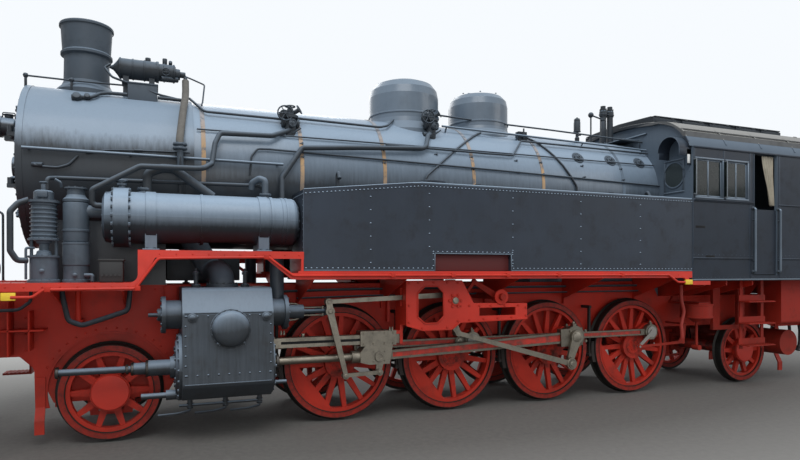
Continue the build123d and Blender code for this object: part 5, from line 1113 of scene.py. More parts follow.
def build_boiler_lines():
    """Conduits, thin pipes and rods laid along the boiler, with their clips."""
    conduit = Piece("boiler_conduits")
    conduit.pipes([
        (12, 60, 3, (3267, 890, 2880), (3250, 892, 3100), (3180, 884, 3190), (3050, 880, 3196), (1530, 881, 3172),
         (-119, 888, 3140), (-2379, 893, 3088), (-2750, 895, 3080)),
        (9, 60, 3, (3830, 809, 3374), (552, 797, 3397), (-2740, 797, 3400)),
        (13, 60, 3, (1603, 829, 3372), (184, 832, 3366), (-235, 830, 3370), (-476, 658, 3618), (-2740, 668, 3606)),
    ], both=True)
    conduit.finish(book.iron)

    pipes = Piece("boiler_top_pipes")
    pipes.pipes([
        (15, 90, 3, (3877, 300, 3838), (3735, 662, 3612), (2945, 666, 3608), (2840, 680, 3600)),
        (15, 90, 3, (2700, 640, 3628), (2662, 632, 3643), (1616, 650, 3626), (1500, 610, 3664), (1268, 300, 3860)),
        (13, 60, 3, (4720, 330, 4130), (4780, 345, 4080), (4700, 420, 3960), (4200, 470, 3800), (3950, 440, 3770)),
    ])
    pipes.add(pipe([(645, 288, 3962), (-100, 345, 3920), (-1168, 389, 3890), (-2709, 545, 3806),
                    (-2750, 549, 3804)], 12, 90, 3), both=True)
    pipes.finish(book.iron)

    clips = Piece("pipe_clips")
    for x in (2650, 1631, 900, 388, -300, -697, -1400, -2100):
        for angle in (78.5, 67.2):
            for side in SIDES:
                place, normal = on_boiler(x, angle, BOILER_R + 3, side)
                clips.repeat(bolt_head(8), [place + Vector((24, 0, 0))], normal)
                clips.add(bar(place, place + normal * 20, 13, 10))
    clips.finish(book.iron)

    clamps = Piece("band_clamps")
    for x in (3762, 2663, 1631, 388):
        for side in SIDES:
            place, normal = on_boiler(x, 118, BOILER_R + 5, side)
            clamps.repeat(block((-30, -34, 0), (30, 34, 22), 5), [place], normal)
    clamps.finish(book.band, slot="band_paint")

    covers = Piece("washout_cover_bolts")
    for x in (-1379, -1960, -2504):
        for side in SIDES:
            place, normal = on_boiler(x, 57.5, BOILER_R + 20, side)
            covers.bolt_circle(8, place, normal, 56, 8)
            covers.add(turned([(0, 0), (30, 0), (30, 10), (14, 16), (14, 30), (0, 30)], place, normal, 20))
            covers.add(ring(96, 70, 8, place - normal * 20, normal, 32, 3))
    covers.finish(book.iron)


def add_stop_valve(valves, x, y, z, radius, side):
    """Valve on the boiler's shoulder: pipe flanges, side outlets and three hand wheels."""
    def at(dx, dy, dz):
        return x + dx, side * (y + dy), z + dz

    valves.add(handwheel(at(0, 0, -8), UP, 62, 6))
    for out in (1, -1):
        tip = out * 1.1 * radius
        face = at(tip + out * 24, 0, -200)
        valves.add(bar(at(tip - out * 6, 0, -200), face, 0.6 * radius + 16, 24, 3))
        valves.bolt_circle(6, face, (out, 0, 0), 0.6 * radius + 6, 6)
    valves.bars([
        (at(0, 0, -255), at(0, 105, -235), 30, 20, 4), (at(0, 96, -237), at(0, 116, -233), 42, 20, 4),
        (at(74, -40, -106), at(74, 32, -106), 58, 24, 8), (at(74, -20, -106), at(74, 90, -106), 15, 14, 4),
        (at(-40, 0, -76), at(-96, 30, -42), 26, 16, 6), (at(20, 20, -330), at(20, 70, -330), 48, 20, 8),
        (at(-20, 62, -330), at(-112, 62, -262), 10, 10), (at(60, 0, -330), at(120, 0, -330), 40, 20, 5),
    ])
    valves.add(handwheel(at(0, 140, -230), (0, side, 0.15), 46, 5))
    valves.add(handwheel(at(74, 72, -106), (0, side, 0.08), 96, 8, 6))
    valves.add(handwheel(at(-98, 32, -40), (-0.75, side * 0.45, 0.45), 58, 6))
    valves.bolt_circle(7, at(0, 0, -118), UP, radius + 14, 8)
    valves.bolt_circle(8, at(20, 70, -330), (0, side, 0), 34, 6)


def build_valves():
    """Hand wheels, flanges, levers and bolts of the valves, domes, generator and whistle."""
    valves = Piece("valve_wheels_and_flanges")
    for x, y, radius, height in ((2768, 700, 70, 799), (884, 612, 62, 960)):
        for side in SIDES:
            add_stop_valve(valves, x, y, BOILER_Z + height, radius, side)
    valves.finish(book.iron)

    domes = Piece("dome_fittings")
    sand_x = -160
    for x, r in ((1021, 482), (sand_x, 431)):
        domes.add(ring(r + 12, r - 4, 22, (x, 0, 3920), UP, 72, 5))
    lid = [(0, 0), (60, 0), (60, 8), (26, 14), (26, 30), (40, 34), (40, 40), (0, 44)]
    domes.add(turned(lid, (sand_x, 0, 4380), UP, 24))
    for x in (-320, -80):
        domes.add(pipe([(x, 0, 4372), (x, 0, 4408), (x + 80, 0, 4408), (x + 80, 0, 4372)], 10, 18))
    places = [(sand_x + 330 * math.cos(a), 330 * math.sin(a), 4356) for a in map(math.radians, range(22, 382, 45))]
    domes.repeat(bolt_head(10), places, UP)
    domes.bars([((x, -8, 4300), (x, 8, 4300), 8, 10) for x in (640, 1400)])
    domes.finish(book.dome)

    generator = Piece("generator_fittings")
    y, z = 330, BOILER_Z + 1136
    for x, r in ((4360, 112), (4480, 112), (4612, 112), (4150, 98), (4046, 98)):
        generator.add(ring(r + 7, r - 10, 16, (x, y, z), AHEAD, 48, 4))
    generator.bolt_circle(8, (4240, y, z), AHEAD, 108, 10)
    generator.bolt_circle(7, (4040, y, z), ASTERN, 80, 8)
    generator.bars([
        ((4330, y, z + 100), (4330, y, z + 150), 30, 20, 5), ((4150, y, z + 88), (4150, y, z + 165), 26, 16, 4),
        ((4090, y, z + 88), (4090, y + 60, z + 120), 20, 16, 4),
        ((4140, y + 60, z - 20), (4140, y + 130, z - 20), 12, 12),
        ((4010, y + 20, z - 70), (4190, y + 90, z - 95), 30, 16, 6), ((3990, y, z), (3925, y, z), 34, 20, 6),
    ])
    generator.add(handwheel((4140, y + 118, z - 20), OUT, 46, 5))
    generator.finish(book.iron)
    seat = Piece("generator_seat")
    seat.blocks([((4232, 190, 3700), (4540, 470, 3910), 5), ((4222, 180, 3900), (4550, 480, 3916), 4)])
    seat.blocks([((x - 42, y - 80, 3912), (x + 42, y + 80, 3936), 4) for x in (4290, 4560)])
    seat.finish(book.chimney)

    safety = Piece("safety_valve_levers")
    for x in (-2465, -2602):
        safety.add(ring(66, 40, 14, (x, 0, 4330), UP, 28, 3))
        safety.bolt_circle(7, (x, 0, 3872), UP, 64, 8)
        for angle in range(0, 360, 60):
            dx, y = 52 * math.cos(math.radians(angle)), 52 * math.sin(math.radians(angle))
            safety.add(bar((x + dx, y, 4330), (x + dx, y, 4430), 6, 8))
    ball = [(0, -44), (24, -38), (40, -18), (44, 0), (40, 18), (24, 38), (0, 44)]
    safety.add(turned(ball, (-2170, 62, 4288), UP, 24))
    safety.bars([
        ((-2420, 30, 4250), (-2180, 60, 4285), 12, 12), ((-2170, 62, 3800), (-2170, 62, 4288), 12, 12),
        ((-2330, 150, 3790), (-2330, 150, 4200), 26, 16, 5), ((-2330, 150, 4190), (-2330, 150, 4215), 38, 16, 5),
    ])
    safety.finish(book.iron)

    whistle = Piece("whistle_bell")
    whistle.add(turned([(47, 0), (50, 0), (50, 130), (47, 140)], (-1690, 330, 3930), UP, 28))
    whistle.add(ring(56, 40, 12, (-1690, 330, 3918), UP, 28, 3))
    whistle.add(bar((-1690, 330, 3860), (-1760, 330, 3880), 10, 10))
    whistle.finish(book.iron)

    sand = Piece("sand_valve_levers")
    for side in SIDES:
        y = side * 552
        sand.repeat(bolt_head(8), [(x, y, z) for x in (-625, -525) for z in (3580, 3760)], (0, side, 0))
        sand.add(bar((-575, y, 3700), (-575, y + side * 34, 3700), 20, 14))
        sand.add(link((-575, 3700), (-575, 3820), 24, 18, *sorted((y + side * 18, y + side * 30))))
    sand.finish(book.iron)


def build_smokebox():
    """Rivets, rings and door furniture of the smokebox, chimney rings and the pipes beside them."""
    rivets = Piece("smokebox_rivets")
    for x in (SMOKEBOX_REAR + 34, 5515):
        for side in SIDES:
            marks = [on_boiler(x, 6 + step * 4.6, SMOKEBOX_R, side) for step in range(30)]
            rivets.repeat(rivet_head(8), [place for place, normal in marks], [normal for place, normal in marks])
    rivets.finish(book.smoke)

    rings = Piece("smokebox_rings")
    rings.add(ring(SMOKEBOX_R + 7, SMOKEBOX_R - 10, 60, (5488, 0, BOILER_Z), AHEAD, 96, 4))
    rings.add(ring(SMOKEBOX_R + 6, SMOKEBOX_R - 10, 90, (3866, 0, BOILER_Z), AHEAD, 96, 4))
    rings.bolt_circle(12, (5551, 0, BOILER_Z), AHEAD, 850, 40)
    rings.finish(book.smoke)

    chimney = Piece("chimney_rings")
    base, axis_x, flange = BOILER_Z + SMOKEBOX_R, 4985, 300
    chimney.add(ring(270, 226, 34, (axis_x, 0, base + 414), UP, 64, 8))
    chimney.add(ring(284, 262, 30, (axis_x, 0, base + 736), UP, 64, 8))
    for index in range(16):
        angle = 2 * math.pi * index / 16
        y = flange * math.sin(angle)
        z = BOILER_Z + math.sqrt(SMOKEBOX_R ** 2 - y * y) + 6
        chimney.repeat(bolt_head(13), [(axis_x + flange * math.cos(angle), y, z)], (0, y / SMOKEBOX_R, 1))
    chimney.finish(book.chimney)

    rail = Piece("smokebox_top_rails")
    rail.add(pipe([(5549, 300, 3798), (5549, 300, 3912), (5110, 300, 3908), (4556, 300, 3915)], 10, 30, 3),
             both=True)
    for x in (5549, 5110):
        rail.add(bar((x, 300, 3790), (x, 300, 3926), 14, 14, 4), both=True)
        rail.add(turned([(0, -28), (20, -20), (28, 0), (20, 20), (0, 28)], (x, 300, 3914), UP, 18), both=True)
    rail.finish(book.iron)

    fittings = Piece("smokebox_side_fittings")
    fittings.bars([
        ((5080, 610, 3642), (4985, 600, 3655), 34, 18, 8), ((5030, 560, 3630), (5030, 640, 3670), 40, 18, 8),
        ((4985, 600, 3655), (4890, 596, 3666), 22, 16, 4), ((4930, 560, 3650), (4930, 628, 3680), 28, 16, 5),
        ((5400, 880, 2866), (5300, 916, 2862), 24, 14, 5), ((4462, 893, 3074), (4380, 893, 3076), 15, 12, 4),
    ])
    fittings.pipes([
        (20, 60, 3, (4900, 597, 3665), (4850, 560, 3700), (4822, 500, 3738), (4740, 470, 3764), (4545, 466, 3768)),
        (20, 60, 3, (4230, 466, 3768), (4000, 466, 3766), (3900, 470, 3760)),
        (13, 60, 3, (5380, 909, 2862), (5293, 912, 2846), (5170, 912, 2844), (5071, 914, 2880), (4990, 906, 2976)),
        (8, 60, 3, (4918, 899, 3015), (4700, 896, 3060), (4438, 894, 3074), (3908, 892, 3090)),
        (9, 40, 3, (3989, 330, 4102), (3860, 332, 4062), (3712, 336, 4008), (3740, 420, 3780), (3753, 440, 3734)),
    ])
    fittings.finish(book.iron)

    lagged = Piece("lagged_pipe")
    curve = [on_boiler(3930 + (angle - 27) * 1.7, angle, 952)[0] for angle in (29, 38, 47, 56)]
    lagged.add(pipe([(3925, 334, 4030), (3925, 372, 3905), *curve, (4015, 985, 3210), (4012, 998, 3150)], 39, 70))
    lagged.finish(book.lagging)
    union = Piece("lagged_pipe_flange")
    union.bars([((4012, 1000, z - 11), (4012, 1000, z + 11), radius, 28, 4)
                for z, radius in ((3150, 74), (3128, 50), (3106, 74))])
    union.bolt_circle(9, (4012, 1000, 3161), UP, 58, 6)
    union.add(bar((4012, 1000, 3096), (4010, 980, 2930), 33, 20))
    z = 2618
    for x in (4367, 3140):
        union.bars([((x, PUMP_Y, z - 36), (x, PUMP_Y, z - 12), 64, 28, 4),
                    ((x, PUMP_Y, z - 12), (x, PUMP_Y, z + 6), 46, 24),
                    ((x, PUMP_Y, z + 6), (x, PUMP_Y, z + 28), 64, 28, 4)])
        union.bolt_circle(9, (x, PUMP_Y, z + 28), UP, 50, 6)
    union.add(pipe([(3140, PUMP_Y, 2640), (3140, PUMP_Y, 2790), (3200, 1120, 2815), (3270, 1080, 2770),
                    (3276, 1062, 2700)], 36))
    union.finish(book.pump)

    door = Piece("smokebox_door_furniture")
    x, hinge_bolts_x = 5700, 5612
    door.add(ring(120, 98, 24, (x - 6, 0, BOILER_Z), AHEAD, 48, 8))
    for index in range(4):
        angle = math.pi * index / 2 + 0.4
        tip = (x + 6, 110 * math.cos(angle), BOILER_Z + 110 * math.sin(angle))
        door.add(bar((x + 6, 0, BOILER_Z), tip, 9, 10))
    door.bars([((x - 20, 0, BOILER_Z), (x + 34, 0, BOILER_Z), 30, 20, 6),
               ((x + 24, 0, BOILER_Z), (x + 24, -150, BOILER_Z - 130), 12, 12)])
    for index in range(10):
        angle = math.radians(index * 36 + 18)
        out = Vector((0, math.cos(angle), math.sin(angle)))
        clamp = Vector((5607, 0, BOILER_Z)) + out * 671
        door.add(bar(clamp - out * 40, clamp + out * 52, 15, 12, 4))
        door.repeat(bolt_head(15), [clamp + Vector((7, 0, 0))], AHEAD)
    door.add(ring(712, 694, 10, (5571, 0, BOILER_Z), AHEAD, 96, 3))
    door.repeat(bolt_head(12), [(hinge_bolts_x + (570 - y) * 0.07, y, z) for z in (BOILER_Z - 256, BOILER_Z + 264)
                                for y in (330, 450, 570)], AHEAD)
    door.finish(book.smoke, "smokebox_door")


def build_pumps():
    """Bolts, bands, valves and small pipes of the air pump, feed pump and heater."""
    y = PUMP_Y
    air_x, feed_x = 5258, 4981
    bolts = Piece("pump_and_heater_bolts")
    for size, x, normal, radius, count in ((20, 4642, AHEAD, 279, 20), (20, 4505, ASTERN, 279, 20),
                                           (13, 4735, AHEAD, 168, 10), (12, 2812, ASTERN, 195, 14)):
        bolts.bolt_circle(size, (x, y, HEATER_Z), normal, radius, count)
    bolts.repeat(bolt_head(12), [(x + dx, y + dy, 2024) for x in HEATER_FEET for dx in (-34, 34)
                                 for dy in (-214, 214)], UP)
    for x, rows in ((feed_x, ((1713, 118, 12), (2078, 110, 12), (2204, 114, 12), (2500, 106, 10), (2617, 90, 8))),
                    (air_x, ((1713, 134, 12), (1948, 122, 12), (2112, 130, 14), (2478, 126, 12), (2560, 74, 6)))):
        for z, radius, count in rows:
            bolts.bolt_circle(9, (x, y, z), UP, radius - 10, count)
    bolts.finish(book.pump)

    bands = Piece("heater_bands_and_feet")
    for x in (3795, 2918, 2962):
        bands.add(ring(268, 255, 30, (x, y, HEATER_Z), AHEAD, 64, 3))
    for x in HEATER_FEET:
        bands.add(ring(272, 256, 96, (x - 48, y, HEATER_Z), AHEAD, 64, 3))
        bands.add(block((x - 80, y - 235, 2005), (x + 80, y + 235, 2022), 5))
    valve = [(0, 0), (60, 0), (60, 16), (30, 20), (30, 60), (46, 64), (46, 84), (0, 84)]
    bands.add(turned(valve, (4570, y, 2600), UP, 28))
    bands.add(handwheel((4570, y, 2706), UP, 52, 6))
    bands.finish(book.heater)

    details = Piece("pump_valves_and_covers")
    cock = [(0, 0), (22, 0), (22, 18), (12, 24), (12, 40), (0, 44)]
    for place in ((air_x, y + 122, 1800), (feed_x, y + 118, 1760)):
        details.add(turned(cock, place, OUT, 20))
    details.bars([((feed_x, y, 2085), (feed_x, y, 2470), 116, 48, 10),
                  ((air_x, y, 2560), (air_x, y, 2640), 24, 16, 4)])
    details.add(handwheel((air_x, y, 2652), UP, 40, 5))
    details.add(block((5210, y + 60, 2500), (5306, y + 128, 2566), 12))
    details.pipes([
        (12, 40, 4, (5330, y + 40, 2020), (5400, y + 60, 2020), (5400, y + 60, 1720)),
        (18, 40, 4, (4900, y + 90, 1760), (4830, y + 110, 1760), (4830, y + 110, 1700)),
        (12, 30, 4, (5110, y, 2620), (5110, y + 30, 2660), (5160, y + 30, 2690)),
    ])
    details.finish(book.pump)

    lub = Piece("lubricator")
    lub.blocks([((4550, 1180, 1690), (4760, 1420, 1900), 14), ((4540, 1170, 1896), (4770, 1430, 1916), 8)])
    lub.bars([((x, 1440, 1760), (x, 1410, 1760), 12, 10) for x in range(4580, 4770, 38)])
    lub.finish(book.rubber)


def build_cylinders():
    """Cover plates, studs, flanges and drain cocks of both cylinders."""
    y = CYLINDER_SIDE
    disc_x, disc_z = 3540, 1205
    piston, valve = (CYLINDER_Y, PISTON_Z), (VALVE_Y, VALVE_Z)
    studs = Piece("cylinder_studs")
    for side in SIDES:
        out = (0, side, 0)
        for x, (centre_y, z), normal, radius, count, size in (
            (4039, piston, AHEAD, 328, 18, 16), (4067, piston, AHEAD, 200, 12, 14),
            (3072, piston, ASTERN, 318, 18, 16),
            (4200, valve, AHEAD, 172, 12, 13), (2902, valve, ASTERN, 172, 12, 13), (4240, valve, AHEAD, 50, 6, 8),
            (4330, piston, AHEAD, 70, 6, 10),
        ):
            studs.bolt_circle(size, (x, side * centre_y, z), normal, radius, count)
        studs.bolt_circle(10, (disc_x, side * (y + 9), disc_z), out, 191, 20)
        face = [(x, side * y, z) for x in spaced_numbers(3140, 3970, 9) for z in (740, 1340)]
        face += [(x, side * y, z) for x in (3130, 3980) for z in spaced_numbers(740, 1340, 7)]
        studs.repeat(rivet_head(11), face, out)
        for x in (3344, 3856):
            studs.bolt_circle(9, (x, side * CYLINDER_Y, 1652), UP, 38, 6)
        studs.bolt_circle(14, (3582, side * 1000, 1662), UP, 150, 12)
    studs.finish(book.cast)

    plates = Piece("cylinder_cover_plates")
    plates.add(ring(205, 180, 10, (disc_x, y - 2, disc_z), OUT, 64, 3), both=True)
    plates.blocks([((3120, y - 3, z - 7), (3990, y + 5, z + 7), 3) for z in (646, 1372)], both=True)
    dome = [(0, 0), (190, 0), (188, 40), (180, 62), (155, 82), (110, 96), (55, 103), (0, 105)]
    plates.add(turned(dome, (disc_x, y, disc_z), OUT, 64), both=True)
    for x in (3412, 3668):
        plates.bars([((x, y - 2, 1058), (x, y + 46, 1058), 15, 14, 3),
                     ((x - 10, y + 30, 1040), (x + 10, y + 30, 1076), 9, 10)], both=True)
    for x in (3176, 3914):
        for profile in ([(0, 0), (48, 0), (48, 10), (40, 14), (0, 14)],
                        [(0, 0), (30, 0), (30, 16), (22, 22), (0, 22)]):
            plates.add(turned(profile, (x, y, 1325), OUT, 28), both=True)
    plates.finish(book.cast)

    drains = Piece("drain_cocks")
    cock = [(0, 0), (34, 0), (34, 10), (20, 16), (20, 40), (32, 44), (32, 60), (0, 64)]
    for x in (3190, 3554, 3919):
        drains.add(turned(cock, (x, CYLINDER_Y, 400), DOWN, 18), both=True)
        drains.add(pipe([(x, CYLINDER_Y, 352), (x, 1060, 320), (x + 120, 1080, 300), (x + 320, 1090, 296)],
                        13, 40, 2), both=True)
    drains.finish(book.iron)

    rings = Piece("cylinder_gland_rings")
    for outer, inner, height, x, normal, edge in (
        (88, 34, 26, 4330, AHEAD, 6), (68, 34, 26, 4470, AHEAD, 6), (52, 34, 26, 4520, AHEAD, 6),
        (60, 34, 30, 5150, AHEAD, 8), (96, 60, 30, 3012, ASTERN, 6),
    ):
        rings.add(ring(outer, inner, height, (x, CYLINDER_Y, PISTON_Z), normal, 32, edge), both=True)
    rings.finish(book.dark_steel, slot="bare_steel")


def crank_place(axle_x, angle, radius=CRANK_RADIUS):
    """Point in side view at a crank angle round an axle."""
    return axle_x + radius * math.cos(angle), COUPLED_Z + radius * math.sin(angle)


def build_rods():
    """Oil cups, bushes, wedges and bolts of the rods and valve gear."""
    for side, angle, body in ((LEFT, CRANK_ANGLE, "coupling_rods_left"),
                              (RIGHT, RIGHT_CRANK_ANGLE, "coupling_rods_right")):
        rods = Piece(body + "_fittings")
        out = (0, side, 0)
        oil_y, face_y = side * 905, side * 937
        pins = [crank_place(x, angle) for x in COUPLED_X]
        for x, z in pins:
            if (x, z) != pins[2]:
                rods.add(ring(76, 62, 6, (x, side * 936, z), out, 40, 2))
            rods.add(ring(106, 84, 4, (x, face_y, z), out, 48, 1.5))
            rods.bars([((x, oil_y, z + 136), (x, oil_y, z + 158), 15, 16, 4),
                       ((x, oil_y, z + 156), (x, oil_y, z + 164), 8, 12)])
            rods.repeat(bolt_head(9), [(x + dx, face_y, z + dz) for dx in (-96, 96) for dz in (40, -40)], out)
        z = pins[0][1]
        for knuckle in (pins[1][0] + 190, pins[2][0] - 190):
            rods.add(turned([(0, 0), (34, 0), (34, 8), (24, 12), (0, 12)], (knuckle, side * 932, z), out, 28))
            rods.bolt_circle(7, (knuckle, side * 934, z), out, 48, 4, 0.8)
        rods.finish(book.steel, body, slot="bare_steel")

    motion = Piece("motion_fittings")
    head_x, return_x, return_z, plate_y = 1800, -930, 556, 1132
    crank_x, crank_z = crank_place(COUPLED_X[2], CRANK_ANGLE)
    run = Vector((crank_x - head_x, crank_z - PISTON_Z)).normalized()
    wedges = [(crank_x - run.x * dx - run.y * dz, crank_z - run.y * dx + run.x * dz)
              for dx, dz in ((-170, 70), (-170, -70), (80, 84), (80, -84))]
    for side in SIDES:
        out = (0, side, 0)
        motion.repeat(bolt_head(15), [(x, side * 1095, z) for x, z in wedges], out)
        motion.repeat(bolt_head(15), [(x, side * plate_y, z) for x in (1620, 1730, 1870, 1990)
                                      for z in (945, 1072)], out)
        motion.repeat(bolt_head(10), [(x, side * plate_y, z) for x in (1730, 1870) for z in (740, 850)], out)
        motion.bolt_circle(10, (crank_x, side * 1138, crank_z), out, 62, 4, 0.5)
    motion.bars([((crank_x, CYLINDER_Y, crank_z + 176), (crank_x, CYLINDER_Y, crank_z + 204), 20, 18, 5),
                 ((head_x, CYLINDER_Y, 882), (head_x, CYLINDER_Y, 916), 16, 16, 4),
                 ((return_x, 1170, return_z + 78), (return_x, 1170, return_z + 100), 13, 14, 3)], both=True)
    motion.add(ring(60, 30, 8, (head_x, 1143, PISTON_Z), OUT, 36, 2), both=True)
    motion.add(ring(76, 56, 8, (return_x, 1188, return_z), OUT, 40, 2), both=True)
    motion.add(turned([(0, 0), (66, 0), (66, 6), (40, 12), (0, 14)], (crank_x, 1138, crank_z), OUT, 32), both=True)
    # pin heads of the valve gear: x, z, y of the outer face, radius
    for x, z, y, r in ((812, 1042, 1190, 26), (return_x, return_z, 1204, 34), (2240, 600, 1230, 24),
                       (2440, 1452, 1230, 24), (2425, VALVE_Z, 1236, 26), (1812, 612, 1194, 22),
                       (906, 1512, 1256, 26), (892, 1444, 1334, 34)):
        motion.add(turned([(0, 0), (r, 0), (r, 5), (r - 5, 9), (0, 9)], (x, y, z), OUT, 24), both=True)
        motion.add(bar((x - r * 0.8, y + 6, z), (x + r * 0.8, y + 6, z), 3, 8), both=True)
    motion.finish(book.steel, slot="bare_steel")

    bars = Piece("slide_bar_bolts")
    top = 1050
    for side in SIDES:
        bars.repeat(bolt_head(14), [(x, side * (CYLINDER_Y + dy), top) for x in (1580, 3040)
                                    for dy in (-40, 40)], UP)
    bars.bars([((x, CYLINDER_Y, top), (x, CYLINDER_Y, top + 40), 22, 16, 5) for x in (2300, 2700)], both=True)
    bars.finish(book.steel, slot="bare_steel")

    brackets = Piece("motion_bracket_bolts")
    link_x, link_z = 892, 1444
    outline = [(1500, 1660), (1500, 1400), (1500, 1200), (1330, 1124), (1000, 1124), (860, 1200), (820, 1380),
               (860, 1660), (1000, 1664), (1180, 1664), (1380, 1664), (700, 1380), (560, 1376), (400, 1376),
               (200, 1372), (0, 1370), (-110, 1340), (-110, 1240), (100, 1222), (300, 1218), (500, 1214),
               (700, 1206)]
    for side in SIDES:
        brackets.repeat(bolt_head(12), [(x, side * BRACKET_Y, z) for x, z in outline], (0, side, 0))
        brackets.bolt_circle(16, (link_x, side * BRACKET_Y, link_z), (0, side, 0), 76, 6)
    brackets.add(ring(62, 42, 12, (link_x, BRACKET_Y - 1, link_z), OUT, 40, 3), both=True)
    brackets.add(ring(96, 42, 16, (250, BRACKET_Y - 1, 1480), OUT, 40, 4), both=True)
    rim = [(1535, 1690), (1535, 1165), (1330, 1100), (940, 1100), (830, 1180), (-130, 1200)]
    window = [(1390, 1540), (1390, 1260), (1300, 1180), (1130, 1180), (1050, 1260), (1050, 1540), (1130, 1620),
              (1300, 1620), (1390, 1540)]
    for line, width, y_low, y_high in ((rim, 18, 1312, 1334), (window, 16, 1316, 1330)):
        for start, end in runs(line):
            brackets.add(link(start, end, width, width, y_low, y_high, 3), both=True)
    brackets.finish(book.red, slot="red_paint")


def build_wheels():
    """Hub bolts, tyre rings and hub covers of every wheelset."""
    for name, (_, _, rim) in WHEELSETS.items():
        low, high = node_mm(name)
        x, z = (low.x + high.x) / 2, (low.z + high.z) / 2
        trim = Piece(name + "_trim")
        for side in SIDES:
            out = (0, side, 0)
            trim.add(ring(rim + 14, rim - 2, 6, (x, side * 818, z), out, 72, 2))
            trim.add(ring(126, 92, 8, (x, side * 844, z), out, 48, 3))
            trim.bolt_circle(9, (x, side * 846, z), out, 60 if rim == COUPLED_RIM else 70, 6)
        trim.finish(book.wheels[name], name, slot="red_paint")
        if rim == CARRYING_RIM:
            hubs = Piece(name + "_hub_covers")
            hubs.add(turned([(0, 0), (186, 0), (186, 20), (178, 30), (0, 36)], (x, 832, z), OUT, 56), both=True)
            hubs.finish(book.edge_red, name, slot="red_paint")


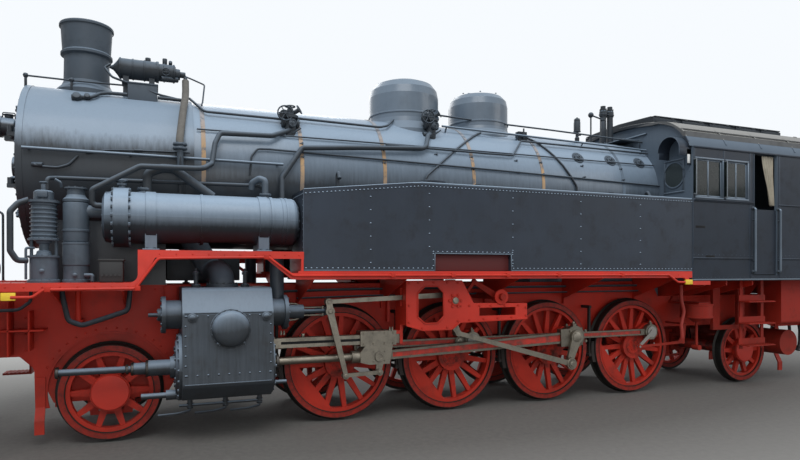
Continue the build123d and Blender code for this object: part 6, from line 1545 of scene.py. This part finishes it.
def build_frame():
    """Rivets, pipes, hoses, steps and marker caps on the frames and running boards."""
    frame_y, rear_y = 640, 615
    bolts = Piece("frame_bolts")
    for side in SIDES:
        out = (0, side, 0)
        plate = [(x, z) for x in (5500, 5750, 6000, 6180) for z in (980, 1150, 1320, 1480, 1600)]
        plate += [(x, 1600) for x in range(4100, 5400, 160)]
        plate += [(CARRYING_X[0] + 660 * math.cos(a), CARRYING_Z + 660 * math.sin(a))
                  for a in spaced_numbers(0.42, 2.72, 16)]
        bolts.repeat(rivet_head(13), [(x, side * frame_y, z) for x, z in plate], out)
        rear = [(x, z) for x in (-5600, -5900, -6150) for z in (920, 1100, 1280, 1380)]
        rear += [(x, 1600) for x in range(-2700, 3900, 200)]
        rear += [(x, 1380) for x in range(-5400, -3000, 200)]
        bolts.repeat(rivet_head(13), [(x, side * rear_y, z) for x, z in rear], out)
        for x, buffer_x, normal in ((BEAM_HIGH.x, BEAM_HIGH.x + 26, AHEAD), (BEAM_LOW.x, BEAM_LOW.x - 26, ASTERN)):
            beam = [(x, side * y, z) for y in (200, 420, 640, 1130, 1300, 1440) for z in (900, 1280)]
            bolts.repeat(rivet_head(13), beam, normal)
            bolts.repeat(bolt_head(15), [(buffer_x, side * y, z) for y in (753, 997) for z in (1018, 1138)],
                         normal)
        for x_low, x_high, z in ((4500, 6240, 1650), (2840, 4220, 1966), (-2500, 2500, 1752)):
            valance = spaced((x_low, side * 1500, z), (x_high, side * 1500, z), 150)
            bolts.repeat(rivet_head(9), valance, out)
    bolts.finish(book.red, slot="red_paint")

    ribs = Piece("front_frame_ribs")
    for x, z_low, z_high in ((5430, 1000, 1400), (5610, 950, 1500), (5860, 950, 1640)):
        ribs.add(block((x - 8, frame_y, z_low), (x + 8, 900, z_high), 3), both=True)
    ribs.blocks([((5300, frame_y, 1196), (5700, 900, 1214), 3), ((4952, frame_y, 1270), (5032, 920, 1300), 6)],
                both=True)
    ribs.add(slab([(4030, 1640), (4030, 1180), (4100, 1160), (4180, 1640)], frame_y, 700, 3), both=True)
    ribs.add(bar((4992, 900, 1295), (4992, 900, 1676), 28, 18), both=True)
    ribs.finish(book.red, slot="red_paint")

    hoses = Piece("frame_pipes")
    hoses.pipes([
        (26, 90, 3, (5124, 1000, 1676), (5124, 1000, 1575), (5071, 1000, 1304), (4946, 1000, 1250),
         (4522, 1000, 1392), (4503, 1000, 1599), (4503, 1000, 1676)),
        (16, 70, 3, (5400, 950, 1676), (5400, 960, 1500), (5500, 980, 1420), (6200, 980, 1400)),
        (16, 70, 3, (3000, 700, 1560), (2000, 700, 1580), (-2600, 700, 1590)),
        (11, 70, 3, (2700, 735, 1480), (1800, 735, 1500), (-2600, 735, 1510)),
    ], both=True)
    hoses.finish(book.iron)

    hose = Piece("red_feed_hoses")
    hose.add(pipe([(-2968, 1100, 1600), (-2968, 1100, 1385), (-3027, 1100, 1206), (-2969, 1100, 1014),
                   (-2989, 1100, 821), (-2989, 1060, 760)], 26, 90, 3), both=True)
    hose.finish(book.red_hose, slot="red_paint")

    caps = Piece("yellow_marker_caps")
    caps.blocks([((5432, 1486, 1530), (5548, 1514, 1602), 5), ((-2749, 1484, 1616), (-2619, 1512, 1684), 5)],
                both=True)
    caps.finish(book.yellow, slot="band_paint")
    boxes = Piece("conduit_boxes")
    boxes.blocks([((x - 26, 1499, z - 24), (x + 26, 1532, z + 24), 5) for x, z in (
        (5180, 1628), (4420, 1633), (3190, 1944), (1778, 1752), (1022, 1752), (273, 1752), (-477, 1752),
        (-1500, 1752),
    )], both=True)
    boxes.finish(book.red, slot="red_paint")

    treads = Piece("tread_plates")
    for x_low, x_high, z in ((4520, 6280, 1688), (2800, 4390, 2005)):
        treads.repeat(rivet_head(8), [(x, y, z) for x in range(x_low, x_high - 60, 120)
                                      for y in (820, -820, 1440, -1440)], UP)
    for z in (690, 1020, 1350):
        treads.blocks([((x, 1270, z - 1), (x + 26, 1432, z + 5), 2) for x in range(-4500, -3990, 62)], both=True)
    treads.blocks([((x, 1190, 503), (x + 20, 1430, 509), 2) for x in range(5775, 6010, 46)], both=True)
    treads.finish(book.gear_red, slot="red_paint")

    springs = Piece("spring_buckles_and_hangers")
    for x, z in [(x, COUPLED_Z) for x in COUPLED_X] + [(x, CARRYING_Z) for x in CARRYING_X]:
        springs.blocks([((x - 60, 498, z + 232), (x + 60, 589.5, z + 349), 8),
                        ((x - 118, 660, z - 142), (x + 118, 676, z + 142), 8)], both=True)
        for side in SIDES:
            places = [(x + dx, side * 676, z + dz) for dx in (-90, 90) for dz in (-112, 112)]
            springs.repeat(bolt_head(13), places, (0, side, 0))
    springs.finish(book.gear_red, slot="red_paint")


def build_guides():
    """Valve spindle guides, slide bar slots and oil cups."""
    guides = Piece("valve_spindle_guides")
    for turn in (-1, 1):
        wide, middle, near = (VALVE_Z + turn * reach for reach in (96, 88, 44))
        guides.add(pipe([(2895, VALVE_Y, wide), (2790, VALVE_Y, middle), (2700, VALVE_Y, near),
                         (2470, VALVE_Y, near)], 11, 30, 3), both=True)
    guides.add(bar((2480, VALVE_Y, 1290), (2480, VALVE_Y, 1400), 14, 12), both=True)
    guides.finish(book.steel, slot="bare_steel")

    heads = Piece("crosshead_fittings")
    low, high = node_mm("crossheads")
    cup = [(0, 0), (13, 0), (13, 26), (8, 30), (8, 44), (0, 46)]
    for x in (low.x + 70, high.x - 90):
        for dx in (-16, 16):
            heads.add(turned(cup, (x + dx, high.y - 60, high.z - 2), UP, 16), both=True)
    heads.finish(book.steel, slot="bare_steel")

    # near-black strip along the slide bars: painted shade of the gap between them
    slots = Piece("slide_bar_slots")
    low, high = node_mm("slide_bars")
    z = (low.z + high.z) / 2
    slots.add(block((low.x + 90, high.y - 2, z - 15), (high.x - 110, high.y + 1.2, z + 15), 0.5), both=True)
    slots.finish(book.void)


def build_ends():
    """Hoses, hooks, chains, grips and lamp glasses at both ends."""
    ends = ((1, BEAM_HIGH.x), (-1, BEAM_LOW.x))
    hoses = Piece("brake_hoses")
    valves = Piece("hose_cocks")
    nozzle = [(0, 0), (34, 0), (38, 10), (34, 20), (34, 60), (40, 66), (40, 84), (0, 84)]
    for out, face in ends:
        for y in (-480, -300, 300, 480):
            hoses.add(pipe([(face + out * 80, y, 990), (face + out * 140, y, 950),
                            (face + out * 160, y * 1.04, 760), (face + out * 130, y * 1.08, 560),
                            (face + out * 90, y * 1.1, 470)], 26, 60, 3))
            hoses.add(turned(nozzle, (face + out * 90, y * 1.1, 480), (-out * 0.4, 0, -1), 20))
            stem = face + out * 30
            valves.bars([((face - out * 4, y, 1010), (face + out * 84, y, 985), 30, 20, 5),
                         ((stem, y, 1000), (stem, y, 1060), 11, 10),
                         ((stem, y - 40, 1062), (stem, y + 40, 1062), 8, 10)])
            valves.add(ring(48, 26, 12, (face, y, 1010), (out, 0, 0), 24, 4))
        x = out * 6452
        for y in (-76, 76):
            valves.add(pipe([(x, y * 0.72, 740), (x, y, 640), (x, y, 420), (x, y * 0.6, 350), (x, 0, 338)],
                            18, 60, 3))
        valves.add(bar((x - 110, 0, 690), (x + 110, 0, 690), 12, 12))
        valves.add(turned([(0, -26), (20, -18), (26, 0), (20, 18), (0, 26)], (x + 118, 0, 690), UP, 18))
    hoses.finish(book.rubber)
    valves.finish(book.iron)

    plate = Piece("hook_plates")
    for out, face in ends:
        low, high = sorted((face, face + out * 14))
        plate.blocks([((low, -150, 950), (high, -30, 1206), 5), ((low, 30, 950), (high, 150, 1206), 5)])
        plate.repeat(bolt_head(13), [(face + out * 14, y, z) for y in (-125, 125) for z in (975, 1078, 1181)],
                     (out, 0, 0))
    plate.finish(book.red, slot="red_paint")

    grips = Piece("end_grips")
    wall, reach = BUNKER_REAR + 3, -6262
    rails = [
        (15, 60, 3, (6240, 1440, 1676), (6240, 1440, 2560), (6180, 1440, 2610), (6100, 1440, 2560),
         (6100, 1440, 1680)),
        (14, 30, 3, (wall, 1420, 1900), (reach, 1420, 1900), (reach, 1420, 2760), (wall, 1420, 2760)),
    ]
    rails += [(12, 30, 4, (near, 700, 900), (far, 700, 900), (far, 540, 900), (near, 540, 900))
              for near, far in ((6262, 6342), (-6262, -6342))]
    rails += [(12, 30, 3, (wall, 560, z), (-6290, 560, z), (-6290, 300, z), (wall, 300, z))
              for z in (2000, 2300, 2600)]
    for side in SIDES:
        grips.pipes([(radius, bend, sides, *on_side(points, side)) for radius, bend, sides, *points in rails])
    grips.finish(book.iron)

    glass = Piece("lamp_glasses")
    rims = Piece("lamp_rims_and_vents")
    door_glass = Piece("door_lamp_glass")
    door_rim = Piece("door_lamp_rim")
    lamp_x = BUNKER_REAR - 205
    for panes, rings, x, y, z, out in (
        (glass, rims, 6262, 1100, 1838, 1), (glass, rims, 6262, -1100, 1838, 1),
        (glass, rims, lamp_x, 1100, 2200, -1), (glass, rims, lamp_x, -1100, 2200, -1),
        (glass, rims, lamp_x, 0, 2750, -1), (door_glass, door_rim, DOOR_HIGH.x, 0, BOILER_Z + 440, 1),
    ):
        panes.add(turned([(0, 0), (92, 0), (92, 3), (60, 12), (0, 18)], (x - out * 22, y, z), (out, 0, 0), 36))
        rings.add(ring(117, 99, 8, (x - out * 10, y, z), (out, 0, 0), 40, 3))
        centre, hinge = x - out * 110, x - out * 40
        rings.bars([((centre, y, z + 96), (centre, y, z + 130), 42, 20, 6),
                    ((centre, y, z + 128), (centre, y, z + 140), 56, 20, 5),
                    ((hinge, y + 118, z - 20), (hinge, y + 118, z + 20), 8, 10)])
        rings.add(pipe([(centre - 60, y, z + 90), (centre - 60, y, z + 160), (centre + 60, y, z + 160),
                        (centre + 60, y, z + 90)], 6, 30, 2))
    door_glass.finish(book.lens, "smokebox_door")
    door_rim.finish(book.iron, "smokebox_door")
    glass.finish(book.lens)
    rims.finish(book.iron)


def build_bunker():
    """Coal heap, rivets and edge irons of the bunker."""
    rng = random.Random(7)
    coal = Piece("coal_heap")
    for _ in range(620):
        x = rng.uniform(-6120, -5500)
        y = rng.uniform(-1150, 1150)
        heap = 250 * max(0.0, 1 - (y / 1250) ** 2) * max(0.2, 1 - abs(x + 5810) / 520)
        z = 2900 + heap + rng.uniform(-60, 30)
        lump = bmesh.new()
        bmesh.ops.create_icosphere(lump, subdivisions=1, radius=rng.uniform(46, 96))
        for vert in lump.verts:
            vert.co *= rng.uniform(0.72, 1.12)
        turn = rng.uniform(0, 6)
        axis = Vector((rng.random(), rng.random(), 1)).normalized()
        place = Matrix.Translation((min(max(x, -6090), -5520), min(max(y, -1130), 1130), z))
        coal.add(placed(lump, place @ Matrix.Rotation(turn, 4, axis)))
    coal.add(block((-6180, -1215, 2700), (-5436, 1215, 2880), 20))
    coal.finish(book.coal, smooth=20)

    front, corner, wall = -5425, -6190, HALF_WIDTH
    rivets = Piece("bunker_rivets")
    for side in SIDES:
        places = []
        for z in (1720, 2034, 2850):
            places += spaced((corner, side * wall, z), (front, side * wall, z), 85)
        for x in (corner, -5800, front):
            places += spaced((x, side * wall, 1780), (x, side * wall, 2800), 92)
        for z in (2960, 3190):
            places += spaced((corner, side * 1250, z), (front, side * 1250, z), 85)
        rivets.repeat(rivet_head(7), places, (0, side, 0))
        back = spaced((BUNKER_REAR, side * 1450, 1720), (BUNKER_REAR, side * 1450, 2860), 90)
        for z in (1720, 2860):
            back += spaced((BUNKER_REAR, side * 60, z), (BUNKER_REAR, side * 1420, z), 90)
        rivets.repeat(rivet_head(7), back, ASTERN)
    rivets.finish(book.body)

    edges = Piece("bunker_edges")
    edges.add(block((-6228, -1262, 3226), (-6198, 1262, 3252), 9))
    edges.blocks([
        ((-6225, 1236, 3226), (-5402, 1262, 3252), 9), ((-6217, wall - 8, 2884), (-5402, wall + 4, 2906), 5),
        ((BUNKER_REAR, wall - 2, 2789), (-5402, wall + 12, 2811), 5),
        ((BUNKER_REAR, wall - 2, 1977), (-5402, wall + 12, 1999), 5),
        ((BUNKER_REAR, wall - 2, 1668), (-2764, wall + 4, 1690), 4),
    ], both=True)
    edges.finish(book.body)


# Stage

PHOTO_WIDTH = 800
FOCAL_PX, SHIFT_PX = 609.218, 45.465
SENSOR_MM = 36
CAMERA_PLACE = (4.2807, 7.9006, 1.7714)
CAMERA_TURN = math.pi - 0.385


def build_floor(colour):
    """Floor with dark gravel by the locomotive that fades to a pale distance."""
    bm = bmesh.new()
    bmesh.ops.create_grid(bm, x_segments=1, y_segments=1, size=60)
    bmesh.ops.translate(bm, vec=(0, 0, -0.001), verts=bm.verts)
    mesh = bpy.data.meshes.new("floor")
    bm.to_mesh(mesh)
    bm.free()
    floor = bpy.data.objects.new("floor", mesh)
    bpy.context.scene.collection.objects.link(floor)
    f = Finish("floor_pale")
    x, y, _ = f.split()
    away = f.ramp((x * x * 0.12 + y * y) ** 0.5, 2.2, 7.5)
    gravel = f.mix(f.noise(14.0, 5.0, 0.7), (0.075, 0.072, 0.068), (0.16, 0.155, 0.145))
    shade = f.mix(away, gravel, colour)
    distance = f.ramp((x * x + y * y) ** 0.5, 12, 46)
    f.feed(Base_Color=f.mix(distance, shade, (0.86, 0.87, 0.88)), Roughness=0.9)
    mesh.materials.append(f.material)


def build_stage(settings):
    """Floor, white surround, soft lights and the camera."""
    scene = bpy.context.scene
    build_floor(tuple(settings.floor))

    world = bpy.data.worlds.new("surround")
    scene.world = world
    world.use_nodes = True
    tree = world.node_tree
    tree.nodes.clear()
    path = tree.nodes.new("ShaderNodeLightPath")
    seen = Wire(tree, path.outputs["Is Camera Ray"]).most(Wire(tree, path.outputs["Is Transmission Ray"]))
    shiny = Wire(tree, path.outputs["Is Glossy Ray"])
    level = (seen + shiny * 0.95).least(1.0).most(settings.world_level)
    background = tree.nodes.new("ShaderNodeBackground")
    background.inputs["Color"].default_value = (0.93, 0.965, 1.0, 1)
    tree.links.new(level.socket, background.inputs["Strength"])
    output = tree.nodes.new("ShaderNodeOutputWorld")
    tree.links.new(background.outputs[0], output.inputs[0])

    # lamp, place, point it faces, size, share of the main light's power
    for name, place, target, size, share in (
        ("key_light", (5, 11, 16), (0.5, 0, 2.0), 12, 1.25),
        ("fill_light", (-14, 11, 9), (-2, 0, 1.8), 9, 0.35),
        ("low_light", (4, 14, 2.2), (0.5, 0, 1.2), 6, 0.12),
        ("back_light", (2, -15, 12), (0, 0, 2), 11, 0.6),
    ):
        data = bpy.data.lights.new(name, "AREA")
        data.shape = "DISK"
        data.size = size
        data.energy = settings.key_power * share
        lamp = bpy.data.objects.new(name, data)
        scene.collection.objects.link(lamp)
        lamp.location = place
        lamp.rotation_euler = (Vector(target) - Vector(place)).to_track_quat("-Z", "Y").to_euler()

    data = bpy.data.cameras.new("camera")
    data.sensor_fit = "HORIZONTAL"
    data.sensor_width = SENSOR_MM
    data.lens = FOCAL_PX / PHOTO_WIDTH * SENSOR_MM
    data.shift_y = SHIFT_PX / PHOTO_WIDTH
    data.clip_end = 300
    camera = bpy.data.objects.new("camera", data)
    scene.collection.objects.link(camera)
    camera.location = CAMERA_PLACE
    camera.rotation_euler = (math.pi / 2 + settings.pitch, settings.roll, CAMERA_TURN)
    scene.camera = camera
    scene.view_settings.view_transform = "Standard"


# Add-on

def colour_setting(name, words, default):
    """A colour setting."""
    return FloatVectorProperty(name=name, description=words, subtype="COLOR", size=3, default=default,
                               min=0, max=1)


class LocomotiveFinishSettings(bpy.types.PropertyGroup):
    """Colours of the locomotive's finishes."""

    black: colour_setting("Black", "Black enamel of boiler, tanks and cab", (0.021, 0.029, 0.043))
    # tint of the painted sky sheen, a painted reflection where paint faces the sky; scaled down, the blacks' own
    # colours
    sheen_tint: colour_setting("Sky sheen", "Black enamel where weather has faded it", (0.17, 0.225, 0.29))
    red: colour_setting("Red", "Red enamel of frames and wheels", (0.46, 0.024, 0.012))
    steel: colour_setting("Steel", "Machined steel of the rods", (0.21, 0.19, 0.155))
    band: colour_setting("Bands", "Paint of the boiler bands", (0.40, 0.26, 0.14))
    canvas: colour_setting("Canvas", "Cloth of the doorway curtains", (0.44, 0.40, 0.32))


class LocomotiveStageSettings(bpy.types.PropertyGroup):
    """Light and surround."""

    floor: colour_setting("Floor", "Colour of the floor", (0.42, 0.415, 0.40))
    world_level: FloatProperty(name="Surround", description="Strength of the surround as light",
                               default=0.55, min=0)
    key_power: FloatProperty(name="Key light", description="Power of the main light in watts", default=1500, min=0)
    pitch: FloatProperty(name="Pitch", description="Camera tilt", default=-0.003, subtype="ANGLE", unit="ROTATION")
    roll: FloatProperty(name="Roll", description="Camera roll", default=0.001, subtype="ANGLE", unit="ROTATION")


class LOCOMOTIVE_OT_stage(bpy.types.Operator):
    """Set up floor, surround, lights and camera"""

    bl_idname = "locomotive.stage"
    bl_label = "Stage"

    def execute(self, context):
        build_stage(context.scene.locomotive_stage)
        return {"FINISHED"}


class LOCOMOTIVE_OT_finishes(bpy.types.Operator):
    """Make the finishes and give each CAD node its own"""

    bl_idname = "locomotive.finishes"
    bl_label = "Finishes"

    def execute(self, context):
        global book
        book = FinishBook(context.scene.locomotive_finish)
        dress_frame()
        return {"FINISHED"}


class LOCOMOTIVE_OT_tanks(bpy.types.Operator):
    """Rivets, lips and vents of the side tanks"""

    bl_idname = "locomotive.tanks"
    bl_label = "Tank fittings"

    def execute(self, context):
        build_tank()
        return {"FINISHED"}


class LOCOMOTIVE_OT_cab(bpy.types.Operator):
    """Window frames, seams, rivets and plates of the cab"""

    bl_idname = "locomotive.cab"
    bl_label = "Cab fittings"

    def execute(self, context):
        build_cab()
        return {"FINISHED"}


class LOCOMOTIVE_OT_roof(bpy.types.Operator):
    """Gutters, flaps and hoods of the roof"""

    bl_idname = "locomotive.roof"
    bl_label = "Roof fittings"

    def execute(self, context):
        build_roof()
        return {"FINISHED"}


class LOCOMOTIVE_OT_cab_inside(bpy.types.Operator):
    """Back head, seats and floor of the cab"""

    bl_idname = "locomotive.cab_inside"
    bl_label = "Cab inside"

    def execute(self, context):
        build_cab_inside()
        return {"FINISHED"}


class LOCOMOTIVE_OT_curtains(bpy.types.Operator):
    """Canvas curtains of the doorways"""

    bl_idname = "locomotive.curtains"
    bl_label = "Curtains"

    def execute(self, context):
        build_curtain()
        return {"FINISHED"}


class LOCOMOTIVE_OT_boiler_lines(bpy.types.Operator):
    """Conduits and pipes along the boiler"""

    bl_idname = "locomotive.boiler_lines"
    bl_label = "Boiler lines"

    def execute(self, context):
        build_boiler_lines()
        return {"FINISHED"}


class LOCOMOTIVE_OT_valves(bpy.types.Operator):
    """Valve wheels, dome and generator fittings"""

    bl_idname = "locomotive.valves"
    bl_label = "Valves"

    def execute(self, context):
        build_valves()
        return {"FINISHED"}


class LOCOMOTIVE_OT_smokebox(bpy.types.Operator):
    """Rivets, rings and door furniture of the smokebox"""

    bl_idname = "locomotive.smokebox"
    bl_label = "Smokebox fittings"

    def execute(self, context):
        build_smokebox()
        return {"FINISHED"}


class LOCOMOTIVE_OT_pumps(bpy.types.Operator):
    """Bolts and valves of pumps and heater"""

    bl_idname = "locomotive.pumps"
    bl_label = "Pump fittings"

    def execute(self, context):
        build_pumps()
        return {"FINISHED"}


class LOCOMOTIVE_OT_cylinders(bpy.types.Operator):
    """Studs, plates and cocks of the cylinders"""

    bl_idname = "locomotive.cylinders"
    bl_label = "Cylinder fittings"

    def execute(self, context):
        build_cylinders()
        return {"FINISHED"}


class LOCOMOTIVE_OT_rods(bpy.types.Operator):
    """Bushes, oil cups and bolts of the motion"""

    bl_idname = "locomotive.rods"
    bl_label = "Rod fittings"

    def execute(self, context):
        build_rods()
        return {"FINISHED"}


class LOCOMOTIVE_OT_wheels(bpy.types.Operator):
    """Rings, bolts and hub covers of the wheels"""

    bl_idname = "locomotive.wheels"
    bl_label = "Wheel trim"

    def execute(self, context):
        build_wheels()
        return {"FINISHED"}


class LOCOMOTIVE_OT_frame(bpy.types.Operator):
    """Rivets, pipes and steps of the frames"""

    bl_idname = "locomotive.frame"
    bl_label = "Frame fittings"

    def execute(self, context):
        build_frame()
        return {"FINISHED"}


class LOCOMOTIVE_OT_guides(bpy.types.Operator):
    """Valve spindle guides, oil cups and slide bar slots"""

    bl_idname = "locomotive.guides"
    bl_label = "Valve guides"

    def execute(self, context):
        build_guides()
        return {"FINISHED"}


class LOCOMOTIVE_OT_ends(bpy.types.Operator):
    """Hoses, couplings, grips and lamp glasses"""

    bl_idname = "locomotive.ends"
    bl_label = "End fittings"

    def execute(self, context):
        build_ends()
        return {"FINISHED"}


class LOCOMOTIVE_OT_bunker(bpy.types.Operator):
    """Coal heap, rivets and bunker edges"""

    bl_idname = "locomotive.bunker"
    bl_label = "Bunker"

    def execute(self, context):
        build_bunker()
        return {"FINISHED"}


OPERATORS = (
    LOCOMOTIVE_OT_stage, LOCOMOTIVE_OT_finishes, LOCOMOTIVE_OT_tanks, LOCOMOTIVE_OT_cab, LOCOMOTIVE_OT_roof,
    LOCOMOTIVE_OT_cab_inside, LOCOMOTIVE_OT_curtains, LOCOMOTIVE_OT_boiler_lines, LOCOMOTIVE_OT_valves,
    LOCOMOTIVE_OT_smokebox, LOCOMOTIVE_OT_pumps, LOCOMOTIVE_OT_cylinders, LOCOMOTIVE_OT_rods, LOCOMOTIVE_OT_wheels,
    LOCOMOTIVE_OT_frame, LOCOMOTIVE_OT_guides, LOCOMOTIVE_OT_ends, LOCOMOTIVE_OT_bunker,
)


class LOCOMOTIVE_PT_panel(bpy.types.Panel):
    """Panel that lists the locomotive's settings and operators"""

    bl_label = "Locomotive"
    bl_idname = "LOCOMOTIVE_PT_panel"
    bl_space_type = "VIEW_3D"
    bl_region_type = "UI"
    bl_category = "Locomotive"

    def draw(self, context):
        layout = self.layout
        for settings in (context.scene.locomotive_finish, context.scene.locomotive_stage):
            box = layout.box()
            for key in settings.__annotations__:
                box.prop(settings, key)
        for cls in OPERATORS:
            layout.operator(cls.bl_idname)


CLASSES = (LocomotiveFinishSettings, LocomotiveStageSettings, *OPERATORS, LOCOMOTIVE_PT_panel)


def register():
    for cls in CLASSES:
        bpy.utils.register_class(cls)
    bpy.types.Scene.locomotive_finish = PointerProperty(type=LocomotiveFinishSettings)
    bpy.types.Scene.locomotive_stage = PointerProperty(type=LocomotiveStageSettings)


def unregister():
    del bpy.types.Scene.locomotive_stage
    del bpy.types.Scene.locomotive_finish
    for cls in reversed(CLASSES):
        bpy.utils.unregister_class(cls)


def main():
    register()
    for cls in OPERATORS:
        group, name = cls.bl_idname.split(".")
        getattr(getattr(bpy.ops, group), name)()


if __name__ == "__main__":
    main()
